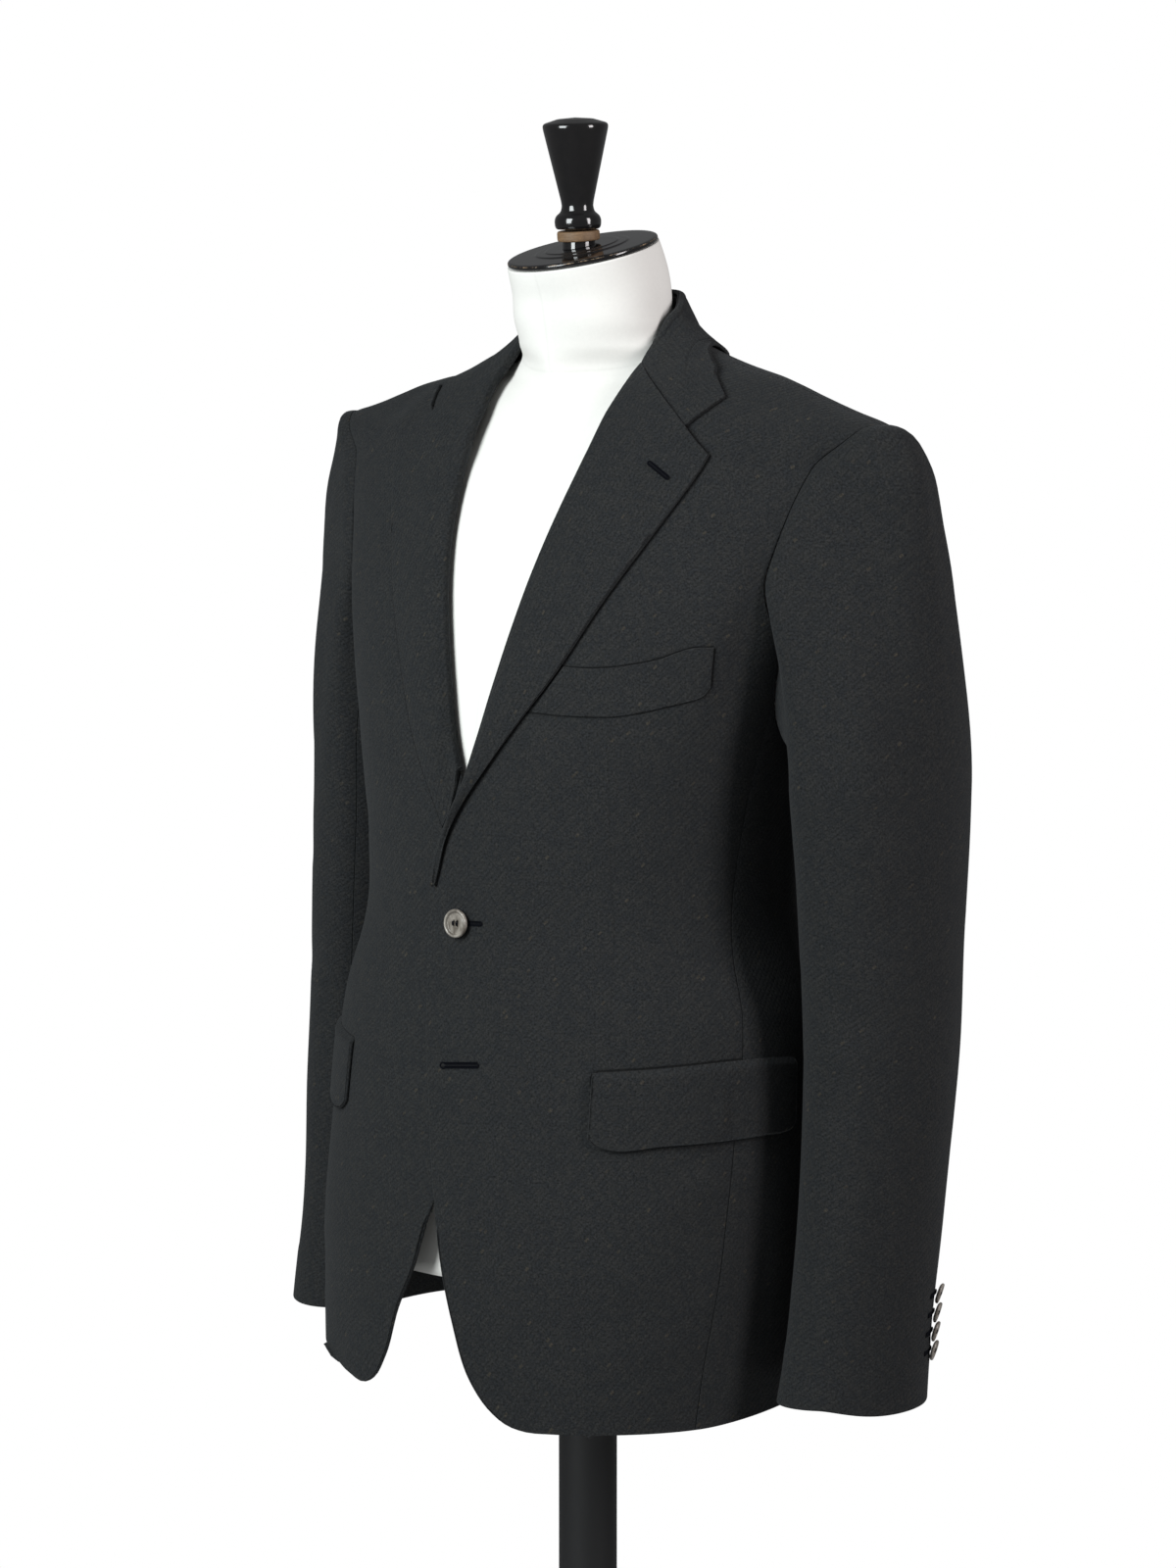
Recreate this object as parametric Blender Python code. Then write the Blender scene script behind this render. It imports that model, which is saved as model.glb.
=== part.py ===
"""A man's two-button sport coat on a limbless dress form with a neck cap, a pole and a base plate.

The front faces -Y, the wearer's left is +X, and the origin is under the pole on the floor. Metres.

The coat's cloth is cut from one worn surface. A place on it is a turn round the body and a height,
and each panel is a patch of (turn, height) places between four edges, with a wall behind its face.
"""

import math

import bpy
import numpy as np

# ---------------------------------------------------------------- driving dimensions
CLOTH = 0.0026  # thickness of the faced wool cloth
SEAM_GAP = 0.0004  # air between pieces at a seam
FLAP_CLOTH = 0.0030
LAPEL_CLOTH = 0.0028

HEM_FRONTS = {1: 0.761, -1: 0.785}  # height of the hem at the left front and at the right one
HEM_BACK = 0.784
HEM_LEANS = {1: -0.005, -1: 0.002}  # how much higher the hem is at each side seam
SHOULDER_POINT = 1.434
NECK_POINT = 1.498
NAPE = 1.479
ARMPIT = 1.222
BUTTON_PLACE = (0.0018, 1.0955)  # across and height
FOLD_ROOM = 0.0033  # how far the roll line stands out past the front it is folded over

# How finely the cloth is faceted.
ROWS_LOWER = 12  # rows of a panel below its armhole
ROWS_ARMHOLE = 8
COLUMNS_FRONT = 9
COLUMNS_SIDE = 6
COLUMNS_BACK = 10
ROWS_LAPEL = 17

FULL_TURN = 2 * math.pi
SIDE = math.pi / 2

# The worn surface, a section for each height. Side is where its widest point lies along Y, and the
# powers say how square its corners are.
SECTION_COLUMNS = ("height", "half_width", "front", "back", "side", "front_power", "back_power")
BODY_ROWS = (
    (0.740, 0.1770, -0.174, 0.141, 0.000, 2.30, 2.35),
    (0.800, 0.1800, -0.172, 0.139, 0.000, 2.30, 2.35),
    (0.870, 0.1855, -0.166, 0.136, 0.000, 2.30, 2.35),
    (0.950, 0.1845, -0.154, 0.130, 0.002, 2.28, 2.30),
    (1.030, 0.1797, -0.143, 0.114, 0.005, 2.25, 2.25),
    (1.096, 0.1600, -0.135, 0.102, 0.008, 2.25, 2.25),
    (1.160, 0.1615, -0.132, 0.108, 0.010, 2.35, 2.30),
    (1.220, 0.1695, -0.126, 0.120, 0.013, 2.50, 2.40),
    (1.270, 0.1820, -0.116, 0.126, 0.016, 2.50, 2.45),
    (1.320, 0.2010, -0.102, 0.126, 0.018, 2.30, 2.40),
    (1.370, 0.2190, -0.084, 0.121, 0.019, 1.95, 2.30),
    (1.405, 0.2290, -0.0695, 0.113, 0.020, 1.72, 2.10),
    (1.434, 0.2340, -0.056, 0.101, 0.020, 1.55, 1.90),
    (1.443, 0.2140, -0.0515, 0.097, 0.020, 1.50, 1.80),
    (1.455, 0.1860, -0.045, 0.091, 0.020, 1.45, 1.75),
    (1.467, 0.1540, -0.0375, 0.085, 0.020, 1.40, 1.70),
    (1.476, 0.1180, -0.030, 0.081, 0.020, 1.42, 1.70),
    (1.486, 0.0870, -0.022, 0.075, 0.020, 1.50, 1.72),
    (1.498, 0.0690, -0.013, 0.067, 0.020, 1.65, 1.78),
    (1.512, 0.0600, -0.004, 0.060, 0.020, 1.80, 1.80),
)
POWER_BLEND = 0.35  # how far each side of the side line the front and back powers mix
CORNER_SOFTNESS = 0.05

# The edge of each front from the hem to the break. Across is from the centre towards that side.
EDGE_COLUMNS = ("across", "height")
LEFT_EDGE_ROWS = (
    (0.1163, 0.7614),
    (0.0941, 0.7611),
    (0.0780, 0.7614),
    (0.0665, 0.7645),
    (0.0535, 0.7735),
    (0.0388, 0.7915),
    (0.0219, 0.8315),
    (0.0112, 0.8630),
    (0.0003, 0.9056),
    (-0.0071, 0.9375),
    (-0.0141, 0.9760),
    (-0.0207, 1.0125),
    (-0.0242, 1.0530),
    (-0.0262, 1.0935),
    (-0.0217, 1.1180),
)
RIGHT_EDGE_ROWS = (
    (0.1180, 0.7865),
    (0.0990, 0.7815),
    (0.0790, 0.7765),
    (0.0643, 0.7745),
    (0.0525, 0.7800),
    (0.0412, 0.7965),
    (0.0296, 0.8319),
    (0.0168, 0.8610),
    (0.0075, 0.8950),
    (-0.0060, 0.9350),
    (-0.0141, 0.9760),
    (-0.0207, 1.0125),
    (-0.0242, 1.0530),
    (-0.0262, 1.0935),
    (-0.0217, 1.1180),
)
# The lines that the lapels fold back along, from the break to the collar.
LEFT_ROLL_ROWS = (
    (-0.0250, 1.1180),
    (-0.0225, 1.1355),
    (-0.0122, 1.1635),
    (0.0012, 1.1930),
    (0.0082, 1.2155),
    (0.0165, 1.2545),
    (0.0228, 1.2885),
    (0.0287, 1.3180),
    (0.0366, 1.3545),
    (0.0495, 1.4125),
    (0.0543, 1.4440),
    (0.0590, 1.4740),
)
RIGHT_ROLL_ROWS = (
    (-0.0250, 1.1180),
    (-0.0209, 1.1355),
    (-0.0103, 1.1635),
    (0.0010, 1.1930),
    (0.0092, 1.2155),
    (0.0208, 1.2545),
    (0.0311, 1.2885),
    (0.0397, 1.3180),
    (0.0478, 1.3545),
    (0.0530, 1.4125),
    (0.0545, 1.4460),
    (0.0590, 1.4740),
)
FRONT_EDGES = {1: LEFT_EDGE_ROWS, -1: RIGHT_EDGE_ROWS}
ROLLS = {1: LEFT_ROLL_ROWS, -1: RIGHT_ROLL_ROWS}
ROLL_TOP = LEFT_ROLL_ROWS[-1]  # where both meet the collar
# The lapel's outer edge from its lower end to its tip. The right lapel starts under the left one.
LEFT_LAPEL_ROWS = (
    (-0.0218, 1.1185),
    (-0.0170, 1.1270),
    (-0.0098, 1.1510),
    (0.0012, 1.1723),
    (0.0209, 1.2001),
    (0.0470, 1.2378),
    (0.0630, 1.2612),
    (0.0931, 1.3164),
    (0.1097, 1.3466),
    (0.1232, 1.3729),
    (0.1365, 1.4011),
    (0.1400, 1.4112),
)
RIGHT_LAPEL_ROWS = (
    (0.0180, 1.1573),
    (0.0332, 1.1868),
    (0.0533, 1.2238),
    (0.0647, 1.2498),
    (0.0923, 1.3107),
    (0.1156, 1.3631),
    (0.1304, 1.3990),
    (0.1350, 1.4147),
)
LEFT_LAPEL_FOOT = ((-0.0249, 1.1185), (-0.0218, 1.1185))
RIGHT_LAPEL_FOOT = ((0.0022, 1.1960), (0.0128, 1.1670), (0.0180, 1.1573))
NOTCHES = {"left": (0.1179, 1.4311), "right": (0.1060, 1.4383)}  # across and height
COLLAR_TIPS = {"left": (0.1328, 1.4529), "right": (0.1200, 1.4616)}

ARMHOLE_FRONT = 0.505  # how far the armhole reaches round the body from the side line, radians
ARMHOLE_DRAWN = 0.220  # how much less it reaches low at the front
ARMHOLE_BACK = 0.560
ARMHOLE_SHAPE = 0.62
FRONT_JOIN = 0.75  # where the side panel's seams meet the armhole, radians up its curve
BACK_JOIN = 1.15
BACK_SEAM_HEM_TURN = math.radians(115)
FRONT_SEAM_HEM_TURN = math.radians(62)


# ---------------------------------------------------------------- the worn surface
def columns_of(names, rows):
    return dict(zip(names, np.array(rows, float).T))


BODY = columns_of(SECTION_COLUMNS, BODY_ROWS)


def along(table, column, at, key="height"):
    """A smooth value of one column of a table, at places along its key column."""
    keys, values = table[key], table[column]
    slopes = np.gradient(values, keys)
    at = np.clip(at, keys[0], keys[-1])
    low = np.clip(np.searchsorted(keys, at) - 1, 0, len(keys) - 2)
    span = keys[low + 1] - keys[low]
    t = (at - keys[low]) / span
    return (
        values[low] * (1 + 2 * t) * (1 - t) ** 2
        + slopes[low] * span * t * (1 - t) ** 2
        + values[low + 1] * t**2 * (3 - 2 * t)
        + slopes[low + 1] * span * t**2 * (t - 1)
    )


def smoothstep(t):
    t = np.clip(t, 0, 1)
    return t * t * (3 - 2 * t)


def section_point(table, turn, height):
    """A point of a surface given by sections. Turn is 0 at centre front, 90 degrees at the left."""
    turn, height = np.broadcast_arrays(np.asarray(turn, float), np.asarray(height, float))
    value = {name: along(table, name, height) for name in SECTION_COLUMNS[1:]}
    sine, cosine = np.sin(turn), np.cos(turn)
    in_front = smoothstep((cosine + POWER_BLEND) / (2 * POWER_BLEND))
    power = value["back_power"] * (1 - in_front) + value["front_power"] * in_front
    behind, ahead = value["back"] - value["side"], value["side"] - value["front"]
    depth = behind * (1 - in_front) + ahead * in_front
    sine_size = np.sqrt(sine**2 + CORNER_SOFTNESS**2)
    cosine_size = np.sqrt(cosine**2 + CORNER_SOFTNESS**2)
    reach = (sine_size**power + cosine_size**power) ** (-1 / power)
    across, along_y = value["half_width"] * reach * sine, value["side"] - depth * reach * cosine
    return np.stack([across, along_y, height], -1)


def body_point(turn, height):
    """A point of the coat's outer face."""
    return section_point(BODY, turn, height)


def body_normal(turn, height):
    """The direction out of the cloth at a place on the worn surface."""
    step = 1e-4
    round_body = body_point(turn + step, height) - body_point(turn - step, height)
    upward = body_point(turn, height + step) - body_point(turn, height - step)
    normal = np.cross(round_body, upward)
    return normal / np.linalg.norm(normal, axis=-1, keepdims=True)


def turn_at(across, height):
    """The turn, on the front, at which the worn surface lies that far across from the centre."""
    turns = np.linspace(-SIDE, SIDE, 721)
    across, height = np.broadcast_arrays(np.asarray(across, float), np.asarray(height, float))
    found = [
        np.interp(x, body_point(turns, z)[:, 0], turns)
        for x, z in zip(across.ravel(), height.ravel())
    ]
    return np.array(found).reshape(across.shape)


# ---------------------------------------------------------------- curves and patches of places
def smooth_curve(rows, count):
    """Points evenly spaced along a smooth curve through the rows."""
    rows = np.array(rows, float)
    steps = np.r_[0, np.cumsum(np.linalg.norm(np.diff(rows, axis=0), axis=1))]
    table = {"at": steps, **{str(k): rows[:, k] for k in range(rows.shape[1])}}
    dense = np.linspace(0, steps[-1], 400)
    line = np.stack([along(table, str(k), dense, "at") for k in range(rows.shape[1])], -1)
    return spread_evenly(line, count)


def spread_evenly(line, count):
    steps = np.r_[0, np.cumsum(np.linalg.norm(np.diff(line, axis=0), axis=1))]
    at = np.linspace(0, steps[-1], count)
    return np.stack([np.interp(at, steps, line[:, k]) for k in range(line.shape[1])], -1)


def patch(bottom, top, left, right):
    """A grid of places between four edges, rows from bottom to top and columns from left to right."""
    u = np.linspace(0, 1, len(bottom))[None, :, None]
    v = np.linspace(0, 1, len(left))[:, None, None]
    ruled = bottom[None] * (1 - v) + top[None] * v + left[:, None] * (1 - u) + right[:, None] * u
    corners = (bottom[0] * (1 - u) + bottom[-1] * u) * (1 - v) + (top[0] * (1 - u) + top[-1] * u) * v
    return ruled - corners


def places(turns, heights):
    return np.stack(np.broadcast_arrays(np.asarray(turns, float), np.asarray(heights, float)), -1)


def hem_height(turn, side):
    """The left front, which is the outer one, hangs lowest."""
    turn = np.asarray(turn, float)
    share = (1 - np.cos(turn)) / 2
    lean = HEM_LEANS[side] * np.sin(turn) * smoothstep((turn - 0.6) / 0.6)
    return HEM_FRONTS[side] + (HEM_BACK - HEM_FRONTS[side]) * smoothstep(share) + lean


def armhole(sweep, reach):
    """Places on the armhole: sweep runs from 0 at the armpit to pi at the shoulder point."""
    middle, half = (SHOULDER_POINT + ARMPIT) / 2, (SHOULDER_POINT - ARMPIT) / 2
    bulge = np.clip(np.sin(sweep), 0, 1) ** ARMHOLE_SHAPE
    if reach < 0:
        reach = reach + ARMHOLE_DRAWN * (1 - smoothstep((sweep - 0.95) / 0.70))
    return places(SIDE + reach * bulge, middle - half * np.cos(sweep))


def evenly_on_body(line, count):
    """Places evenly spaced over the cloth along a line of places."""
    steps = np.linalg.norm(np.diff(body_point(line[:, 0], line[:, 1]), axis=0), axis=1)
    at = np.r_[0, np.cumsum(steps)]
    even = np.linspace(0, at[-1], count)
    return np.stack([np.interp(even, at, line[:, k]) for k in (0, 1)], -1)


def front_armhole(count):
    """From the front seam up to the shoulder point."""
    return evenly_on_body(armhole(np.linspace(FRONT_JOIN, math.pi, 300), -ARMHOLE_FRONT), count)


def back_armhole(count):
    """From the back seam up to the shoulder point."""
    return evenly_on_body(armhole(np.linspace(BACK_JOIN, math.pi, 300), ARMHOLE_BACK), count)


def under_armhole(count):
    """The armhole's lowest stretch, from the front seam to the back seam."""
    signed = np.linspace(-FRONT_JOIN, BACK_JOIN, 300)
    front = armhole(np.abs(signed), -ARMHOLE_FRONT)
    back = armhole(np.abs(signed), ARMHOLE_BACK)
    return evenly_on_body(np.where(signed[:, None] < 0, front, back), count)


def as_places(rows):
    """Rows of (across, height) on the front, as (turn, height)."""
    edge = columns_of(EDGE_COLUMNS, rows)
    return places(turn_at(edge["across"], edge["height"]), edge["height"])


def seam_down(hem_turn, join, reach, count, side):
    """The side panel's seam from the hem up to the armhole."""
    top = armhole(np.array([join]), reach)[0]
    rise = np.linspace(0, 1, count)
    turns = hem_turn + (top[0] - hem_turn) * rise
    low = hem_height(hem_turn, side)
    return places(turns, low + (top[1] - low) * rise)


def front_edge(count, side):
    """The front's edge from the hem, up under the lapel's fold, and on along the neck."""
    roll = smooth_curve(ROLLS[side], 200)
    roll[:, 0] += FOLD_ROOM
    edge = as_places(np.concatenate([smooth_curve(FRONT_EDGES[side], 200), roll[1:]]))
    neck = np.linspace(edge[-1], (SIDE, NECK_POINT), 60)
    return evenly_on_body(np.concatenate([edge, neck[1:]]), count)


def front_places(rows_lower, rows_armhole, columns, side):
    left = front_edge(rows_lower + rows_armhole + 1, side)
    seam = seam_down(FRONT_SEAM_HEM_TURN, FRONT_JOIN, -ARMHOLE_FRONT, rows_lower + 1, side)
    right = np.concatenate([seam, front_armhole(rows_armhole + 1)[1:]])
    hem_turns = np.linspace(left[0, 0], right[0, 0], columns)
    bottom = places(hem_turns, np.linspace(left[0, 1], right[0, 1], columns))
    top = places(SIDE, np.linspace(NECK_POINT, SHOULDER_POINT, columns))
    return patch(bottom, top, left, right)


def side_places(rows_lower, columns, side):
    left = seam_down(FRONT_SEAM_HEM_TURN, FRONT_JOIN, -ARMHOLE_FRONT, rows_lower + 1, side)
    right = seam_down(BACK_SEAM_HEM_TURN, BACK_JOIN, ARMHOLE_BACK, rows_lower + 1, side)
    top = under_armhole(columns)
    hem_turns = np.linspace(left[0, 0], right[0, 0], columns)
    return patch(places(hem_turns, hem_height(hem_turns, side)), top, left, right)


def neckline(count):
    """The back neck seam from the neck point to the nape."""
    share = np.linspace(0, 1, count)
    return places(SIDE + SIDE * share, NECK_POINT + (NAPE - NECK_POINT) * smoothstep(share))


def back_places(rows_lower, rows_armhole, columns, side):
    """The shoulder seam is its top, and the neckline carries on from the centre back."""
    seam = seam_down(BACK_SEAM_HEM_TURN, BACK_JOIN, ARMHOLE_BACK, rows_lower + 1, side)
    left = np.concatenate([seam, back_armhole(rows_armhole + 1)[1:]])
    hem_turns = np.linspace(left[0, 0], math.pi, columns)
    bottom = places(hem_turns, hem_height(hem_turns, side))
    neck_rows = round(rows_armhole * 0.4)
    lower = places(math.pi, np.linspace(bottom[-1, 1], seam[-1, 1], rows_lower + 1))
    upper = places(math.pi, np.linspace(seam[-1, 1], NAPE, rows_armhole - neck_rows + 1))
    right = np.concatenate([lower, upper[1:], neckline(neck_rows + 1)[::-1][1:]])
    top = places(SIDE, np.linspace(SHOULDER_POINT, NECK_POINT, columns))
    return patch(bottom, top, left, right)


# ---------------------------------------------------------------- how the coat hangs
# How far its shoulders and collar hang below the even shape, across from the wearer's right to left.
SETTLE_COLUMNS = ("across", "drop")
SETTLE_ROWS = (
    (-0.245, 0.0040),
    (-0.230, 0.0070),
    (-0.205, 0.0105),
    (-0.170, 0.0130),
    (-0.120, 0.0160),
    (-0.085, 0.0130),
    (0.000, 0.0095),
    (0.070, 0.0060),
    (0.150, 0.0065),
    (0.185, 0.0055),
    (0.215, 0.0030),
    (0.245, 0.0010),
    (0.265, 0.0000),
)
SETTLE = columns_of(SETTLE_COLUMNS, SETTLE_ROWS)
SETTLE_FROM = (1.405, 0.030)  # the height it starts at, and how much lower that is over the arms
SETTLE_BLEND = 0.075
ARM_OUT = (0.0030, 0.0050)  # how far the left sleeve stands out, and its head beyond that
ARM_IN = 0.0065  # how far the right sleeve's head lies in
CUFF_LEVEL = 0.007  # how far the left cuff's outer side hangs down
CUFF_RAISED = 0.006  # how much higher the right cuff is
AHEAD_COLUMNS = ("height", "ahead")  # how far forward the front of the left sleeve is
AHEAD_ROWS = (
    (0.800, 0.0010),
    (0.860, 0.0045),
    (0.940, 0.0050),
    (1.020, 0.0050),
    (1.090, 0.0045),
    (1.130, 0.0065),
    (1.165, 0.0095),
    (1.195, 0.0110),
    (1.225, 0.0090),
    (1.260, 0.0040),
    (1.300, 0.0000),
)
AHEAD = columns_of(AHEAD_COLUMNS, AHEAD_ROWS)


def settled(points):
    """The coat's even shape, moved as it hangs: the right shoulder lower, the left arm further out."""
    x, y, z = np.moveaxis(np.asarray(points, float), -1, 0)
    start = SETTLE_FROM[0] - SETTLE_FROM[1] * smoothstep((np.abs(x) - 0.135) / 0.04)
    drop = along(SETTLE, "drop", x, "across") * smoothstep((z - start) / SETTLE_BLEND)
    at_head = np.exp(-(((z - 1.405) / 0.028) ** 2))
    low = smoothstep((0.90 - z) / 0.12)
    out = (ARM_OUT[0] * (1 - low) + ARM_OUT[1] * at_head) * smoothstep((x - 0.205) / 0.05)
    out += ARM_IN * at_head * smoothstep((-x - 0.205) / 0.05)
    level = CUFF_LEVEL * low * smoothstep((x - 0.236) / 0.034)
    raised = CUFF_RAISED * low * smoothstep((-x - 0.184) / 0.02)
    ahead = along(AHEAD, "ahead", z) * smoothstep((x - 0.176) / 0.022) * smoothstep((0.045 - y) / 0.06)
    return np.stack([x + out, y - ahead, z - drop - level + raised], -1)


# ---------------------------------------------------------------- solids
def material(name, colour, roughness, metallic=0.0):
    found = bpy.data.materials.get(name)
    if found:
        return found
    made = bpy.data.materials.new(name)
    made.use_nodes = True
    shader = made.node_tree.nodes["Principled BSDF"]
    shader.inputs["Base Color"].default_value = (*colour, 1)
    shader.inputs["Roughness"].default_value = roughness
    shader.inputs["Metallic"].default_value = metallic
    made.diffuse_color = (*colour, 1)
    return made


def wool():
    return material("wool", (0.020, 0.026, 0.026), 0.9)


def horn():
    return material("horn", (0.42, 0.38, 0.32), 0.4)


def linen():
    return material("linen", (0.84, 0.82, 0.77), 0.85)


def lacquer():
    return material("black_lacquer", (0.012, 0.012, 0.014), 0.12)


def raw_wood():
    return material("raw_wood", (0.32, 0.22, 0.13), 0.7)


def black_steel():
    return material("black_steel", (0.01, 0.01, 0.01), 0.4, 0.6)


def solid(name, points, faces, look, smooth=True):
    mesh = bpy.data.meshes.new(name)
    mesh.from_pydata([tuple(p) for p in points], [], faces)
    mesh.validate()
    made = bpy.data.objects.new(name, mesh)
    bpy.context.scene.collection.objects.link(made)
    made.data.materials.append(look)
    if smooth:
        mesh.shade_smooth()
        mesh.set_sharp_from_angle(angle=math.radians(40))
    return made


def outline_of(rows, columns):
    """The indices round the edge of a grid, in order."""
    index = np.arange(rows * columns).reshape(rows, columns)
    return np.concatenate([index[0, :-1], index[:-1, -1], index[-1, :0:-1], index[:0:-1, 0]])


def inset(grid, gap):
    """The grid with its outline drawn in by the gap, to leave the seams open."""
    made = grid.copy()
    for edge, inner in ((0, 1), (-1, -2)):
        made[edge] += shift(grid[inner] - grid[edge], gap)
        made[:, edge] += shift(grid[:, inner] - grid[:, edge], gap)
    return made


def shift(towards, gap):
    length = np.linalg.norm(towards, axis=-1, keepdims=True)
    return towards / np.maximum(length, 1e-9) * gap


def wall(name, face, inward, look, thickness=CLOTH, gap=SEAM_GAP / 2):
    """A cloth wall. Face is the grid of its outer side, and inward the direction into the cloth."""
    rows, columns = face.shape[:2]
    outer = inset(face, gap)
    inner = outer + inward * np.asarray(thickness)[..., None]
    points = settled(np.concatenate([outer.reshape(-1, 3), inner.reshape(-1, 3)]))
    behind = rows * columns
    faces = []
    for r in range(rows - 1):
        for c in range(columns - 1):
            a, b = r * columns + c, r * columns + c + 1
            d, e = a + columns, b + columns
            faces.append((a, b, e, d))
            faces.append((a + behind, d + behind, e + behind, b + behind))
    rim = outline_of(rows, columns)
    for a, b in zip(rim, np.roll(rim, -1)):
        faces.append((int(a), int(a + behind), int(b + behind), int(b)))
    if signed_volume(points, faces) < 0:
        faces = [face[::-1] for face in faces]
    return solid(name, points, faces, look)


def signed_volume(points, faces):
    total = 0.0
    for f in faces:
        for k in range(1, len(f) - 1):
            total += np.dot(points[f[0]], np.cross(points[f[k]], points[f[k + 1]]))
    return total


def mirrored(grid):
    """The wearer's other side."""
    return grid * np.array([-1, 1, 1])


def body_wall(name, grid_places, look, side, lift=0.0, **more):
    """A wall on the worn surface, on the wearer's left or, with side -1, on the right."""
    turn, height = grid_places[..., 0], grid_places[..., 1]
    normal = body_normal(turn, height)
    face = body_point(turn, height) + normal * np.asarray(lift)[..., None]
    if side < 0:
        face, normal = mirrored(face), mirrored(normal)
    return wall(name, face, -normal, look, **more)


# ---------------------------------------------------------------- coat body
OVERLAP_LIFT = 0.0036  # how far the left front stands off the right one at the centre
OVERLAP_REACH = 0.075  # how far across it takes to come back


def front_lift(grid_places, side):
    """The left front rides over the right one, up to where their lapels part."""
    if side < 0:
        return np.zeros(grid_places.shape[:-1])
    across = body_point(grid_places[..., 0], grid_places[..., 1])[..., 0]
    apart = smoothstep((grid_places[..., 1] - 1.19) / 0.12)
    return OVERLAP_LIFT * (1 - smoothstep((across - 0.02) / OVERLAP_REACH)) * (1 - apart)


def build_body():
    for name, sign in (("left", 1), ("right", -1)):
        front = front_places(ROWS_LOWER, ROWS_ARMHOLE, COLUMNS_FRONT, sign)
        side = side_places(ROWS_LOWER, COLUMNS_SIDE, sign)
        back = back_places(ROWS_LOWER, ROWS_ARMHOLE, COLUMNS_BACK, sign)
        body_wall(f"{name}_front", front, wool(), sign, lift=front_lift(front, sign))
        body_wall(f"{name}_side_panel", side, wool(), sign)
        body_wall(f"{name}_back", back, wool(), sign)


# ---------------------------------------------------------------- lapels
LAPEL_AIR = 0.0008
LAPEL_BELLY = 0.0040  # how far the lapel stands off the chest, midway across
GORGE_COLUMNS = 5  # between the roll line and the notch
TIP_COLUMNS = 2  # between the notch and the tip


def unit(vectors):
    return vectors / np.linalg.norm(vectors, axis=-1, keepdims=True)


def over_fold(edge, away, out, cloth, under, air):
    """Two columns that carry a cloth round the edge of the one below it, and their inward ways."""
    end = edge - out * under + away * (air + cloth)
    corner = edge + unit(away + out) * (air + cloth) * 1.15
    return np.stack([end, corner], axis=1), np.stack([-away, -unit(away + out)], axis=1)


def with_fold(face, inward, away, out, cloth, under, air):
    """The grid with its first column carried round the fold."""
    edge = face[:, 0] - out * (air + cloth)
    points, ways = over_fold(edge, away, out, cloth, under, air)
    return np.concatenate([points, face], axis=1), np.concatenate([ways, inward], axis=1)


def gorge(corner, notch, tip):
    """The top of a lapel, or the front end of the collar: roll line to notch, and notch to tip."""
    first = np.linspace(corner, notch, GORGE_COLUMNS + 1)
    second = np.linspace(notch, tip, TIP_COLUMNS + 1)
    return as_places(np.concatenate([first, second[1:]]))


def lapel_places(name, rows):
    edge_rows, foot, roll_rows = {
        "left": (LEFT_LAPEL_ROWS, LEFT_LAPEL_FOOT, LEFT_ROLL_ROWS),
        "right": (RIGHT_LAPEL_ROWS, RIGHT_LAPEL_FOOT, RIGHT_ROLL_ROWS),
    }[name]
    kept = [row for row in roll_rows if row[1] > foot[0][1] + 0.002]
    roll = smooth_curve([foot[0], *kept], rows)
    roll[:, 0] += FOLD_ROOM
    top = gorge(roll[-1], NOTCHES[name], edge_rows[-1])
    foot = np.array(foot)
    foot[0, 0] += FOLD_ROOM
    foot[-1, 0] = max(foot[-1, 0], foot[0, 0] + 0.002)
    edge_rows = np.array(edge_rows)
    edge_rows[0, 0] = foot[-1, 0]
    bottom = as_places(smooth_curve(foot, len(top)))
    edge = as_places(smooth_curve(edge_rows, rows))
    share = np.linspace(0, 1, len(top))[None, :, None]
    grid = as_places(roll)[:, None] * (1 - share) + edge[:, None] * share
    rise = np.linspace(0, 1, rows)[:, None, None]
    return grid + (bottom - grid[0]) * (1 - rise) ** 6 + (top - grid[-1]) * rise**4


def build_lapels():
    rows = ROWS_LAPEL
    for name, sign in (("left", 1), ("right", -1)):
        grid = lapel_places(name, rows)
        u = np.linspace(0, 1, grid.shape[1])[None, :]
        v = np.linspace(0, 1, rows)[:, None]
        belly = LAPEL_BELLY * np.sin(math.pi * u**0.7) * (1 - 0.4 * v) * smoothstep(v * 6)
        lift = LAPEL_AIR + LAPEL_CLOTH + belly + front_lift(grid, sign)
        normal = body_normal(grid[..., 0], grid[..., 1])
        face = body_point(grid[..., 0], grid[..., 1]) + normal * lift[..., None]
        away = unit(face[:, 0] - face[:, 1])
        away = unit(away - normal[:, 0] * (away * normal[:, 0]).sum(-1, keepdims=True))
        face, inward = with_fold(face, -normal, away, normal[:, 0], LAPEL_CLOTH, CLOTH * 0.55, LAPEL_AIR)
        flip = np.array([sign, 1, 1])
        wall(f"{name}_lapel", face * flip, inward * flip, wool(), thickness=LAPEL_CLOTH)


# ---------------------------------------------------------------- collar
# The top of the collar's stand, from the side of the neck to the nape, as (across, along, height).
STAND_EDGE_ROWS = (
    (0.0612, -0.0072, 1.4840),
    (0.0605, 0.0124, 1.5025),
    (0.0540, 0.0324, 1.5145),
    (0.0425, 0.0485, 1.5205),
    (0.0228, 0.0605, 1.5230),
    (0.0000, 0.0645, 1.5235),
)
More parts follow.
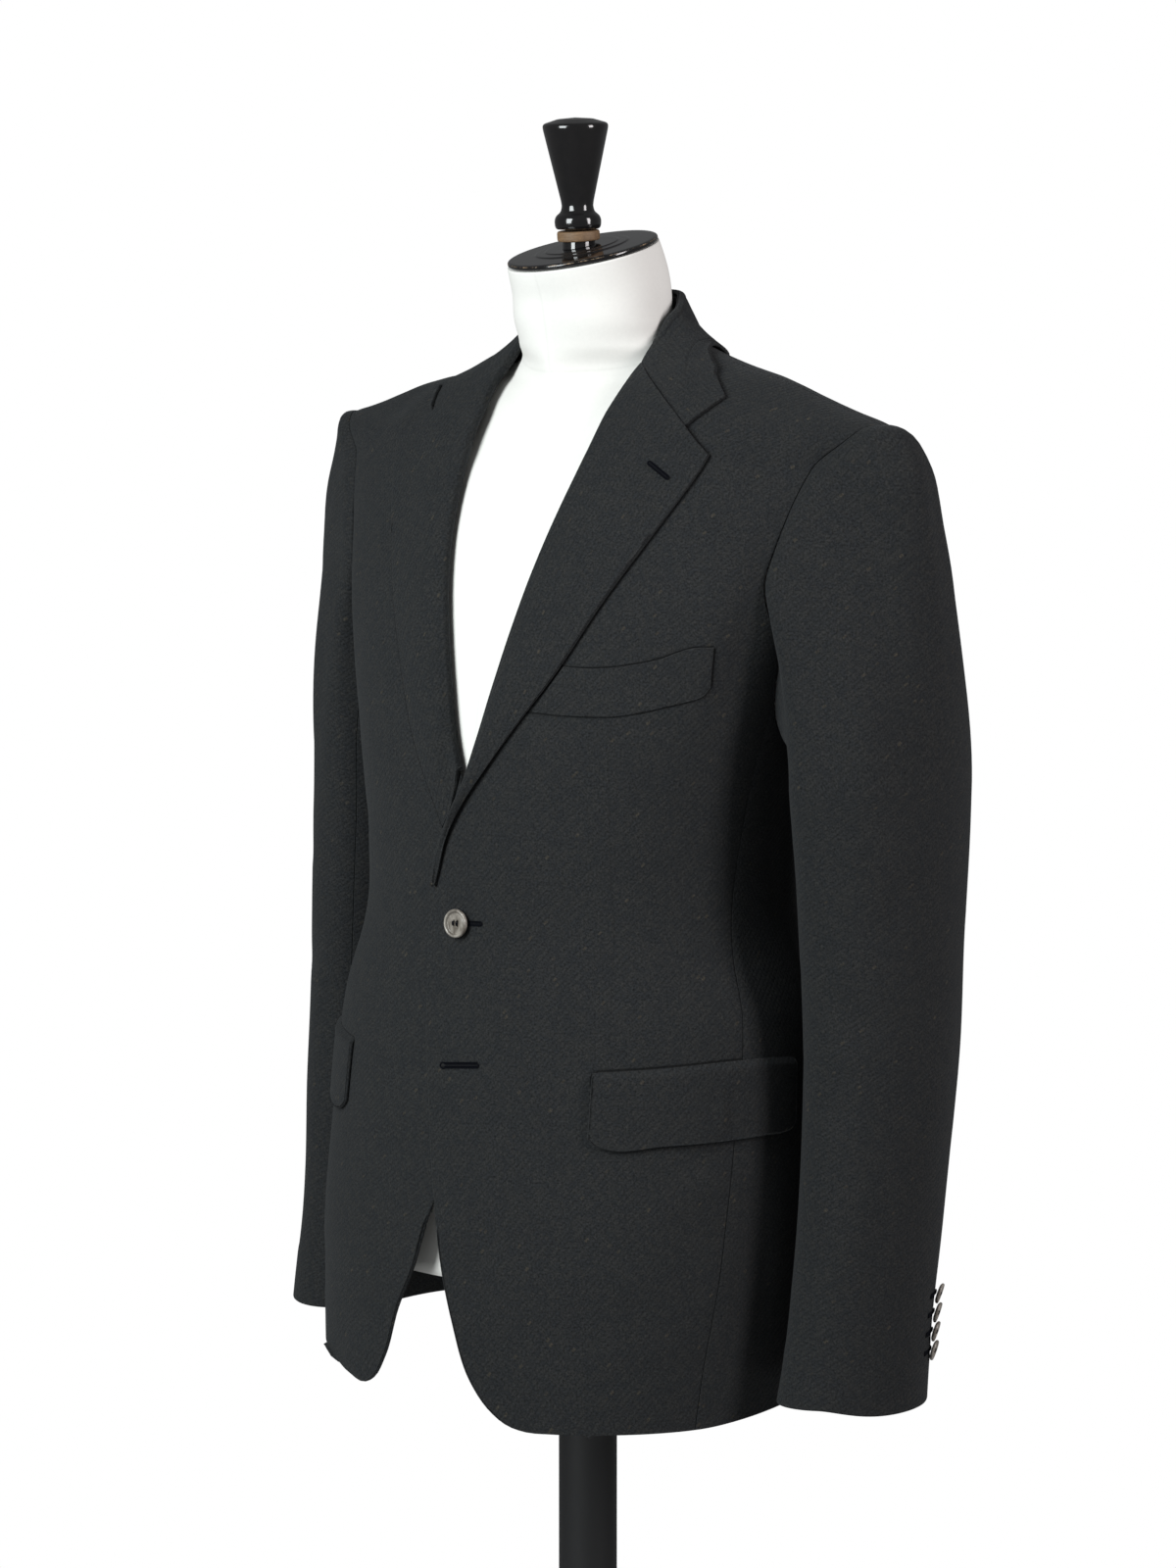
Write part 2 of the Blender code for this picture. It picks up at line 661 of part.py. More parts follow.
# The fall's outer edge behind its tip, as (turn, height) on the worn surface.
FALL_EDGE_ROWS = (
    (math.radians(56), 1.4615),
    (math.radians(70), 1.4735),
    (math.radians(85), 1.4830),
    (math.radians(100), 1.4860),
    (math.radians(120), 1.4830),
    (math.radians(145), 1.4745),
    (math.radians(180), 1.4670),
)
COLLAR_SPRING = 0.0036  # how far the fall stands off the shoulders behind its tips
FALL_BELLY = 0.0017  # how far it swells out between its fold and its edge
STAND_CLEAR = ((0, 3, 7, 11), (0.0056, 0.0046, 0.0030, 0.0034))  # above its seam, at rows from its front
FALL_ROWS = 14  # from the front end to the nape, on each side
STAND_FIRST = 2  # the row of the fold at which the stand starts


def on_surface(grid_places, lift):
    points = body_point(grid_places[..., 0], grid_places[..., 1])
    return points + body_normal(grid_places[..., 0], grid_places[..., 1]) * lift


def kept_off(grid, room):
    """The grid, moved out where it lies closer than room to the worn surface."""
    turns, heights = np.meshgrid(np.linspace(0, math.pi, 181), np.linspace(1.40, 1.51, 89))
    samples = body_point(turns, heights).reshape(-1, 3)
    normals = body_normal(turns, heights).reshape(-1, 3)
    flat = grid.reshape(-1, 3)
    room = np.broadcast_to(room, grid.shape[:2]).ravel()
    nearest = [int(np.argmin(((samples - p) ** 2).sum(1))) for p in flat]
    above = ((flat - samples[nearest]) * normals[nearest]).sum(1)
    push = np.clip(room - above, 0, None)[:, None] * normals[nearest]
    return (flat + push).reshape(grid.shape)


def stand_edge(count):
    """The top of the stand, from the top of the roll line to the nape."""
    corner = as_places([(ROLL_TOP[0] + FOLD_ROOM, ROLL_TOP[1])])
    return smooth_curve(np.concatenate([on_surface(corner, 0), STAND_EDGE_ROWS]), count)


def fold_ways(edge, lapel_away, lapel_out):
    """Directions away from the fold and out from it: the lapel's at the front, upright behind."""
    along_it = unit(np.gradient(edge, axis=0))
    upright = np.array([0.0, 0.0, 1.0])
    level_out = unit(np.cross(along_it, upright) * np.array([1, 1, 0]))
    share = smoothstep(np.linspace(0, 1, len(edge)) / 0.3)[:, None]
    out = unit(lapel_out * (1 - share) + level_out * share)
    away = unit(lapel_away * (1 - share) + upright * share)
    return unit(away - out * (away * out).sum(-1, keepdims=True)), out


def collar_half(name):
    """Half of the fall, as rows from the front end to the nape and columns from the fold outward."""
    edge = stand_edge(FALL_ROWS)
    corner = as_places([(ROLL_TOP[0] + FOLD_ROOM, ROLL_TOP[1])])
    out = body_normal(corner[:, 0], corner[:, 1])
    front = gorge((ROLL_TOP[0] + FOLD_ROOM, ROLL_TOP[1]), NOTCHES[name], COLLAR_TIPS[name])
    room = LAPEL_AIR + LAPEL_CLOTH
    front = on_surface(front, room)
    away, out = fold_ways(edge, unit(front[:1] - front[1:2]), out)
    fold = edge + out * room
    tip = as_places([COLLAR_TIPS[name]])
    rim = on_surface(smooth_curve(np.concatenate([tip, FALL_EDGE_ROWS]), 120), room)
    rim = spread_evenly(rim, FALL_ROWS)
    nape = np.linspace(fold[-1], rim[-1], len(front))
    stand_off = room + COLLAR_SPRING * smoothstep(np.linspace(0, 1, FALL_ROWS)[:, None] / 0.4)
    face = kept_off(patch(front, nape, fold, rim), stand_off)
    inward = -unit(np.cross(np.gradient(face, axis=1), np.gradient(face, axis=0)))
    inward *= np.sign((inward[0, 3] * -out[0]).sum())
    belly = FALL_BELLY * np.sin(math.pi * np.linspace(0, 1, face.shape[1]) ** 0.8)
    behind = smoothstep(np.linspace(0, 1, FALL_ROWS) / 0.4)
    face = face - inward * (behind[:, None] * belly)[..., None]
    return with_fold(face, inward, away, out, LAPEL_CLOTH, CLOTH, LAPEL_AIR)


def build_collar():
    left, left_in = collar_half("left")
    right, right_in = collar_half("right")
    flip = np.array([-1, 1, 1])
    face = np.concatenate([left, (right * flip)[::-1][1:]])
    inward = np.concatenate([left_in, (right_in * flip)[::-1][1:]])
    wall("collar_fall", face, inward, wool(), thickness=LAPEL_CLOTH)
    build_stand()


def build_stand():
    top = stand_edge(FALL_ROWS)[STAND_FIRST:] - np.array([0, 0, 0.0006])
    seam = np.concatenate([front_edge(400, 1)[-20:], neckline(60)[1:]])
    bottom = spread_evenly(on_surface(seam, 0), len(top))
    clear = np.interp(np.arange(len(top)), *STAND_CLEAR)[:, None]
    bottom = bottom + unit(top - bottom) * clear
    half = np.stack([bottom * (1 - t) + top * t for t in np.linspace(0, 1, 4)], axis=1)
    flip = np.array([-1, 1, 1])
    face = np.concatenate([half, (half * flip)[::-1][1:]])
    normal = unit(np.cross(np.gradient(face, axis=1), np.gradient(face, axis=0)))
    outward = np.sign((normal[0, 1] * np.array([1, 0, 0])).sum())
    wall("collar_stand", face, -normal * outward, wool())


# ---------------------------------------------------------------- sleeves
SLEEVE_COLUMNS = ("height", "across", "along", "outer", "inner", "half_along", "turned_in")
SLEEVE_ROWS = (
    (1.190, 0.2130, 0.0465, 0.0550, 0.0330, 0.0745, 0.00),
    (1.158, 0.2145, 0.0453, 0.0545, 0.0340, 0.0720, 0.00),
    (1.090, 0.2182, 0.0415, 0.0507, 0.0355, 0.0680, 0.00),
    (1.012, 0.2226, 0.0381, 0.0474, 0.0355, 0.0635, 0.00),
    (0.937, 0.2262, 0.0280, 0.0426, 0.0345, 0.0580, 0.06),
    (0.878, 0.2270, 0.0205, 0.0395, 0.0335, 0.0555, 0.13),
    (0.844, 0.2270, 0.0150, 0.0390, 0.0330, 0.0545, 0.19),
    (0.779, 0.2262, 0.0050, 0.0400, 0.0330, 0.0575, 0.26),
)
SLEEVE = columns_of(SLEEVE_COLUMNS, SLEEVE_ROWS[::-1])
SLEEVE_TOP = SLEEVE_ROWS[0][0]
CUFF = SLEEVE_ROWS[-1][0]
# How the sleeve leaves the armhole, in metres: over the shoulder, at the front, at the back, below.
LEAVE_OVER = np.array([0.120, 0.000, -0.018])
LEAVE_FRONT = np.array([0.000, -0.020, -0.200])
LEAVE_BACK = np.array([0.080, 0.090, -0.200])
LEAVE_BELOW = np.array([0.030, 0.000, -0.040])
ARRIVE = np.array([0.000, 0.000, -1.000])
CAP_ROWS = 6
ARM_ROWS = 8
SLEEVE_STANDOFF = 0.0014  # air between the armhole and the sleeve head
SLEEVE_GAP = 0.0011  # how far each sleeve piece is drawn in at its seams
HEAD_TURN = 1.5  # how far the wall's way in, at the armhole, follows the body's rather than the sleeve's
UNDER_FROM = math.radians(130)  # the stretch of the sleeve that meets the side panel
UNDER_TO = math.radians(232)
FRONT_SEAM_AT = math.radians(118)
HIND_SEAM_AT = math.radians(250)
HIND_SEAM_DRIFT = 0.80  # how far the hind seam turns outward on its way to the cuff, radians


def sleeve_turns(rows_armhole, columns_side):
    """Angles round the sleeve, from the shoulder point by the front, one for each armhole point."""
    front = np.linspace(0, UNDER_FROM, rows_armhole + 1)
    under = np.linspace(UNDER_FROM, UNDER_TO, columns_side)
    back = np.linspace(UNDER_TO, FULL_TURN, rows_armhole + 1)
    return np.concatenate([front, under[1:], back[1:-1]])


def armhole_ring(rows_armhole, columns_side):
    """The armhole's points, in the order of the sleeve's angles, and the body's normals there."""
    front, back = front_armhole(rows_armhole + 1), back_armhole(rows_armhole + 1)
    at = np.concatenate([front[::-1], under_armhole(columns_side)[1:], back[1:-1]])
    return body_point(at[:, 0], at[:, 1]), body_normal(at[:, 0], at[:, 1])


def arm_ring(turns, height):
    """A section of the arm: outer side at 0, front at 90 degrees."""
    value = {name: along(SLEEVE, name, height) for name in SLEEVE_COLUMNS[1:]}
    down = (SLEEVE_TOP - height) / (SLEEVE_TOP - CUFF)
    near_seam = np.exp(-(((turns - HIND_SEAM_AT) / 0.9) ** 2))
    turns = turns + HIND_SEAM_DRIFT * smoothstep(down) * near_seam
    across, forth = np.cos(turns), np.sin(turns)
    x = across * np.where(across > 0, value["outer"], value["inner"])
    y = -forth * value["half_along"]
    c, s = math.cos(value["turned_in"]), math.sin(value["turned_in"])
    return np.stack(
        [
            value["across"] + c * x + s * y,
            value["along"] - s * x + c * y,
            np.full_like(turns, height),
        ],
        -1,
    )


def sleeve_grid(rows_armhole, columns_side, cap_rows, arm_rows):
    """The sleeve's outer face: a rounded head from the armhole, and then the arm's sections."""
    turns = sleeve_turns(rows_armhole, columns_side)
    start, normal = armhole_ring(rows_armhole, columns_side)
    start = start + normal * SLEEVE_STANDOFF
    end = arm_ring(turns, SLEEVE_TOP)
    over = ((1 + np.cos(turns)) / 2)[:, None]
    level = np.where(np.sin(turns)[:, None] > 0, LEAVE_FRONT, LEAVE_BACK)
    leave = LEAVE_OVER * over**2 + 2 * level * over * (1 - over) + LEAVE_BELOW * (1 - over) ** 2
    arrive = ARRIVE * (0.05 + 0.20 * over)
    rows = []
    for t in np.linspace(0, 1, cap_rows + 1) ** 1.15:
        rows.append(
            start * (1 + 2 * t) * (1 - t) ** 2
            + leave * t * (1 - t) ** 2
            + end * t**2 * (3 - 2 * t)
            + arrive * t**2 * (t - 1)
        )
    for height in np.linspace(SLEEVE_TOP, CUFF, arm_rows + 1)[1:]:
        rows.append(arm_ring(turns, height))
    return np.array(rows)


def ring_normals(grid):
    """Directions out of a tube whose rows are closed rings."""
    round_it = np.roll(grid, -1, axis=1) - np.roll(grid, 1, axis=1)
    along_it = np.gradient(grid, axis=0)
    normal = np.cross(along_it, round_it)
    normal /= np.linalg.norm(normal, axis=-1, keepdims=True)
    centre = grid.mean(axis=1, keepdims=True)
    out = np.sign(((grid - centre) * normal).sum(-1).mean())
    return normal * out


def build_sleeves():
    turns = sleeve_turns(ROWS_ARMHOLE, COLUMNS_SIDE)
    grid = sleeve_grid(ROWS_ARMHOLE, COLUMNS_SIDE, CAP_ROWS, ARM_ROWS)
    normals = ring_normals(grid)
    normals[0] = unit(normals[0] + HEAD_TURN * armhole_ring(ROWS_ARMHOLE, COLUMNS_SIDE)[1])
    front_seam = int(np.argmin(np.abs(turns - FRONT_SEAM_AT)))
    hind_seam = int(np.argmin(np.abs(turns - HIND_SEAM_AT)))
    under = np.arange(front_seam, hind_seam + 1)
    top = np.arange(hind_seam, len(turns) + front_seam + 1) % len(turns)
    for name, sign in (("left", 1), ("right", -1)):
        flip = np.array([sign, 1, 1])
        for piece, take in (("top_sleeve", top), ("under_sleeve", under)):
            face, inward = grid[:, take] * flip, -normals[:, take] * flip
            wall(f"{name}_{piece}", face, inward, wool(), gap=SLEEVE_GAP)


# ---------------------------------------------------------------- pockets
PATCH_AIR = 0.0004  # between a pocket piece and the front it lies on
FLAP_TURNS = (math.radians(34.2), math.radians(88.0))
FLAP_COLUMNS = ("share", "top", "bottom")
FLAP_ROWS = (
    (0.00, 1.0035, 0.9600),
    (0.04, 1.0040, 0.9545),
    (0.09, 1.0046, 0.9525),
    (0.30, 1.0070, 0.9550),
    (0.55, 1.0092, 0.9562),
    (0.80, 1.0090, 0.9572),
    (0.92, 1.0075, 0.9572),
    (0.97, 1.0070, 0.9590),
    (1.00, 1.0065, 0.9640),
)
WELT_COLUMNS = ("across_top", "top", "across_bottom", "bottom")
WELT_ROWS = (
    (0.0703, 1.2716, 0.0515, 1.2406),
    (0.0780, 1.2712, 0.0700, 1.2396),
    (0.0867, 1.2710, 0.0920, 1.2394),
    (0.1051, 1.2724, 0.1077, 1.2401),
    (0.1220, 1.2756, 0.1237, 1.2430),
    (0.1338, 1.2790, 0.1347, 1.2463),
    (0.1411, 1.2826, 0.1450, 1.2496),
    (0.1505, 1.2862, 0.1535, 1.2535),
    (0.1603, 1.2866, 0.1575, 1.2600),
)
POCKET_ROWS = 3  # rows of faces' corners, from bottom to top


def ruled(bottom, top, rows):
    share = np.linspace(0, 1, rows)[:, None, None]
    return bottom[None] * (1 - share) + top[None] * share


def build_pockets():
    flap = columns_of(FLAP_COLUMNS, FLAP_ROWS)
    share = np.union1d(flap["share"], np.linspace(0.15, 0.87, 9))
    turns = FLAP_TURNS[0] + (FLAP_TURNS[1] - FLAP_TURNS[0]) * share
    bottom, top = [np.interp(share, flap["share"], flap[name]) for name in ("bottom", "top")]
    grid = ruled(places(turns, bottom), places(turns, top), POCKET_ROWS)
    for name, sign in (("left", 1), ("right", -1)):
        lift = PATCH_AIR + FLAP_CLOTH + front_lift(grid, sign)
        body_wall(f"{name}_flap", grid, wool(), sign, lift=lift, thickness=FLAP_CLOTH)
    welt = columns_of(WELT_COLUMNS, WELT_ROWS)
    bottom = as_places(np.stack([welt["across_bottom"], welt["bottom"]], -1))
    top = as_places(np.stack([welt["across_top"], welt["top"]], -1))
    grid = ruled(bottom, top, POCKET_ROWS)
    lift = PATCH_AIR + CLOTH + front_lift(grid, 1)
    body_wall("chest_welt", grid, wool(), 1, lift=lift)


# ---------------------------------------------------------------- turned parts and buttons
def turned(name, profile, look, segments, place=(0, 0, 0), axis=(0, 0, 1)):
    """A closed body turned from (radius, height) rows, bottom to top, stood on an axis."""
    axis = unit(np.array(axis, float))
    side = unit(np.cross(axis, [0.1, 1, 0] if abs(axis[1]) < 0.9 else [1, 0, 0.1]))
    other = np.cross(axis, side)
    turns = np.linspace(0, FULL_TURN, segments, endpoint=False)
    points, rings = [], []
    for radius, height in profile:
        centre = np.array(place) + axis * height
        if radius == 0:
            rings.append([len(points)])
            points.append(centre)
            continue
        rings.append(list(range(len(points), len(points) + segments)))
        points.extend(centre + radius * (math.cos(t) * side + math.sin(t) * other) for t in turns)
    faces = []
    for low, high in zip(rings, rings[1:]):
        for k in range(segments):
            n = (k + 1) % segments
            face = [low[k % len(low)], low[n % len(low)], high[n % len(high)], high[k % len(high)]]
            faces.append(tuple(dict.fromkeys(face)))
    return solid(name, points, faces, look)


BUTTON_PROFILE = (  # the fastened button, from its thread shank to its dished face
    (0.0000, -0.0038),
    (0.0010, -0.0038),
    (0.0010, 0.0000),
    (0.0070, 0.0000),
    (0.0094, 0.0014),
    (0.0098, 0.0030),
    (0.0088, 0.0041),
    (0.0074, 0.0040),
    (0.0062, 0.0030),
    (0.0000, 0.0026),
)
SMALL_BUTTON_PROFILE = (
    (0.0000, 0.0000),
    (0.0055, 0.0000),
    (0.0072, 0.0010),
    (0.0072, 0.0020),
    (0.0064, 0.0027),
    (0.0048, 0.0022),
    (0.0000, 0.0019),
)
BUTTON_SEGMENTS = 28
BUTTON_AIR = 0.0008  # between the button's back and the left front
SMALL_SEGMENTS = 16
SLIT_LENGTH = 0.0200
SLIT_WIDTH = 0.0026
SLIT_BEFORE = 0.0020  # how far the slit reaches towards the edge from the shank
CUFF_BUTTON_COUNT = 4
CUFF_BUTTON_SPACING = 0.0118
CUFF_BUTTON_TILT = math.radians(14.5)
CUFF_BUTTON_LOWEST = 0.0340  # above the cuff
CUFF_BUTTON_TURN = math.radians(-50)


def place_on_front(across, height, lift):
    turn = float(turn_at(across, height))
    normal = body_normal(turn, height)
    return body_point(turn, height) + normal * lift, normal


def build_front_button():
    """The button stands on the left front, and its shank goes through the slit to the right one."""
    seat, normal = place_on_front(*BUTTON_PLACE, OVERLAP_LIFT + BUTTON_AIR)
    turned("front_button", BUTTON_PROFILE, horn(), BUTTON_SEGMENTS, seat, normal)
    across = unit(np.cross([0, 0, 1], normal))
    upright = np.cross(normal, across)
    centre = seat + across * (SLIT_LENGTH / 2 - SLIT_BEFORE)
    corners = [
        centre + across * x * SLIT_LENGTH / 2 + upright * z * SLIT_WIDTH / 2 + normal * y * 0.006
        for x in (-1, 1)
        for y in (-1, 1)
        for z in (-1, 1)
    ]
    faces = [(0, 1, 3, 2), (4, 6, 7, 5), (0, 4, 5, 1), (2, 3, 7, 6), (0, 2, 6, 4), (1, 5, 7, 3)]
    if signed_volume(corners, faces) < 0:
        faces = [face[::-1] for face in faces]
    cutter = solid("buttonhole_cutter", corners, faces, horn(), smooth=False)
    cutter.hide_render = True
    cutter.display_type = "WIRE"
    cut = bpy.data.objects["left_front"].modifiers.new("buttonhole", "BOOLEAN")
    cut.operation = "DIFFERENCE"
    cut.solver = "EXACT"
    cut.object = cutter


def build_cuff_buttons():
    for name, sign in (("left", 1), ("right", -1)):
        for k in range(CUFF_BUTTON_COUNT):
            height = CUFF + CUFF_BUTTON_LOWEST + k * CUFF_BUTTON_SPACING
            place, normal, down = sleeve_place(CUFF_BUTTON_TURN, height)
            axis = normal * math.cos(CUFF_BUTTON_TILT) + down * math.sin(CUFF_BUTTON_TILT)
            place = place + normal * (0.0055 * math.sin(CUFF_BUTTON_TILT) + 0.0004)
            flip = np.array([sign, 1, 1])
            number = CUFF_BUTTON_COUNT - k
            turned(
                f"{name}_cuff_button_{number}",
                SMALL_BUTTON_PROFILE,
                horn(),
                SMALL_SEGMENTS,
                settled(place * flip),
                axis * flip,
            )


def sleeve_place(turn, height):
    """A point of the left sleeve's outer face, the way out of it, and the way down it."""
    step = 0.004
    points = [arm_ring(np.array([turn + a]), height + b)[0] for a, b in ((-0.05, 0), (0.05, 0))]
    lower, upper = [arm_ring(np.array([turn]), height + b)[0] for b in (-step, step)]
    down = unit(lower - upper)
    normal = unit(np.cross(points[1] - points[0], down))
    middle = arm_ring(np.array([turn]), height)[0]
    centre = np.array([along(SLEEVE, "across", height), along(SLEEVE, "along", height), height])
    return middle, normal * np.sign(((middle - centre) * normal).sum()), down


# ---------------------------------------------------------------- dress form
FORM_ROWS = (
    (0.8530, 0.1520, -0.1470, 0.1100, 0.000, 2.30, 2.30),
    (0.9500, 0.1560, -0.1340, 0.1060, 0.002, 2.28, 2.30),
    (1.0300, 0.1500, -0.1250, 0.0930, 0.005, 2.25, 2.25),
    (1.0960, 0.1420, -0.1215, 0.0820, 0.008, 2.25, 2.25),
    (1.1600, 0.1480, -0.1250, 0.0880, 0.010, 2.35, 2.30),
    (1.2050, 0.1570, -0.1220, 0.0980, 0.012, 2.42, 2.35),
    (1.2500, 0.1680, -0.1145, 0.1060, 0.015, 2.45, 2.40),
    (1.3200, 0.1860, -0.0960, 0.1100, 0.018, 2.25, 2.35),
    (1.3650, 0.1940, -0.0800, 0.1040, 0.019, 1.95, 2.25),
    (1.3950, 0.1990, -0.0670, 0.0970, 0.020, 1.70, 2.00),
    (1.4150, 0.1995, -0.0560, 0.0890, 0.020, 1.45, 1.80),
    (1.4270, 0.1960, -0.0510, 0.0850, 0.020, 1.30, 1.65),
    (1.4385, 0.1830, -0.0480, 0.0790, 0.020, 1.14, 1.50),
    (1.4500, 0.1500, -0.0455, 0.0725, 0.020, 1.00, 1.35),
    (1.4580, 0.1100, -0.0440, 0.0680, 0.018, 0.98, 1.30),
    (1.4680, 0.0745, -0.0430, 0.0640, 0.014, 1.15, 1.40),
    (1.4820, 0.0592, -0.0435, 0.0615, 0.010, 1.70, 1.80),
    (1.4980, 0.0562, -0.0465, 0.0590, 0.006, 2.00, 2.00),
    (1.5190, 0.0550, -0.0500, 0.0570, 0.004, 2.00, 2.00),
    (1.5432, 0.0520, -0.0570, 0.0470, -0.005, 2.00, 2.00),
)
FORM_BOTTOM = FORM_ROWS[0][0]
NECK_TOP = FORM_ROWS[-1][0]
NECK_TILT = math.radians(13.2)
NECK_ROLL = 0.053  # how much the neck's top rises towards the wearer's left
FORM_SEGMENTS = 40
FORM_RINGS = (12, 17)  # below the shoulders and above
FORM_SHOULDER = 1.395
NECK_CENTRE = -0.005
NECK_LEVEL = 1.495  # the highest level section, above which they lean more and more

CAP_PROFILE = (
    (0.0000, 0.0000),
    (0.0514, 0.0000),
    (0.0523, 0.0010),
    (0.0523, 0.0030),
    (0.0505, 0.0038),
    (0.0328, 0.0041),
    (0.0322, 0.0049),
    (0.0258, 0.0050),
    (0.0252, 0.0057),
    (0.0000, 0.0057),
)
WASHER_PROFILE = (
    (0.0000, 0.0000),
    (0.0138, 0.0000),
    (0.0146, 0.0010),
    (0.0146, 0.0060),
    (0.0138, 0.0070),
    (0.0000, 0.0070),
)
KNOB_PROFILE = (
    (0.0000, 0.0000),
    (0.0146, 0.0000),
    (0.0158, 0.0022),
    (0.0160, 0.0062),
    (0.0150, 0.0090),
    (0.0117, 0.0118),
    (0.0107, 0.0155),
    (0.0113, 0.0195),
    (0.0222, 0.0676),
    (0.0225, 0.0702),
    (0.0214, 0.0718),
    (0.0120, 0.0747),
    (0.0000, 0.0756),
)
BASE_PROFILE = (
    (0.0000, 0.0000),
    (0.1890, 0.0000),
    (0.1900, 0.0010),
    (0.1900, 0.0070),
    (0.1870, 0.0100),
    (0.0420, 0.0130),
    (0.0320, 0.0180),
    (0.0310, 0.0440),
    (0.0290, 0.0460),
    (0.0000, 0.0460),
)
POLE_RADIUS = 0.0205
BOSS_RADIUS = 0.0112
BOSS_HEIGHT = 0.0024  # at its middle, above the cap
TOP_FORWARD = 0.003  # how far the boss, washer and knob stand in front of the cap's centre
WASHER_TILT = 0.087  # radians
KNOB_TILT = 0.042
PIECE_GAP = 0.0003  # between the hard pieces that rest on each other
KNOB_GAP = 0.0009  # more, because the knob leans over its washer
CAP_SEGMENTS = 40
WASHER_SEGMENTS = 28
KNOB_SEGMENTS = 32
BASE_SEGMENTS = 48
POLE_SEGMENTS = 36


def build_form():
    form = columns_of(SECTION_COLUMNS, FORM_ROWS)
    lower = np.linspace(FORM_BOTTOM, FORM_SHOULDER, FORM_RINGS[0])
    upper = np.linspace(FORM_SHOULDER, NECK_TOP, FORM_RINGS[1])[1:]
    turns = np.linspace(0, FULL_TURN, FORM_SEGMENTS, endpoint=False)
    grid = section_point(form, turns, np.concatenate([lower, upper])[:, None])
    lean = smoothstep((grid[..., 2] - NECK_LEVEL) / (NECK_TOP - NECK_LEVEL))
    rise = math.tan(NECK_TILT) * (grid[..., 1] - NECK_CENTRE) + NECK_ROLL * grid[..., 0]
    grid[..., 2] += lean * rise
    rows = len(grid)
    points = [*grid.reshape(-1, 3), grid[0].mean(axis=0), grid[-1].mean(axis=0)]
    faces = []
    for r in range(rows - 1):
        for c in range(FORM_SEGMENTS):
            n = (c + 1) % FORM_SEGMENTS
            low, high = r * FORM_SEGMENTS, (r + 1) * FORM_SEGMENTS
            faces.append((low + c, low + n, high + n, high + c))
    base, top = rows * FORM_SEGMENTS, rows * FORM_SEGMENTS + 1
    last = (rows - 1) * FORM_SEGMENTS
    for c in range(FORM_SEGMENTS):
        n = (c + 1) % FORM_SEGMENTS
        faces.append((base, n, c))
        faces.append((top, last + c, last + n))
    solid("form_body", points, faces, linen())


def leaning(angle, roll=0.0):
    """An upright axis tipped by the angle, so that what it carries is highest behind."""
    return unit(np.array([-roll, -math.tan(angle), 1.0]))


def build_top():
    """The lacquered cap on the neck, and the boss, washer and knob in its middle."""
    axis = leaning(NECK_TILT, NECK_ROLL)
    cap_place = np.array([0, NECK_CENTRE, NECK_TOP]) + axis * SEAM_GAP
    turned("neck_cap", CAP_PROFILE, lacquer(), CAP_SEGMENTS, cap_place, axis)
    top = cap_place + axis * (CAP_PROFILE[-1][1] + PIECE_GAP)
    build_boss(top)
    tilted = leaning(WASHER_TILT)
    washer = np.array([top[0], top[1] - TOP_FORWARD, top[2] + BOSS_HEIGHT + PIECE_GAP])
    turned("cap_washer", WASHER_PROFILE, raw_wood(), WASHER_SEGMENTS, washer, tilted)
    knob = washer + tilted * (WASHER_PROFILE[-1][1] + KNOB_GAP)
    turned("knob", KNOB_PROFILE, lacquer(), KNOB_SEGMENTS, knob, leaning(KNOB_TILT))


def build_boss(top):
    """The small wedge between the leaning cap and the washer."""
    turns = np.linspace(0, FULL_TURN, WASHER_SEGMENTS, endpoint=False)
    x, y = BOSS_RADIUS * np.cos(turns), BOSS_RADIUS * np.sin(turns)
    low = top[2] + (y - TOP_FORWARD) * math.tan(NECK_TILT) + x * NECK_ROLL
    high = top[2] + BOSS_HEIGHT + y * math.tan(WASHER_TILT)
    x, y = x + top[0], y + top[1] - TOP_FORWARD
    points = [*np.stack([x, y, low], -1), *np.stack([x, y, high], -1)]
    ring = range(WASHER_SEGMENTS)
    faces = [tuple(ring)[::-1], tuple(k + WASHER_SEGMENTS for k in ring)]
    for k in ring:
        n = (k + 1) % WASHER_SEGMENTS
        faces.append((k, n, n + WASHER_SEGMENTS, k + WASHER_SEGMENTS))
    solid("cap_boss", points, faces, lacquer())


def build_foot():
    """The pole under the form, and the round plate that the whole part stands on."""
    turned("base_plate", BASE_PROFILE, black_steel(), BASE_SEGMENTS)
    pole_foot = BASE_PROFILE[-1][1] + PIECE_GAP
    length = FORM_BOTTOM - PIECE_GAP - pole_foot
    pole = ((0, 0), (POLE_RADIUS, 0), (POLE_RADIUS, length), (0, length))
    turned("pole", pole, black_steel(), POLE_SEGMENTS, (0, 0, pole_foot))


# ---------------------------------------------------------------- main
def clear_scene():
    for found in list(bpy.data.objects):
        bpy.data.objects.remove(found)


def main():
    clear_scene()
    build_body()
    build_lapels()
    build_collar()
    build_sleeves()
    build_pockets()
    build_front_button()
    build_cuff_buttons()
    build_form()
    build_top()
    build_foot()


main()
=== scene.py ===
"""Looks of a man's two-button sport coat on a limbless dress form. Metres, in the CAD model's frame.

The cloth's forms come from the same tables and formulas as the CAD model's, at a finer spacing, and
then get their soft folds, rolled edges, weave, buttons and buttonholes.
"""

import math

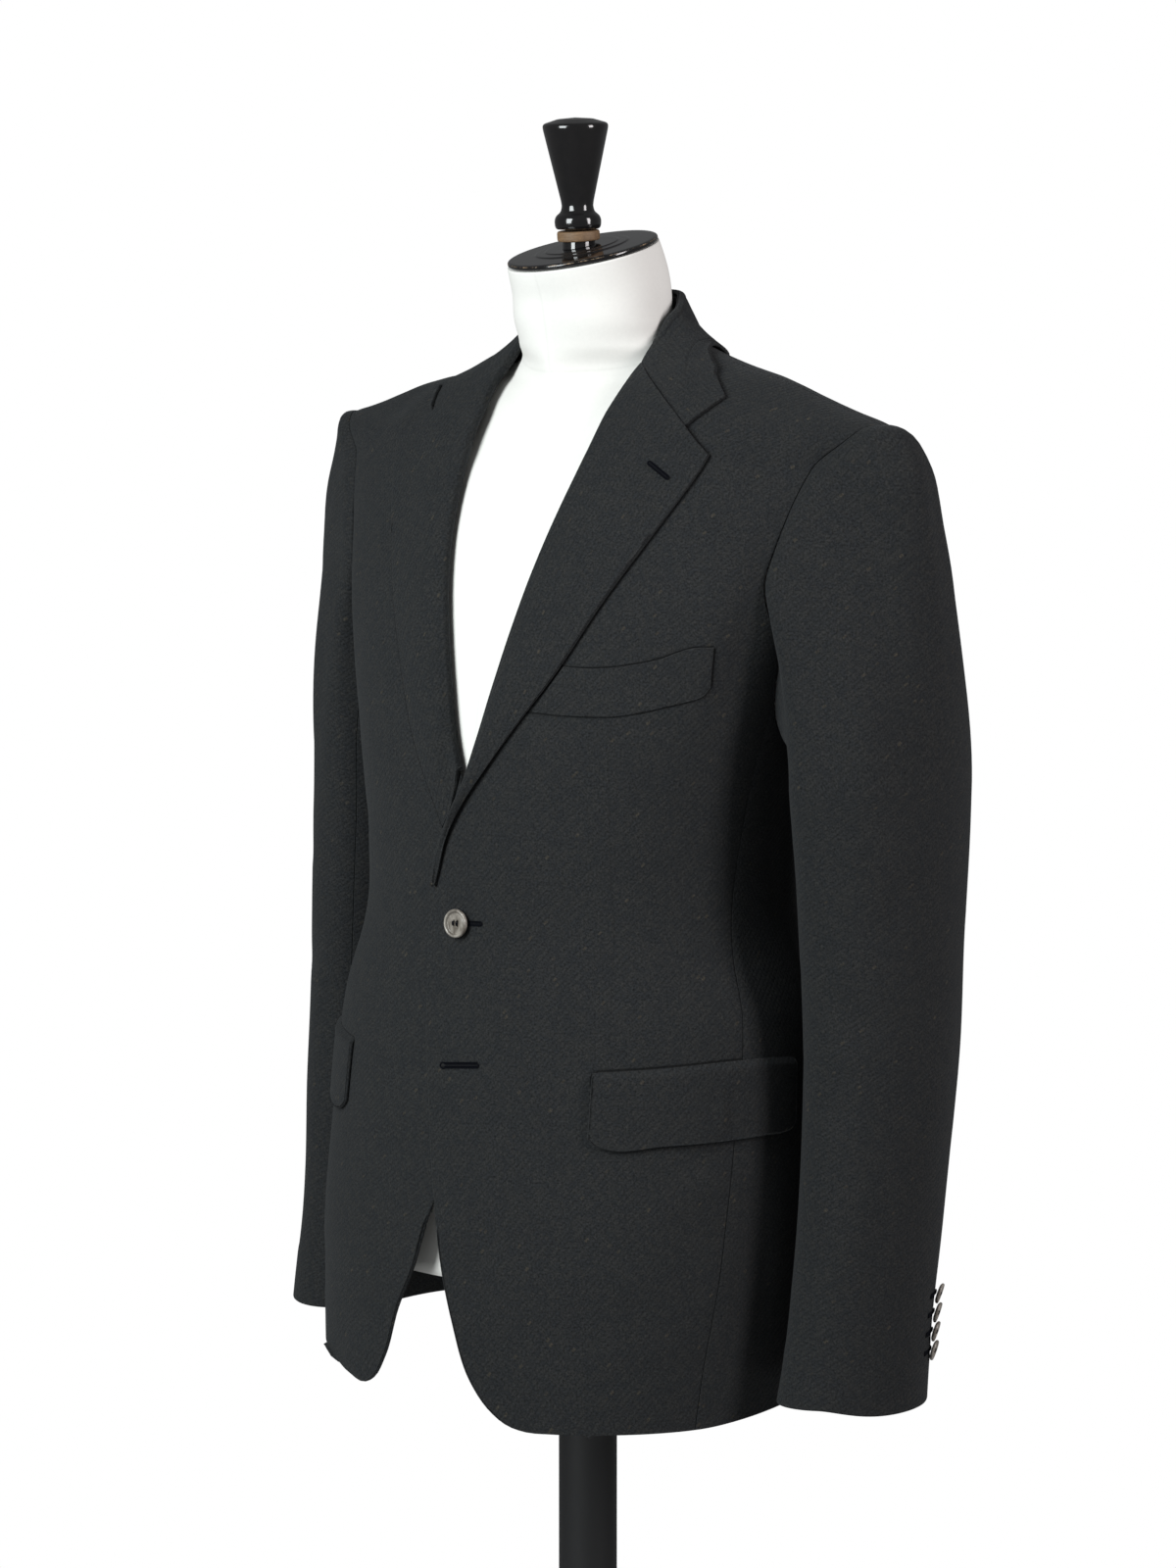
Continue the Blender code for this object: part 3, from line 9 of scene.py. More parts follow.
import bpy
import numpy as np
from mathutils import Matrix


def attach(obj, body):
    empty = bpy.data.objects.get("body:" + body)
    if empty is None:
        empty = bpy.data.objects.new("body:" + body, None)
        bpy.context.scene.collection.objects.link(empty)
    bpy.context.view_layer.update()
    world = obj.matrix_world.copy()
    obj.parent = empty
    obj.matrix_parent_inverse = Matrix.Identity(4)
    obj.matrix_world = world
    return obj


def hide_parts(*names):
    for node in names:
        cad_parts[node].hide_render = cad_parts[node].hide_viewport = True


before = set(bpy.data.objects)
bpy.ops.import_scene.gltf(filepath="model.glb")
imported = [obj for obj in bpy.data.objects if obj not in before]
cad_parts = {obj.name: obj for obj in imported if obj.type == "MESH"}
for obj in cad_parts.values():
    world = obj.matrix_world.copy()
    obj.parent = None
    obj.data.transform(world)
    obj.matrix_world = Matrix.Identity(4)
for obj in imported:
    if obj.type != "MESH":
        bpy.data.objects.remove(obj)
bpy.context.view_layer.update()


# ---------------------------------------------------------------- driving dimensions, as in the CAD model
CLOTH = 0.0026  # thickness of the faced wool cloth
SEAM_GAP = 0.0004  # air between pieces at a seam
LAPEL_CLOTH = 0.0028
HEM_FRONTS = {1: 0.761, -1: 0.785}  # height of the hem at the left front and at the right one
HEM_BACK = 0.784
HEM_LEANS = {1: -0.005, -1: 0.002}  # how much higher the hem is at each side seam
SHOULDER_POINT = 1.434
NECK_POINT = 1.498
NAPE = 1.479
ARMPIT = 1.222
BUTTON_PLACE = (0.0018, 1.0955)  # across and height
FOLD_ROOM = 0.0033  # how far the roll line stands out past the front it is folded over
FULL_TURN = 2 * math.pi
SIDE = math.pi / 2
# The worn surface, a section for each height. Side is where its widest point lies along Y, and the
# powers say how square its corners are.
SECTION_COLUMNS = ("height", "half_width", "front", "back", "side", "front_power", "back_power")
BODY_ROWS = (
    (0.740, 0.1770, -0.174, 0.141, 0.000, 2.30, 2.35),
    (0.800, 0.1800, -0.172, 0.139, 0.000, 2.30, 2.35),
    (0.870, 0.1855, -0.166, 0.136, 0.000, 2.30, 2.35),
    (0.950, 0.1845, -0.154, 0.130, 0.002, 2.28, 2.30),
    (1.030, 0.1797, -0.143, 0.114, 0.005, 2.25, 2.25),
    (1.096, 0.1600, -0.135, 0.102, 0.008, 2.25, 2.25),
    (1.160, 0.1615, -0.132, 0.108, 0.010, 2.35, 2.30),
    (1.220, 0.1695, -0.126, 0.120, 0.013, 2.50, 2.40),
    (1.270, 0.1820, -0.116, 0.126, 0.016, 2.50, 2.45),
    (1.320, 0.2010, -0.102, 0.126, 0.018, 2.30, 2.40),
    (1.370, 0.2190, -0.084, 0.121, 0.019, 1.95, 2.30),
    (1.405, 0.2290, -0.0695, 0.113, 0.020, 1.72, 2.10),
    (1.434, 0.2340, -0.056, 0.101, 0.020, 1.55, 1.90),
    (1.443, 0.2140, -0.0515, 0.097, 0.020, 1.50, 1.80),
    (1.455, 0.1860, -0.045, 0.091, 0.020, 1.45, 1.75),
    (1.467, 0.1540, -0.0375, 0.085, 0.020, 1.40, 1.70),
    (1.476, 0.1180, -0.030, 0.081, 0.020, 1.42, 1.70),
    (1.486, 0.0870, -0.022, 0.075, 0.020, 1.50, 1.72),
    (1.498, 0.0690, -0.013, 0.067, 0.020, 1.65, 1.78),
    (1.512, 0.0600, -0.004, 0.060, 0.020, 1.80, 1.80),
)
POWER_BLEND = 0.35  # how far each side of the side line the front and back powers mix
CORNER_SOFTNESS = 0.05
# The edge of each front from the hem to the break. Across is from the centre towards that side.
EDGE_COLUMNS = ("across", "height")
LEFT_EDGE_ROWS = (
    (0.1163, 0.7614), (0.0941, 0.7611), (0.0780, 0.7614), (0.0665, 0.7645), (0.0535, 0.7735),
    (0.0388, 0.7915), (0.0219, 0.8315), (0.0112, 0.8630), (0.0003, 0.9056), (-0.0071, 0.9375),
    (-0.0141, 0.9760), (-0.0207, 1.0125), (-0.0242, 1.0530), (-0.0262, 1.0935), (-0.0217, 1.1180),
)
RIGHT_EDGE_ROWS = (
    (0.1180, 0.7865), (0.0990, 0.7815), (0.0790, 0.7765), (0.0643, 0.7745), (0.0525, 0.7800),
    (0.0412, 0.7965), (0.0296, 0.8319), (0.0168, 0.8610), (0.0075, 0.8950), (-0.0060, 0.9350),
    (-0.0141, 0.9760), (-0.0207, 1.0125), (-0.0242, 1.0530), (-0.0262, 1.0935), (-0.0217, 1.1180),
)
# The lines that the lapels fold back along, from the break to the collar.
LEFT_ROLL_ROWS = (
    (-0.0250, 1.1180), (-0.0225, 1.1355), (-0.0122, 1.1635), (0.0012, 1.1930), (0.0082, 1.2155),
    (0.0165, 1.2545), (0.0228, 1.2885), (0.0287, 1.3180), (0.0366, 1.3545), (0.0495, 1.4125),
    (0.0543, 1.4440), (0.0590, 1.4740),
)
RIGHT_ROLL_ROWS = (
    (-0.0250, 1.1180), (-0.0209, 1.1355), (-0.0103, 1.1635), (0.0010, 1.1930), (0.0092, 1.2155),
    (0.0208, 1.2545), (0.0311, 1.2885), (0.0397, 1.3180), (0.0478, 1.3545), (0.0530, 1.4125),
    (0.0545, 1.4460), (0.0590, 1.4740),
)
FRONT_EDGES = {1: LEFT_EDGE_ROWS, -1: RIGHT_EDGE_ROWS}
ROLLS = {1: LEFT_ROLL_ROWS, -1: RIGHT_ROLL_ROWS}
ROLL_TOP = LEFT_ROLL_ROWS[-1]  # where both meet the collar
# The lapel's outer edge from its lower end to its tip. The right lapel starts under the left one.
LEFT_LAPEL_ROWS = (
    (-0.0218, 1.1185), (-0.0170, 1.1270), (-0.0098, 1.1510), (0.0012, 1.1723), (0.0209, 1.2001),
    (0.0470, 1.2378), (0.0630, 1.2612), (0.0931, 1.3164), (0.1097, 1.3466), (0.1232, 1.3729),
    (0.1365, 1.4011), (0.1400, 1.4112),
)
RIGHT_LAPEL_ROWS = (
    (0.0180, 1.1573), (0.0332, 1.1868), (0.0533, 1.2238), (0.0647, 1.2498), (0.0923, 1.3107),
    (0.1156, 1.3631), (0.1304, 1.3990), (0.1350, 1.4147),
)
LEFT_LAPEL_FOOT = ((-0.0249, 1.1185), (-0.0218, 1.1185))
RIGHT_LAPEL_FOOT = ((0.0022, 1.1960), (0.0128, 1.1670), (0.0180, 1.1573))
NOTCHES = {"left": (0.1179, 1.4311), "right": (0.1060, 1.4383)}  # across and height
COLLAR_TIPS = {"left": (0.1328, 1.4529), "right": (0.1200, 1.4616)}
ARMHOLE_FRONT = 0.505  # how far the armhole reaches round the body from the side line, radians
ARMHOLE_DRAWN = 0.220  # how much less it reaches low at the front
ARMHOLE_BACK = 0.560
ARMHOLE_SHAPE = 0.62
FRONT_JOIN = 0.75  # where the side panel's seams meet the armhole, radians up its curve
BACK_JOIN = 1.15
BACK_SEAM_HEM_TURN = math.radians(115)
FRONT_SEAM_HEM_TURN = math.radians(62)


# ---------------------------------------------------------------- the worn surface
def columns_of(names, rows):
    return dict(zip(names, np.array(rows, float).T))


BODY = columns_of(SECTION_COLUMNS, BODY_ROWS)


def along(table, column, at, key="height"):
    """A smooth value of one column of a table, at places along its key column."""
    keys, values = table[key], table[column]
    slopes = np.gradient(values, keys)
    at = np.clip(at, keys[0], keys[-1])
    low = np.clip(np.searchsorted(keys, at) - 1, 0, len(keys) - 2)
    span = keys[low + 1] - keys[low]
    t = (at - keys[low]) / span
    return (
        values[low] * (1 + 2 * t) * (1 - t) ** 2
        + slopes[low] * span * t * (1 - t) ** 2
        + values[low + 1] * t**2 * (3 - 2 * t)
        + slopes[low + 1] * span * t**2 * (t - 1)
    )


def smoothstep(t):
    t = np.clip(t, 0, 1)
    return t * t * (3 - 2 * t)


def section_point(table, turn, height):
    """A point of a surface given by sections. Turn is 0 at centre front, 90 degrees at the left."""
    turn, height = np.broadcast_arrays(np.asarray(turn, float), np.asarray(height, float))
    value = {name: along(table, name, height) for name in SECTION_COLUMNS[1:]}
    sine, cosine = np.sin(turn), np.cos(turn)
    in_front = smoothstep((cosine + POWER_BLEND) / (2 * POWER_BLEND))
    power = value["back_power"] * (1 - in_front) + value["front_power"] * in_front
    behind, ahead = value["back"] - value["side"], value["side"] - value["front"]
    depth = behind * (1 - in_front) + ahead * in_front
    sine_size = np.sqrt(sine**2 + CORNER_SOFTNESS**2)
    cosine_size = np.sqrt(cosine**2 + CORNER_SOFTNESS**2)
    reach = (sine_size**power + cosine_size**power) ** (-1 / power)
    across, along_y = value["half_width"] * reach * sine, value["side"] - depth * reach * cosine
    return np.stack([across, along_y, height], -1)


def body_point(turn, height):
    """A point of the coat's outer face."""
    return section_point(BODY, turn, height)


def body_normal(turn, height):
    """The direction out of the cloth at a place on the worn surface."""
    step = 1e-4
    round_body = body_point(turn + step, height) - body_point(turn - step, height)
    upward = body_point(turn, height + step) - body_point(turn, height - step)
    normal = np.cross(round_body, upward)
    return normal / np.linalg.norm(normal, axis=-1, keepdims=True)


def turn_at(across, height):
    """The turn, on the front, at which the worn surface lies that far across from the centre."""
    turns = np.linspace(-SIDE, SIDE, 721)
    across, height = np.broadcast_arrays(np.asarray(across, float), np.asarray(height, float))
    found = [
        np.interp(x, body_point(turns, z)[:, 0], turns)
        for x, z in zip(across.ravel(), height.ravel())
    ]
    return np.array(found).reshape(across.shape)


# ---------------------------------------------------------------- curves and patches of places
def smooth_curve(rows, count):
    """Points evenly spaced along a smooth curve through the rows."""
    rows = np.array(rows, float)
    steps = np.r_[0, np.cumsum(np.linalg.norm(np.diff(rows, axis=0), axis=1))]
    table = {"at": steps, **{str(k): rows[:, k] for k in range(rows.shape[1])}}
    dense = np.linspace(0, steps[-1], 400)
    line = np.stack([along(table, str(k), dense, "at") for k in range(rows.shape[1])], -1)
    return spread_evenly(line, count)


def spread_evenly(line, count):
    steps = np.r_[0, np.cumsum(np.linalg.norm(np.diff(line, axis=0), axis=1))]
    at = np.linspace(0, steps[-1], count)
    return np.stack([np.interp(at, steps, line[:, k]) for k in range(line.shape[1])], -1)


def patch(bottom, top, left, right):
    """A grid of places between four edges, rows from bottom to top and columns from left to right."""
    u = np.linspace(0, 1, len(bottom))[None, :, None]
    v = np.linspace(0, 1, len(left))[:, None, None]
    ruled = bottom[None] * (1 - v) + top[None] * v + left[:, None] * (1 - u) + right[:, None] * u
    corners = (bottom[0] * (1 - u) + bottom[-1] * u) * (1 - v) + (top[0] * (1 - u) + top[-1] * u) * v
    return ruled - corners


def places(turns, heights):
    return np.stack(np.broadcast_arrays(np.asarray(turns, float), np.asarray(heights, float)), -1)


def hem_height(turn, side):
    """The left front, which is the outer one, hangs lowest."""
    turn = np.asarray(turn, float)
    share = (1 - np.cos(turn)) / 2
    lean = HEM_LEANS[side] * np.sin(turn) * smoothstep((turn - 0.6) / 0.6)
    return HEM_FRONTS[side] + (HEM_BACK - HEM_FRONTS[side]) * smoothstep(share) + lean


def armhole(sweep, reach):
    """Places on the armhole: sweep runs from 0 at the armpit to pi at the shoulder point."""
    middle, half = (SHOULDER_POINT + ARMPIT) / 2, (SHOULDER_POINT - ARMPIT) / 2
    bulge = np.clip(np.sin(sweep), 0, 1) ** ARMHOLE_SHAPE
    if reach < 0:
        reach = reach + ARMHOLE_DRAWN * (1 - smoothstep((sweep - 0.95) / 0.70))
    return places(SIDE + reach * bulge, middle - half * np.cos(sweep))


def evenly_on_body(line, count):
    """Places evenly spaced over the cloth along a line of places."""
    steps = np.linalg.norm(np.diff(body_point(line[:, 0], line[:, 1]), axis=0), axis=1)
    at = np.r_[0, np.cumsum(steps)]
    even = np.linspace(0, at[-1], count)
    return np.stack([np.interp(even, at, line[:, k]) for k in (0, 1)], -1)


def front_armhole(count):
    """From the front seam up to the shoulder point."""
    return evenly_on_body(armhole(np.linspace(FRONT_JOIN, math.pi, 300), -ARMHOLE_FRONT), count)


def back_armhole(count):
    """From the back seam up to the shoulder point."""
    return evenly_on_body(armhole(np.linspace(BACK_JOIN, math.pi, 300), ARMHOLE_BACK), count)


def under_armhole(count):
    """The armhole's lowest stretch, from the front seam to the back seam."""
    signed = np.linspace(-FRONT_JOIN, BACK_JOIN, 300)
    front = armhole(np.abs(signed), -ARMHOLE_FRONT)
    back = armhole(np.abs(signed), ARMHOLE_BACK)
    return evenly_on_body(np.where(signed[:, None] < 0, front, back), count)


def as_places(rows):
    """Rows of (across, height) on the front, as (turn, height)."""
    edge = columns_of(EDGE_COLUMNS, rows)
    return places(turn_at(edge["across"], edge["height"]), edge["height"])


def seam_down(hem_turn, join, reach, count, side):
    """The side panel's seam from the hem up to the armhole."""
    top = armhole(np.array([join]), reach)[0]
    rise = np.linspace(0, 1, count)
    turns = hem_turn + (top[0] - hem_turn) * rise
    low = hem_height(hem_turn, side)
    return places(turns, low + (top[1] - low) * rise)


def front_edge(count, side):
    """The front's edge from the hem, up under the lapel's fold, and on along the neck."""
    roll = smooth_curve(ROLLS[side], 200)
    roll[:, 0] += FOLD_ROOM
    edge = as_places(np.concatenate([smooth_curve(FRONT_EDGES[side], 200), roll[1:]]))
    neck = np.linspace(edge[-1], (SIDE, NECK_POINT), 60)
    return evenly_on_body(np.concatenate([edge, neck[1:]]), count)


def front_places(rows_lower, rows_armhole, columns, side):
    left = front_edge(rows_lower + rows_armhole + 1, side)
    seam = seam_down(FRONT_SEAM_HEM_TURN, FRONT_JOIN, -ARMHOLE_FRONT, rows_lower + 1, side)
    right = np.concatenate([seam, front_armhole(rows_armhole + 1)[1:]])
    hem_turns = np.linspace(left[0, 0], right[0, 0], columns)
    bottom = places(hem_turns, np.linspace(left[0, 1], right[0, 1], columns))
    top = places(SIDE, np.linspace(NECK_POINT, SHOULDER_POINT, columns))
    return patch(bottom, top, left, right)


def side_places(rows_lower, columns, side):
    left = seam_down(FRONT_SEAM_HEM_TURN, FRONT_JOIN, -ARMHOLE_FRONT, rows_lower + 1, side)
    right = seam_down(BACK_SEAM_HEM_TURN, BACK_JOIN, ARMHOLE_BACK, rows_lower + 1, side)
    top = under_armhole(columns)
    hem_turns = np.linspace(left[0, 0], right[0, 0], columns)
    return patch(places(hem_turns, hem_height(hem_turns, side)), top, left, right)


def neckline(count):
    """The back neck seam from the neck point to the nape."""
    share = np.linspace(0, 1, count)
    return places(SIDE + SIDE * share, NECK_POINT + (NAPE - NECK_POINT) * smoothstep(share))


def back_places(rows_lower, rows_armhole, columns, side):
    """The shoulder seam is its top, and the neckline carries on from the centre back."""
    seam = seam_down(BACK_SEAM_HEM_TURN, BACK_JOIN, ARMHOLE_BACK, rows_lower + 1, side)
    left = np.concatenate([seam, back_armhole(rows_armhole + 1)[1:]])
    hem_turns = np.linspace(left[0, 0], math.pi, columns)
    bottom = places(hem_turns, hem_height(hem_turns, side))
    neck_rows = round(rows_armhole * 0.4)
    lower = places(math.pi, np.linspace(bottom[-1, 1], seam[-1, 1], rows_lower + 1))
    upper = places(math.pi, np.linspace(seam[-1, 1], NAPE, rows_armhole - neck_rows + 1))
    right = np.concatenate([lower, upper[1:], neckline(neck_rows + 1)[::-1][1:]])
    top = places(SIDE, np.linspace(SHOULDER_POINT, NECK_POINT, columns))
    return patch(bottom, top, left, right)


OVERLAP_LIFT = 0.0036  # how far the left front stands off the right one at the centre
OVERLAP_REACH = 0.075  # how far across it takes to come back


def front_lift(grid_places, side):
    """The left front rides over the right one, up to where their lapels part."""
    if side < 0:
        return np.zeros(grid_places.shape[:-1])
    across = body_point(grid_places[..., 0], grid_places[..., 1])[..., 0]
    apart = smoothstep((grid_places[..., 1] - 1.19) / 0.12)
    return OVERLAP_LIFT * (1 - smoothstep((across - 0.02) / OVERLAP_REACH)) * (1 - apart)


def unit(vectors):
    return vectors / np.linalg.norm(vectors, axis=-1, keepdims=True)


def ruled(bottom, top, rows):
    share = np.linspace(0, 1, rows)[:, None, None]
    return bottom[None] * (1 - share) + top[None] * share


# ---------------------------------------------------------------- how the coat hangs
# How far its shoulders and collar hang below the even shape, across from the wearer's right to left.
SETTLE_COLUMNS = ("across", "drop")
SETTLE_ROWS = (
    (-0.245, 0.0040), (-0.230, 0.0070), (-0.205, 0.0105), (-0.170, 0.0130), (-0.120, 0.0160),
    (-0.085, 0.0130), (0.000, 0.0095), (0.070, 0.0060), (0.150, 0.0065), (0.185, 0.0055),
    (0.215, 0.0030), (0.245, 0.0010), (0.265, 0.0000),
)
SETTLE = columns_of(SETTLE_COLUMNS, SETTLE_ROWS)
SETTLE_FROM = (1.405, 0.030)  # the height it starts at, and how much lower that is over the arms
SETTLE_BLEND = 0.075
ARM_OUT = (0.0030, 0.0050)  # how far the left sleeve stands out, and its head beyond that
ARM_IN = 0.0065  # how far the right sleeve's head lies in
CUFF_LEVEL = 0.007  # how far the left cuff's outer side hangs down
CUFF_RAISED = 0.006  # how much higher the right cuff is
AHEAD_COLUMNS = ("height", "ahead")  # how far forward the front of the left sleeve is
AHEAD_ROWS = (
    (0.800, 0.0010), (0.860, 0.0045), (0.940, 0.0050), (1.020, 0.0050), (1.090, 0.0045),
    (1.130, 0.0065), (1.165, 0.0095), (1.195, 0.0110), (1.225, 0.0090), (1.260, 0.0040),
    (1.300, 0.0000),
)
AHEAD = columns_of(AHEAD_COLUMNS, AHEAD_ROWS)


def settled(points):
    """The coat's even shape, moved as it hangs: the right shoulder lower, the left arm further out."""
    x, y, z = np.moveaxis(np.asarray(points, float), -1, 0)
    start = SETTLE_FROM[0] - SETTLE_FROM[1] * smoothstep((np.abs(x) - 0.135) / 0.04)
    drop = along(SETTLE, "drop", x, "across") * smoothstep((z - start) / SETTLE_BLEND)
    at_head = np.exp(-(((z - 1.405) / 0.028) ** 2))
    low = smoothstep((0.90 - z) / 0.12)
    out = (ARM_OUT[0] * (1 - low) + ARM_OUT[1] * at_head) * smoothstep((x - 0.205) / 0.05)
    out += ARM_IN * at_head * smoothstep((-x - 0.205) / 0.05)
    level = CUFF_LEVEL * low * smoothstep((x - 0.236) / 0.034)
    raised = CUFF_RAISED * low * smoothstep((-x - 0.184) / 0.02)
    ahead = along(AHEAD, "ahead", z) * smoothstep((x - 0.176) / 0.022) * smoothstep((0.045 - y) / 0.06)
    return np.stack([x + out, y - ahead, z - drop - level + raised], -1)


# ---------------------------------------------------------------- meshes from grids
def quads_of(rows, columns):
    index = np.arange(rows * columns).reshape(rows, columns)
    corners = index[:-1, :-1], index[:-1, 1:], index[1:, 1:], index[1:, :-1]
    return np.stack(corners, -1).reshape(-1, 4)


def outline_of(rows, columns):
    """The indices round the edge of a grid, in order."""
    index = np.arange(rows * columns).reshape(rows, columns)
    return np.concatenate([index[0, :-1], index[:-1, -1], index[-1, :0:-1], index[:0:-1, 0]])


def volume(points, quads):
    a, b, c, d = (points[quads[:, k]] for k in range(4))
    return float((np.cross(a, b) * c).sum() + (np.cross(a, c) * d).sum())


def object_of(name, points, quads, look, cut=None, measures=None):
    """A smooth mesh object. Cut places each point in its flat cloth, and measures are named values."""
    if volume(points, quads) < 0:
        quads = quads[:, ::-1]
    mesh = bpy.data.meshes.new(name)
    mesh.vertices.add(len(points))
    mesh.vertices.foreach_set("co", np.ascontiguousarray(points, np.float32).ravel())
    mesh.loops.add(quads.size)
    mesh.loops.foreach_set("vertex_index", np.ascontiguousarray(quads, np.int32).ravel())
    mesh.polygons.add(len(quads))
    mesh.polygons.foreach_set("loop_start", np.arange(0, quads.size, 4, dtype=np.int32))
    mesh.polygons.foreach_set("use_smooth", np.ones(len(quads), bool))
    if cut is not None:
        layer = mesh.uv_layers.new(name="cut")
        layer.data.foreach_set("uv", np.ascontiguousarray(cut[quads.ravel()], np.float32).ravel())
    for key, values in (measures or {}).items():
        attribute = mesh.attributes.new(key, "FLOAT", "POINT")
        attribute.data.foreach_set("value", np.ascontiguousarray(values, np.float32))
    mesh.update(calc_edges=True)
    made = bpy.data.objects.new(name, mesh)
    bpy.context.scene.collection.objects.link(made)
    made.data.materials.append(look)
    return made


def merged(parts):
    """One set of points and quads from several."""
    start = np.cumsum([0] + [len(points) for points, _ in parts[:-1]])
    points = np.concatenate([points for points, _ in parts])
    return points, np.concatenate([quads + first for (_, quads), first in zip(parts, start)])


def own(piece, slot, *nodes):
    """The piece rides with the object and stands for the nodes, which are hidden. The slot is not used."""
    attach(piece, "root")
    if nodes:
        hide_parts(*nodes)
    return piece


# ---------------------------------------------------------------- cloth walls with rounded rims
RIM_STEPS = 5
SEAM_ROUND = 0.00035
FREE_ROUND = 0.0012
MARGIN = 0.35  # where the added line beside each edge lies, as a share of the first cell


def margined(values):
    """The grid with one more line close to each edge, which keeps the rim's shading to the rim."""
    for axis in (0, 1):
        values = np.swapaxes(values, 0, axis)
        low = values[:1] + (values[1:2] - values[:1]) * MARGIN
        high = values[-1:] + (values[-2:-1] - values[-1:]) * MARGIN
        values = np.concatenate([values[:1], low, values[1:-1], high, values[-1:]])
        values = np.swapaxes(values, 0, axis)
    return values


def inset(grid, gaps):
    """The grid with its first row, last row, first and last column drawn in by the gaps."""
    made = grid.copy()
    for edge, inner, rows_gap, columns_gap in ((0, 1, gaps[0], gaps[2]), (-1, -2, gaps[1], gaps[3])):
        made[edge] += shift(grid[inner] - grid[edge], rows_gap)
        made[:, edge] += shift(grid[:, inner] - grid[:, edge], columns_gap)
    return made


def shift(towards, gap):
    length = np.linalg.norm(towards, axis=-1, keepdims=True)
    return towards / np.maximum(length, 1e-9) * gap


def shell(face, inward, cut, thickness, gaps, rounds, measures):
    """A closed cloth wall. Face is its outer side, and inward the direction into the cloth."""
    thickness = np.broadcast_to(thickness, face.shape[:2])[..., None]
    face, inward, cut, thickness = (margined(v) for v in (face, inward, cut, thickness))
    measures = {key: margined(v[..., None]).ravel() for key, v in measures.items()}
    rows, columns = face.shape[:2]
    flat = cut.shape[-1]
    both = [inset(face, gaps), inset(cut, gaps)]
    drawn = [gap + size for gap, size in zip(gaps, rounds)]
    within = [inset(face, drawn), inset(cut, drawn)]
    rim = outline_of(rows, columns)
    edge, edge_cut = both[0].reshape(-1, 3)[rim], both[1].reshape(-1, flat)[rim]
    start, start_cut = within[0].reshape(-1, 3)[rim], within[1].reshape(-1, flat)[rim]
    depth = (inward * thickness).reshape(-1, 3)[rim]
    outer, inner = within[0].reshape(-1, 3), (within[0] + inward * thickness).reshape(-1, 3)
    points, places_cut = [outer], [within[1].reshape(-1, flat)]
    loops = [rim]
    for angle in np.linspace(0, math.pi, RIM_STEPS + 1)[1:-1]:
        loops.append(np.arange(len(rim)) + sum(len(p) for p in points))
        points.append(start + (edge - start) * math.sin(angle) + depth * (1 - math.cos(angle)) / 2)
        places_cut.append(start_cut + (edge_cut - start_cut) * angle)
    behind = sum(len(p) for p in points)
    points.append(inner)
    places_cut.append(within[1].reshape(-1, flat))
    loops.append(rim + behind)
    quads = [quads_of(rows, columns), quads_of(rows, columns)[:, ::-1] + behind]
    for a, b in zip(loops, loops[1:]):
        quads.append(np.stack([np.roll(a, -1), a, b, np.roll(b, -1)], -1))
    spread = {}
    for key, values in measures.items():
        rims = [values[rim]] * (RIM_STEPS - 1)
        spread[key] = np.concatenate([values, *rims, values])
    return np.concatenate(points), np.concatenate(quads), np.concatenate(places_cut), spread


# ---------------------------------------------------------------- the flat cut of a curved cloth
CUT_LINES = 22  # at most this many of a grid's rows, and of its columns, are laid flat
CUT_ROUNDS = 40


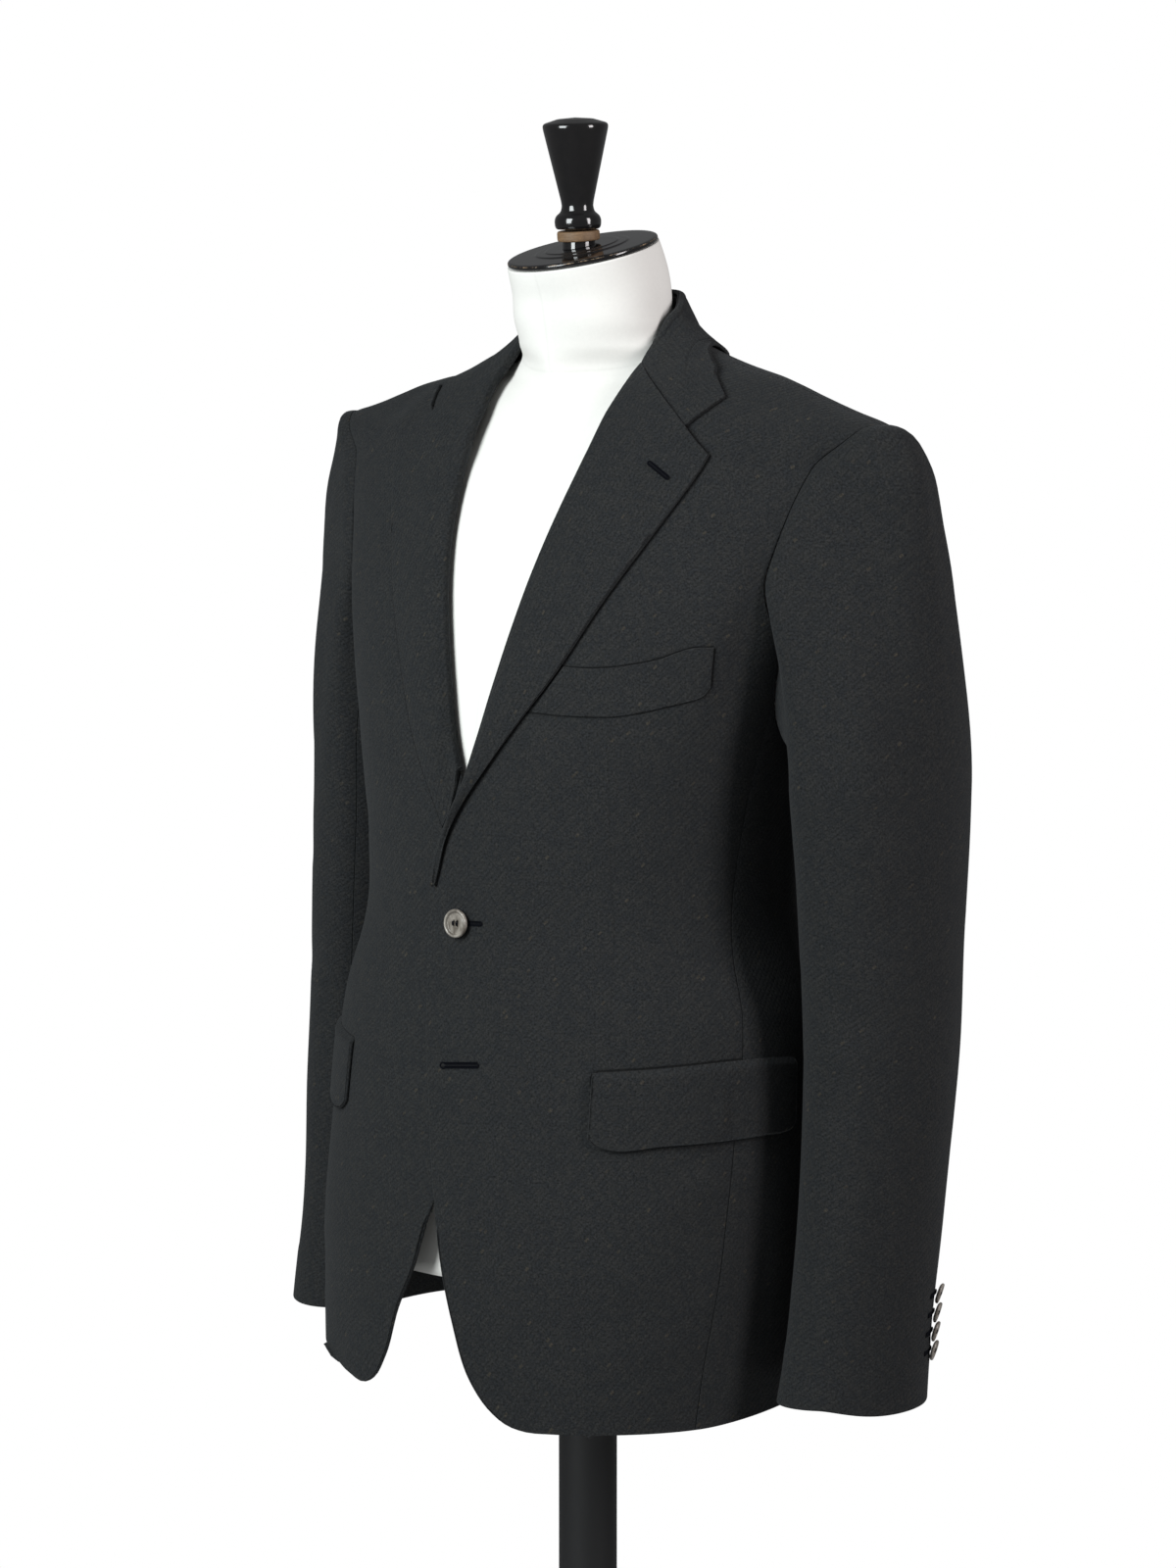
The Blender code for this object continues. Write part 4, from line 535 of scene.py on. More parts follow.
def laid_flat(grid, grain=0.0):
    """Where each point lies in the flat cut, in metres, with the grain upward.

    Each triangle keeps its own shape and is only turned, and then all are joined again, over and
    over, so that the cut has the cloth's lengths as nearly as a flat piece can.
    """
    rows = np.unique(np.linspace(0, len(grid) - 1, CUT_LINES).round().astype(int))
    columns = np.unique(np.linspace(0, grid.shape[1] - 1, CUT_LINES).round().astype(int))
    coarse = grid[np.ix_(rows, columns)]
    points = coarse.reshape(-1, 3)
    quads = quads_of(len(rows), len(columns))
    corners = np.concatenate([quads[:, [0, 1, 2]], quads[:, [0, 2, 3]]])
    a, b, c = (points[corners[:, k]] for k in range(3))
    base = np.linalg.norm(b - a, axis=1)
    own_shape = np.zeros((len(corners), 3, 2))
    own_shape[:, 1, 0] = base
    own_shape[:, 2, 0] = ((c - a) * (b - a)).sum(1) / base
    own_shape[:, 2, 1] = np.linalg.norm(np.cross(b - a, c - a), axis=1) / base
    joined, sides = np.eye(len(points)) * 1e-7, []
    for i, j, k in ((0, 1, 2), (1, 2, 0), (2, 0, 1)):
        one, other = own_shape[:, i] - own_shape[:, k], own_shape[:, j] - own_shape[:, k]
        turn = one[:, 0] * other[:, 1] - one[:, 1] * other[:, 0]
        weight = np.clip((one * other).sum(1) / np.maximum(turn, 1e-12), 0.02, 50)
        p, q = corners[:, i], corners[:, j]
        for r, s, sign in ((p, p, 1), (q, q, 1), (p, q, -1), (q, p, -1)):
            np.add.at(joined, (r, s), sign * weight)
        sides.append((p, q, weight, own_shape[:, i] - own_shape[:, j]))
    solved = np.linalg.inv(joined)
    right = np.r_[0, np.cumsum(np.linalg.norm(np.diff(coarse, axis=1), axis=-1).mean(0))]
    up = np.r_[0, np.cumsum(np.linalg.norm(np.diff(coarse, axis=0), axis=-1).mean(1))]
    flat = np.stack(np.meshgrid(right, up), -1).reshape(-1, 2)
    for _ in range(CUT_ROUNDS):
        match = np.zeros((len(corners), 2, 2))
        for p, q, weight, edge in sides:
            match += weight[:, None, None] * (flat[p] - flat[q])[:, :, None] * edge[:, None, :]
        angle = np.arctan2(match[:, 1, 0] - match[:, 0, 1], match[:, 0, 0] + match[:, 1, 1])
        wanted = np.zeros_like(flat)
        for p, q, weight, edge in sides:
            moved = weight[:, None] * rotated(edge, angle)
            np.add.at(wanted, p, moved)
            np.add.at(wanted, q, -moved)
        flat = solved @ wanted
    flat -= flat.mean(axis=0)
    slope = np.linalg.lstsq(np.c_[flat, np.ones(len(flat))], points[:, 2], rcond=None)[0]
    flat = rotated(flat, math.atan2(slope[0], slope[1]) + grain).reshape(*coarse.shape[:2], 2)
    to_rows, to_columns = between(rows, len(grid)), between(columns, grid.shape[1])
    return np.einsum("ra,cb,abk->rck", to_rows, to_columns, flat)


def rotated(vectors, angle):
    c, s = np.cos(angle), np.sin(angle)
    x, y = vectors[..., 0], vectors[..., 1]
    return np.stack([c * x - s * y, s * x + c * y], -1)


def between(kept, count):
    """The share of each kept line in each of the count lines, for a smooth course between them."""
    shares = [
        along({"at": kept, "share": one}, "share", np.arange(count), "at") for one in np.eye(len(kept))
    ]
    return np.stack(shares, -1)


def cut_size(cut):
    """Width and length of the smallest rectangle that a cut fits, and the cut's own area."""
    p = cut.reshape(-1, 2)
    sizes = [np.ptp(rotated(p, angle), axis=0) for angle in np.linspace(0, math.pi / 2, 91)]
    width, length = sorted(min(sizes, key=np.prod))
    a, b = cut[1:, 1:] - cut[:-1, :-1], cut[1:, :-1] - cut[:-1, 1:]
    area = abs((a[..., 0] * b[..., 1] - a[..., 1] * b[..., 0]) / 2).sum()
    return (float(width), float(length)), float(area)


def cloth(
    name,
    face,
    inward,
    look,
    nodes,
    side=1,
    form=None,
    cut=None,
    grain=0.0,
    thickness=CLOTH,
    gaps=(0.0,) * 4,
    rounds=(FREE_ROUND,) * 4,
    measures=None,
):
    """A finished piece of cloth. The size and area of its flat cut are worked out but not used."""
    flip = np.array([side, 1, 1])
    if cut is None:
        hung = settled((face if form is None else form) * flip) * flip
        cut = laid_flat(hung, side * grain)
    size, area = cut_size(cut)
    cut = cut * np.array([side, 1])
    points, quads, cut, measures = shell(
        face * flip, inward * flip, cut, thickness, gaps, rounds, measures or {}
    )
    piece = own(object_of(name, settled(points), quads, look, cut, measures), "wool", *nodes)
    return piece


# ---------------------------------------------------------------- soft folds
BODY_REACH = 0.17  # metres of cloth for each radian round the body
# Soft folds: the turn in degrees and the height of both ends, then half the width and how far the
# cloth stands out, in millimetres. Troughs are negative.
LEFT_FOLDS = (
    (59, 1.375, 64, 1.235, 13, -2.2),
    (50, 1.350, 54, 1.215, 15, 1.3),
    (40, 1.190, 66, 1.130, 12, -0.9),
    (44, 1.160, 72, 1.104, 9, -0.8),
    (52, 1.080, 80, 1.065, 10, -0.9),
    (60, 1.048, 86, 1.030, 9, 0.7),
    (53, 0.935, 72, 0.968, 11, -1.0),
    (46, 0.905, 66, 0.940, 13, 0.8),
    (63, 0.895, 70, 0.800, 17, 1.3),
    (74, 0.930, 79, 0.800, 15, -1.6),
    (25, 0.842, 62, 0.850, 13, -0.7),
    (30, 0.812, 66, 0.818, 11, 0.6),
    (66, 0.995, 67, 0.955, 5, -0.7),
    (64, 0.990, 64, 0.958, 4, 0.5),
    (88, 1.190, 96, 1.090, 14, -1.5),
    (96, 1.100, 112, 1.060, 12, -1.2),
    (104, 0.930, 107, 0.790, 18, 1.8),
    (118, 1.300, 128, 1.180, 16, -2.0),
    (126, 1.120, 150, 1.088, 11, -1.5),
    (122, 1.092, 147, 1.062, 10, 1.0),
    (118, 1.062, 140, 1.030, 12, -1.2),
    (136, 1.000, 141, 0.830, 20, 1.5),
    (152, 1.400, 172, 1.420, 12, -1.0),
    (158, 0.960, 160, 0.810, 18, -1.5),
)
RIGHT_FOLDS = (
    (61, 1.370, 66, 1.240, 14, -2.0),
    (49, 1.345, 53, 1.225, 14, 1.2),
    (36, 1.180, 64, 1.125, 13, -1.0),
    (47, 1.150, 75, 1.098, 10, -0.8),
    (50, 1.072, 82, 1.060, 11, -0.9),
    (58, 0.930, 78, 0.962, 12, -1.0),
    (60, 0.890, 66, 0.805, 16, 1.2),
    (76, 0.940, 80, 0.790, 16, -1.7),
    (28, 0.850, 60, 0.840, 14, -0.6),
    (90, 1.180, 98, 1.080, 13, -1.4),
    (98, 1.095, 116, 1.050, 13, -1.3),
    (103, 0.925, 108, 0.800, 17, 1.6),
    (120, 1.290, 129, 1.190, 15, -1.8),
    (124, 1.128, 147, 1.094, 12, -1.4),
    (120, 1.085, 149, 1.052, 11, 1.0),
    (122, 1.050, 143, 1.024, 11, -1.0),
    (138, 0.990, 142, 0.840, 19, 1.4),
    (154, 1.404, 171, 1.418, 11, -0.9),
    (160, 0.950, 161, 0.815, 17, -1.4),
)
SLEEVE_REACH = 0.062
# The same for the sleeves, round the arm from its outer side by the front.
LEFT_SLEEVE_FOLDS = (
    (8, 1.415, 6, 1.345, 7, 0.9),
    (24, 1.405, 18, 1.335, 7, -0.8),
    (41, 1.392, 33, 1.318, 8, 0.8),
    (-14, 1.412, -12, 1.340, 8, -0.8),
    (-34, 1.400, -27, 1.318, 9, 0.9),
    (58, 1.330, 44, 1.180, 13, 1.4),
    (76, 1.290, 62, 1.150, 12, -1.5),
    (48, 1.090, 20, 1.140, 12, -1.1),
    (84, 1.060, 42, 1.030, 11, -1.3),
    (88, 1.020, 50, 1.010, 9, 1.0),
    (92, 0.990, 60, 0.972, 10, -1.2),
    (6, 1.080, -4, 0.900, 20, 0.9),
    (-30, 1.100, -36, 0.960, 18, -1.0),
    (30, 0.950, 26, 0.820, 16, -0.9),
    (66, 0.900, 60, 0.800, 14, 0.8),
    (132, 1.080, 160, 1.040, 14, -1.5),
    (128, 1.020, 156, 1.000, 12, -1.2),
    (205, 1.160, 214, 0.980, 18, -1.4),
    (240, 1.300, 236, 1.160, 14, -1.3),
    (-70, 1.330, -62, 1.190, 14, 1.2),
)
RIGHT_SLEEVE_FOLDS = (
    (5, 1.412, 7, 1.342, 7, 0.8),
    (22, 1.404, 19, 1.330, 8, -0.8),
    (43, 1.390, 36, 1.322, 7, 0.7),
    (-16, 1.410, -14, 1.345, 8, -0.7),
    (-33, 1.398, -28, 1.320, 9, 0.8),
    (60, 1.325, 47, 1.190, 13, 1.3),
    (78, 1.285, 60, 1.140, 13, -1.5),
    (52, 1.100, 24, 1.130, 12, -1.0),
    (86, 1.050, 46, 1.022, 12, -1.3),
    (90, 1.008, 55, 0.992, 9, 0.9),
    (8, 1.070, 0, 0.890, 19, 0.9),
    (-28, 1.090, -35, 0.950, 17, -1.0),
    (34, 0.940, 30, 0.815, 15, -0.9),
    (130, 1.070, 158, 1.035, 14, -1.4),
    (207, 1.150, 212, 0.990, 18, -1.3),
    (238, 1.290, 235, 1.170, 14, -1.2),
    (-68, 1.320, -60, 1.200, 13, 1.1),
)


def fold_height(angle, height, rows, reach):
    """How far out the cloth stands at its places, from the folds near them."""
    out = np.zeros(np.broadcast(angle, height).shape)
    x, z = np.asarray(angle) * reach, np.asarray(height)
    for start, start_height, end, end_height, half_width, stands in rows:
        x0, x1 = math.radians(start) * reach, math.radians(end) * reach
        dx, dz = x1 - x0, end_height - start_height
        share = np.clip(((x - x0) * dx + (z - start_height) * dz) / (dx * dx + dz * dz), 0, 1)
        away = np.hypot(x - x0 - share * dx, z - start_height - share * dz)
        near = np.exp(-((away / (half_width * 0.001)) ** 2))
        out += stands * 0.001 * near * np.sin(math.pi * share) ** 0.75
    return out


def body_folds(grid_places, side):
    rows = LEFT_FOLDS if side > 0 else RIGHT_FOLDS
    return fold_height(grid_places[..., 0], grid_places[..., 1], rows, BODY_REACH)


def lengths_from(grid, axis):
    """How far along the cloth each point is from the first line of that axis."""
    steps = np.linalg.norm(np.diff(grid, axis=axis), axis=-1)
    start = np.zeros_like(np.take(steps, [0], axis=axis))
    return np.concatenate([start, np.cumsum(steps, axis=axis)], axis=axis)


def seam_dip(grid, seams, depth=0.00025, width=0.0045):
    """The shallow hollow beside a pressed seam. Seams are marked in the order of a grid's edges."""
    dip = np.zeros(grid.shape[:2])
    for axis, (first, last) in ((0, seams[:2]), (1, seams[2:])):
        far = lengths_from(grid, axis)
        total = np.take(far, [-1], axis=axis)
        for marked, distance in ((first, far), (last, total - far)):
            if marked:
                dip -= depth * np.exp(-((distance / width) ** 2))
    return dip


def grid_normals(grid, like):
    """Directions out of a grid of points, on the same side as the given ones."""
    normal = unit(np.cross(np.gradient(grid, axis=1), np.gradient(grid, axis=0)))
    return normal * np.sign((normal * like).sum(-1, keepdims=True).mean())


# ---------------------------------------------------------------- pockets' places
PATCH_AIR = 0.0004  # between a pocket piece and the front it lies on
FLAP_TURNS = (math.radians(34.2), math.radians(88.0))
FLAP_COLUMNS = ("share", "top", "bottom")
FLAP_ROWS = (
    (0.00, 1.0035, 0.9600), (0.04, 1.0040, 0.9545), (0.09, 1.0046, 0.9525), (0.30, 1.0070, 0.9550),
    (0.55, 1.0092, 0.9562), (0.80, 1.0090, 0.9572), (0.92, 1.0075, 0.9572), (0.97, 1.0070, 0.9590),
    (1.00, 1.0065, 0.9640),
)
WELT_COLUMNS = ("across_top", "top", "across_bottom", "bottom")
WELT_ROWS = (
    (0.0703, 1.2716, 0.0515, 1.2406),
    (0.0780, 1.2712, 0.0700, 1.2396),
    (0.0867, 1.2710, 0.0920, 1.2394),
    (0.1051, 1.2724, 0.1077, 1.2401),
    (0.1220, 1.2756, 0.1237, 1.2430),
    (0.1338, 1.2790, 0.1347, 1.2463),
    (0.1411, 1.2826, 0.1450, 1.2496),
    (0.1505, 1.2862, 0.1535, 1.2535),
    (0.1603, 1.2866, 0.1575, 1.2600),
)


# ---------------------------------------------------------------- coat body
ROWS_LOWER = 104  # how finely the cloth is spaced here
ROWS_ARMHOLE = 60
COLUMNS_FRONT = 66
COLUMNS_SIDE = 44
COLUMNS_BACK = 76
BUTTONHOLE_AT = (-0.0039, 0.9992, 0.0267, 1.0025)  # the lower one: across and height of both ends
DART_ROWS = ((0.1067, 1.2346), (0.1066, 1.1296), (0.1162, 1.0132))  # across and height
HEM_TURNED_UP = 0.038
UNDER_LAPEL = 0.012  # how far the chest pocket reaches under the lapel
SEAM_AIR = 0.00005  # between the sewn pieces' rims, on each side


def body_face(grid_places, lift):
    normal = body_normal(grid_places[..., 0], grid_places[..., 1])
    return body_point(grid_places[..., 0], grid_places[..., 1]) + normal * lift[..., None], normal


def hem_mark(face):
    """The faint step at the top of the turned-up hem."""
    above = lengths_from(face, 0)
    return 0.00030 * (1 - smoothstep((above - HEM_TURNED_UP + 0.002) / 0.004))


def signed_distance(across, height, line, closed):
    """Distance to a line of (across, height): signed by its side, or inside negative if closed."""
    points = np.stack([across, height], -1)
    best = np.full(across.shape, 1.0)
    sign = np.ones(across.shape)
    ends = np.roll(line, -1, axis=0) if closed else line[1:]
    crossings = np.zeros(across.shape)
    for a, b in zip(line, ends):
        edge = b - a
        share = np.clip(((points - a) * edge).sum(-1) / max((edge * edge).sum(), 1e-12), 0, 1)
        apart = points - a - share[..., None] * edge
        distance = np.hypot(apart[..., 0], apart[..., 1])
        nearer = distance < best
        best = np.where(nearer, distance, best)
        turn = edge[0] * apart[..., 1] - edge[1] * apart[..., 0]
        sign = np.where(nearer, np.where(turn < 0, -1.0, 1.0), sign)
        spans = (a[1] > height) != (b[1] > height)
        reach = a[0] + edge[0] * (height - a[1]) / (edge[1] if edge[1] else 1e-12)
        crossings += spans & (across < reach)
    return best * np.where(crossings % 2 == 1, -1.0, 1.0) if closed else best * sign


def front_measures(grid, side):
    """How far each point of a front is from its dart and from its pockets' outlines."""
    height = grid[..., 1]
    across = body_point(grid[..., 0], height)[..., 0]
    dart = signed_distance(across, height, smooth_curve(DART_ROWS, 24), closed=False)
    flap = columns_of(FLAP_COLUMNS, FLAP_ROWS)
    turns = FLAP_TURNS[0] + (FLAP_TURNS[1] - FLAP_TURNS[0]) * flap["share"]
    top, low = flap["top"] + 0.0006, flap["top"] - 0.010
    outline = np.concatenate([np.stack([turns, top], -1), np.stack([turns, low], -1)[::-1]])
    outline = outline * np.array([BODY_REACH, 1])
    pocket = signed_distance(grid[..., 0] * BODY_REACH, height, outline, closed=True)
    if side > 0:
        welt = columns_of(WELT_COLUMNS, WELT_ROWS)
        above = np.stack([welt["across_top"], welt["top"]], -1)
        below = np.stack([welt["across_bottom"], welt["bottom"]], -1)
        above[0, 0] -= UNDER_LAPEL
        below[0, 0] -= UNDER_LAPEL
        welted = signed_distance(across, height, np.concatenate([above, below[::-1]]), closed=True)
        pocket = np.where(np.abs(welted) < np.abs(pocket), welted, pocket)
    return {"dart": dart, "pocket": pocket}


def build_body():
    for name, side in (("left", 1), ("right", -1)):
        back = f"{name}_back_cloth"
        fronts = front_places(ROWS_LOWER, ROWS_ARMHOLE, COLUMNS_FRONT, side)
        panels = side_places(ROWS_LOWER, COLUMNS_SIDE, side)
        backs = back_places(ROWS_LOWER, ROWS_ARMHOLE, COLUMNS_BACK, side)
        # The piece, its places, its look, which of its edges are seams, and what it hangs on.
        for piece, grid, look, seams, holder in (
            # The fronts' look carries painted shade along the pocket outlines.
            ("front", fronts, "wool_with_painted_groove_shade", (0, 1, 0, 1), back),
            ("side_panel", panels, "wool", (0, 1, 1, 1), back),
            ("back", backs, "wool", (0, 1, 1, 1), "dress_form"),
        ):
            is_front = piece == "front"
            base = front_lift(grid, side) if is_front else np.zeros(grid.shape[:2])
            form, _ = body_face(grid, base)
            lift = base + body_folds(grid, side) + seam_dip(form, seams) + hem_mark(form)
            face, normal = body_face(grid, lift)
            cloth(
                f"{name}_{piece}_cloth",
                face,
                -grid_normals(face, normal),
                LOOKS[look],
                [f"{name}_{piece}"],
                side=side,
                form=form,
                gaps=tuple(SEAM_AIR * seam for seam in seams),
                rounds=tuple(SEAM_ROUND if seam else FREE_ROUND for seam in seams),
                measures=front_measures(grid, side) if is_front else None,
            )


# ---------------------------------------------------------------- lapels
LAPEL_AIR = 0.0008
LAPEL_BELLY = 0.0040  # how far the lapel stands off the chest, midway across
GORGE_COLUMNS = 24  # between the roll line and the notch
TIP_COLUMNS = 10  # between the notch and the tip


def gorge(corner, notch, tip):
    """The top of a lapel, or the front end of the collar: roll line to notch, and notch to tip."""
    first = np.linspace(corner, notch, GORGE_COLUMNS + 1)
    second = np.linspace(notch, tip, TIP_COLUMNS + 1)
    return as_places(np.concatenate([first, second[1:]]))


def lapel_places(name, rows):
    edge_rows, foot, roll_rows = {
        "left": (LEFT_LAPEL_ROWS, LEFT_LAPEL_FOOT, LEFT_ROLL_ROWS),
        "right": (RIGHT_LAPEL_ROWS, RIGHT_LAPEL_FOOT, RIGHT_ROLL_ROWS),
    }[name]
    kept = [row for row in roll_rows if row[1] > foot[0][1] + 0.002]
    roll = smooth_curve([foot[0], *kept], rows)
    roll[:, 0] += FOLD_ROOM
    top = gorge(roll[-1], NOTCHES[name], edge_rows[-1])
    foot = np.array(foot)
    foot[0, 0] += FOLD_ROOM
    foot[-1, 0] = max(foot[-1, 0], foot[0, 0] + 0.002)
    edge_rows = np.array(edge_rows)
    edge_rows[0, 0] = foot[-1, 0]
    bottom = as_places(smooth_curve(foot, len(top)))
    edge = as_places(smooth_curve(edge_rows, rows))
    share = np.linspace(0, 1, len(top))[None, :, None]
    grid = as_places(roll)[:, None] * (1 - share) + edge[:, None] * share
    rise = np.linspace(0, 1, rows)[:, None, None]
    return grid + (bottom - grid[0]) * (1 - rise) ** 6 + (top - grid[-1]) * rise**4


ROLL_STEPS = 8  # columns round the fold
LAPEL_ROWS = 120
GORGE_ROUND = 0.0004  # of the edges that meet at the gorge seam
FOOT_SUNK = {"left": 0.0014, "right": 0.0019}  # how far a lapel's foot is pressed into the front
LAPEL_GRAIN = math.radians(-27)  # the grain follows the lapel's outer edge


def rolled(face, inward, away, out, cloth_thickness, under, air):
    """The grid with its first column carried round the fold in an arc, and down behind it."""
    radius = air + cloth_thickness
    edge = face[:, 0] - out * radius
    turns = np.linspace(0, SIDE, ROLL_STEPS)[None, :, None]
    ways = np.cos(turns) * away[:, None] + np.sin(turns) * out[:, None]
    arc = edge[:, None] + ways * radius
    low = arc[:, :1] - out[:, None] * under
    points = np.concatenate([low, arc[:, :-1], face], axis=1)
    return points, np.concatenate([-ways[:, :1], -ways[:, :-1], inward], axis=1)


def build_lapels():
    rows = LAPEL_ROWS
    for name, side in (("left", 1), ("right", -1)):
        grid = lapel_places(name, rows)
        u = np.linspace(0, 1, grid.shape[1])[None, :]
        v = np.linspace(0, 1, rows)[:, None]
        belly = LAPEL_BELLY * np.sin(math.pi * u**0.75) * (1 - 0.4 * v) * smoothstep(v * 6)
        lift = LAPEL_AIR + LAPEL_CLOTH + belly + front_lift(grid, side) + body_folds(grid, side) * 0.6
        lift = lift - FOOT_SUNK[name] * (1 - smoothstep(v / 0.16)) * smoothstep(u * 3)
        face, normal = body_face(grid, lift)
        away = unit(face[:, 0] - face[:, 1])
        away = unit(away - normal[:, 0] * (away * normal[:, 0]).sum(-1, keepdims=True))
        inward = -grid_normals(face, normal)
        face, inward = rolled(
            face, inward, away, normal[:, 0], LAPEL_CLOTH, CLOTH * 1.05, LAPEL_AIR
        )
        cloth(
            f"{name}_lapel_cloth",
            face,
            inward,
            LOOKS["wool"],
            [f"{name}_lapel"],
            side=side,
            grain=LAPEL_GRAIN,
            thickness=LAPEL_CLOTH,
            gaps=(0.0, SEAM_AIR, 0.0, 0.0),
            rounds=(FREE_ROUND, GORGE_ROUND, FREE_ROUND, FREE_ROUND),
        )


# ---------------------------------------------------------------- collar
FALL_ROWS = 72


def eased(values, rounds=4):
    """Values smoothed over their neighbours."""
    for _ in range(rounds):
        padded = np.pad(values, 1, mode="edge")
        beside = padded[:-2, 1:-1] + padded[2:, 1:-1] + padded[1:-1, :-2] + padded[1:-1, 2:]
        values = beside / 8 + values / 2
    return values


# The top of the collar's stand, from the side of the neck to the nape, as (across, along, height).
STAND_EDGE_ROWS = (
    (0.0612, -0.0072, 1.4840), (0.0605, 0.0124, 1.5025), (0.0540, 0.0324, 1.5145),
    (0.0425, 0.0485, 1.5205), (0.0228, 0.0605, 1.5230), (0.0000, 0.0645, 1.5235),
)
# The fall's outer edge behind its tip, as (turn, height) on the worn surface.
FALL_EDGE_ROWS = (
    (math.radians(56), 1.4615), (math.radians(70), 1.4735), (math.radians(85), 1.4830),
    (math.radians(100), 1.4860), (math.radians(120), 1.4830), (math.radians(145), 1.4745),
    (math.radians(180), 1.4670),
)
COLLAR_SPRING = 0.0002  # how far the fall stands off the shoulders behind its tips
FALL_BELLY = 0.0017  # how far it swells out between its fold and its edge
STAND_CLEAR = ((0, 0.27, 0.64, 1), (0.0036, 0.0030, 0.0012, 0.0014))  # above its seam, by share of it
STAND_FIRST_SHARE = 2 / 13  # of the fold, at which the stand starts


def on_surface(grid_places, lift):
    points = body_point(grid_places[..., 0], grid_places[..., 1])
    return points + body_normal(grid_places[..., 0], grid_places[..., 1]) * lift


def kept_off(grid, room):
    """The grid, moved out where it lies closer than room to the worn surface."""
    turns, heights = np.meshgrid(np.linspace(0, math.pi, 181), np.linspace(1.40, 1.51, 89))
    samples = body_point(turns, heights).reshape(-1, 3)
    normals = body_normal(turns, heights).reshape(-1, 3)
    flat = grid.reshape(-1, 3)
    room = np.broadcast_to(room, grid.shape[:2]).ravel()
    nearest = [int(np.argmin(((samples - p) ** 2).sum(1))) for p in flat]
    above = ((flat - samples[nearest]) * normals[nearest]).sum(1)
    push = eased(np.clip(room - above, 0, None).reshape(grid.shape[:2])).reshape(-1, 1)
    return (flat + push * normals[nearest]).reshape(grid.shape)


def stand_edge(count):
    """The top of the stand, from the top of the roll line to the nape."""
    corner = as_places([(ROLL_TOP[0] + FOLD_ROOM, ROLL_TOP[1])])
    return smooth_curve(np.concatenate([on_surface(corner, 0), STAND_EDGE_ROWS]), count)


def fold_ways(edge, lapel_away, lapel_out):
    """Directions away from the fold and out from it: the lapel's at the front, upright behind."""
    along_it = unit(np.gradient(edge, axis=0))
    upright = np.array([0.0, 0.0, 1.0])
    level_out = unit(np.cross(along_it, upright) * np.array([1, 1, 0]))
    share = smoothstep(np.linspace(0, 1, len(edge)) / 0.3)[:, None]
    out = unit(lapel_out * (1 - share) + level_out * share)
    away = unit(lapel_away * (1 - share) + upright * share)
    return unit(away - out * (away * out).sum(-1, keepdims=True)), out


def collar_half(name):
    """Half of the fall, as rows from the front end to the nape and columns from the fold outward."""
    edge = stand_edge(FALL_ROWS)
    corner = as_places([(ROLL_TOP[0] + FOLD_ROOM, ROLL_TOP[1])])
    out = body_normal(corner[:, 0], corner[:, 1])
    front = gorge((ROLL_TOP[0] + FOLD_ROOM, ROLL_TOP[1]), NOTCHES[name], COLLAR_TIPS[name])
    room = LAPEL_AIR + LAPEL_CLOTH
    front = on_surface(front, room)
    away, out = fold_ways(edge, unit(front[:1] - front[1:2]), out)
    fold = edge + out * room
    tip = as_places([COLLAR_TIPS[name]])
    rim = on_surface(smooth_curve(np.concatenate([tip, FALL_EDGE_ROWS]), 120), room)
    rim = spread_evenly(rim, FALL_ROWS)
    nape = np.linspace(fold[-1], rim[-1], len(front))
    stand_off = room + COLLAR_SPRING * smoothstep(np.linspace(0, 1, FALL_ROWS)[:, None] / 0.4)
    face = kept_off(patch(front, nape, fold, rim), stand_off)
    inward = -unit(np.cross(np.gradient(face, axis=1), np.gradient(face, axis=0)))
    inward *= np.sign((inward[0, 3] * -out[0]).sum())
    belly = FALL_BELLY * np.sin(math.pi * np.linspace(0, 1, face.shape[1]) ** 0.8)
    behind = smoothstep(np.linspace(0, 1, FALL_ROWS) / 0.4)
    face = face - inward * (behind[:, None] * belly)[..., None]
    return rolled(face, inward, away, out, LAPEL_CLOTH, CLOTH, LAPEL_AIR)


def build_collar():
    left, left_in = collar_half("left")
    right, right_in = collar_half("right")
    flip = np.array([-1, 1, 1])
    face = np.concatenate([left, (right * flip)[::-1][1:]])
    inward = np.concatenate([left_in, (right_in * flip)[::-1][1:]])
    cut = laid_flat(face)
    middle, first, last = cut[len(left) - 1], cut[len(left) - 1, 0], cut[len(left) - 1, -1]
    grain = first - last
    cut = rotated(cut - middle.mean(axis=0), math.atan2(grain[0], grain[1]))
    seen = np.cross(face[1, 12] - face[0, 12], face[0, 13] - face[0, 12]) @ -inward[0, 12]
    drawn = cut[1, 12] - cut[0, 12], cut[0, 13] - cut[0, 12]
    if seen * (drawn[0][0] * drawn[1][1] - drawn[0][1] * drawn[1][0]) < 0:
        cut = cut * np.array([-1, 1])
    cloth(
        "collar_fall_cloth",
        face,
        inward,
        LOOKS["wool"],
        ["collar_fall"],
        cut=cut,
        thickness=LAPEL_CLOTH,
        rounds=(GORGE_ROUND, GORGE_ROUND, FREE_ROUND, FREE_ROUND),
    )
    build_stand()


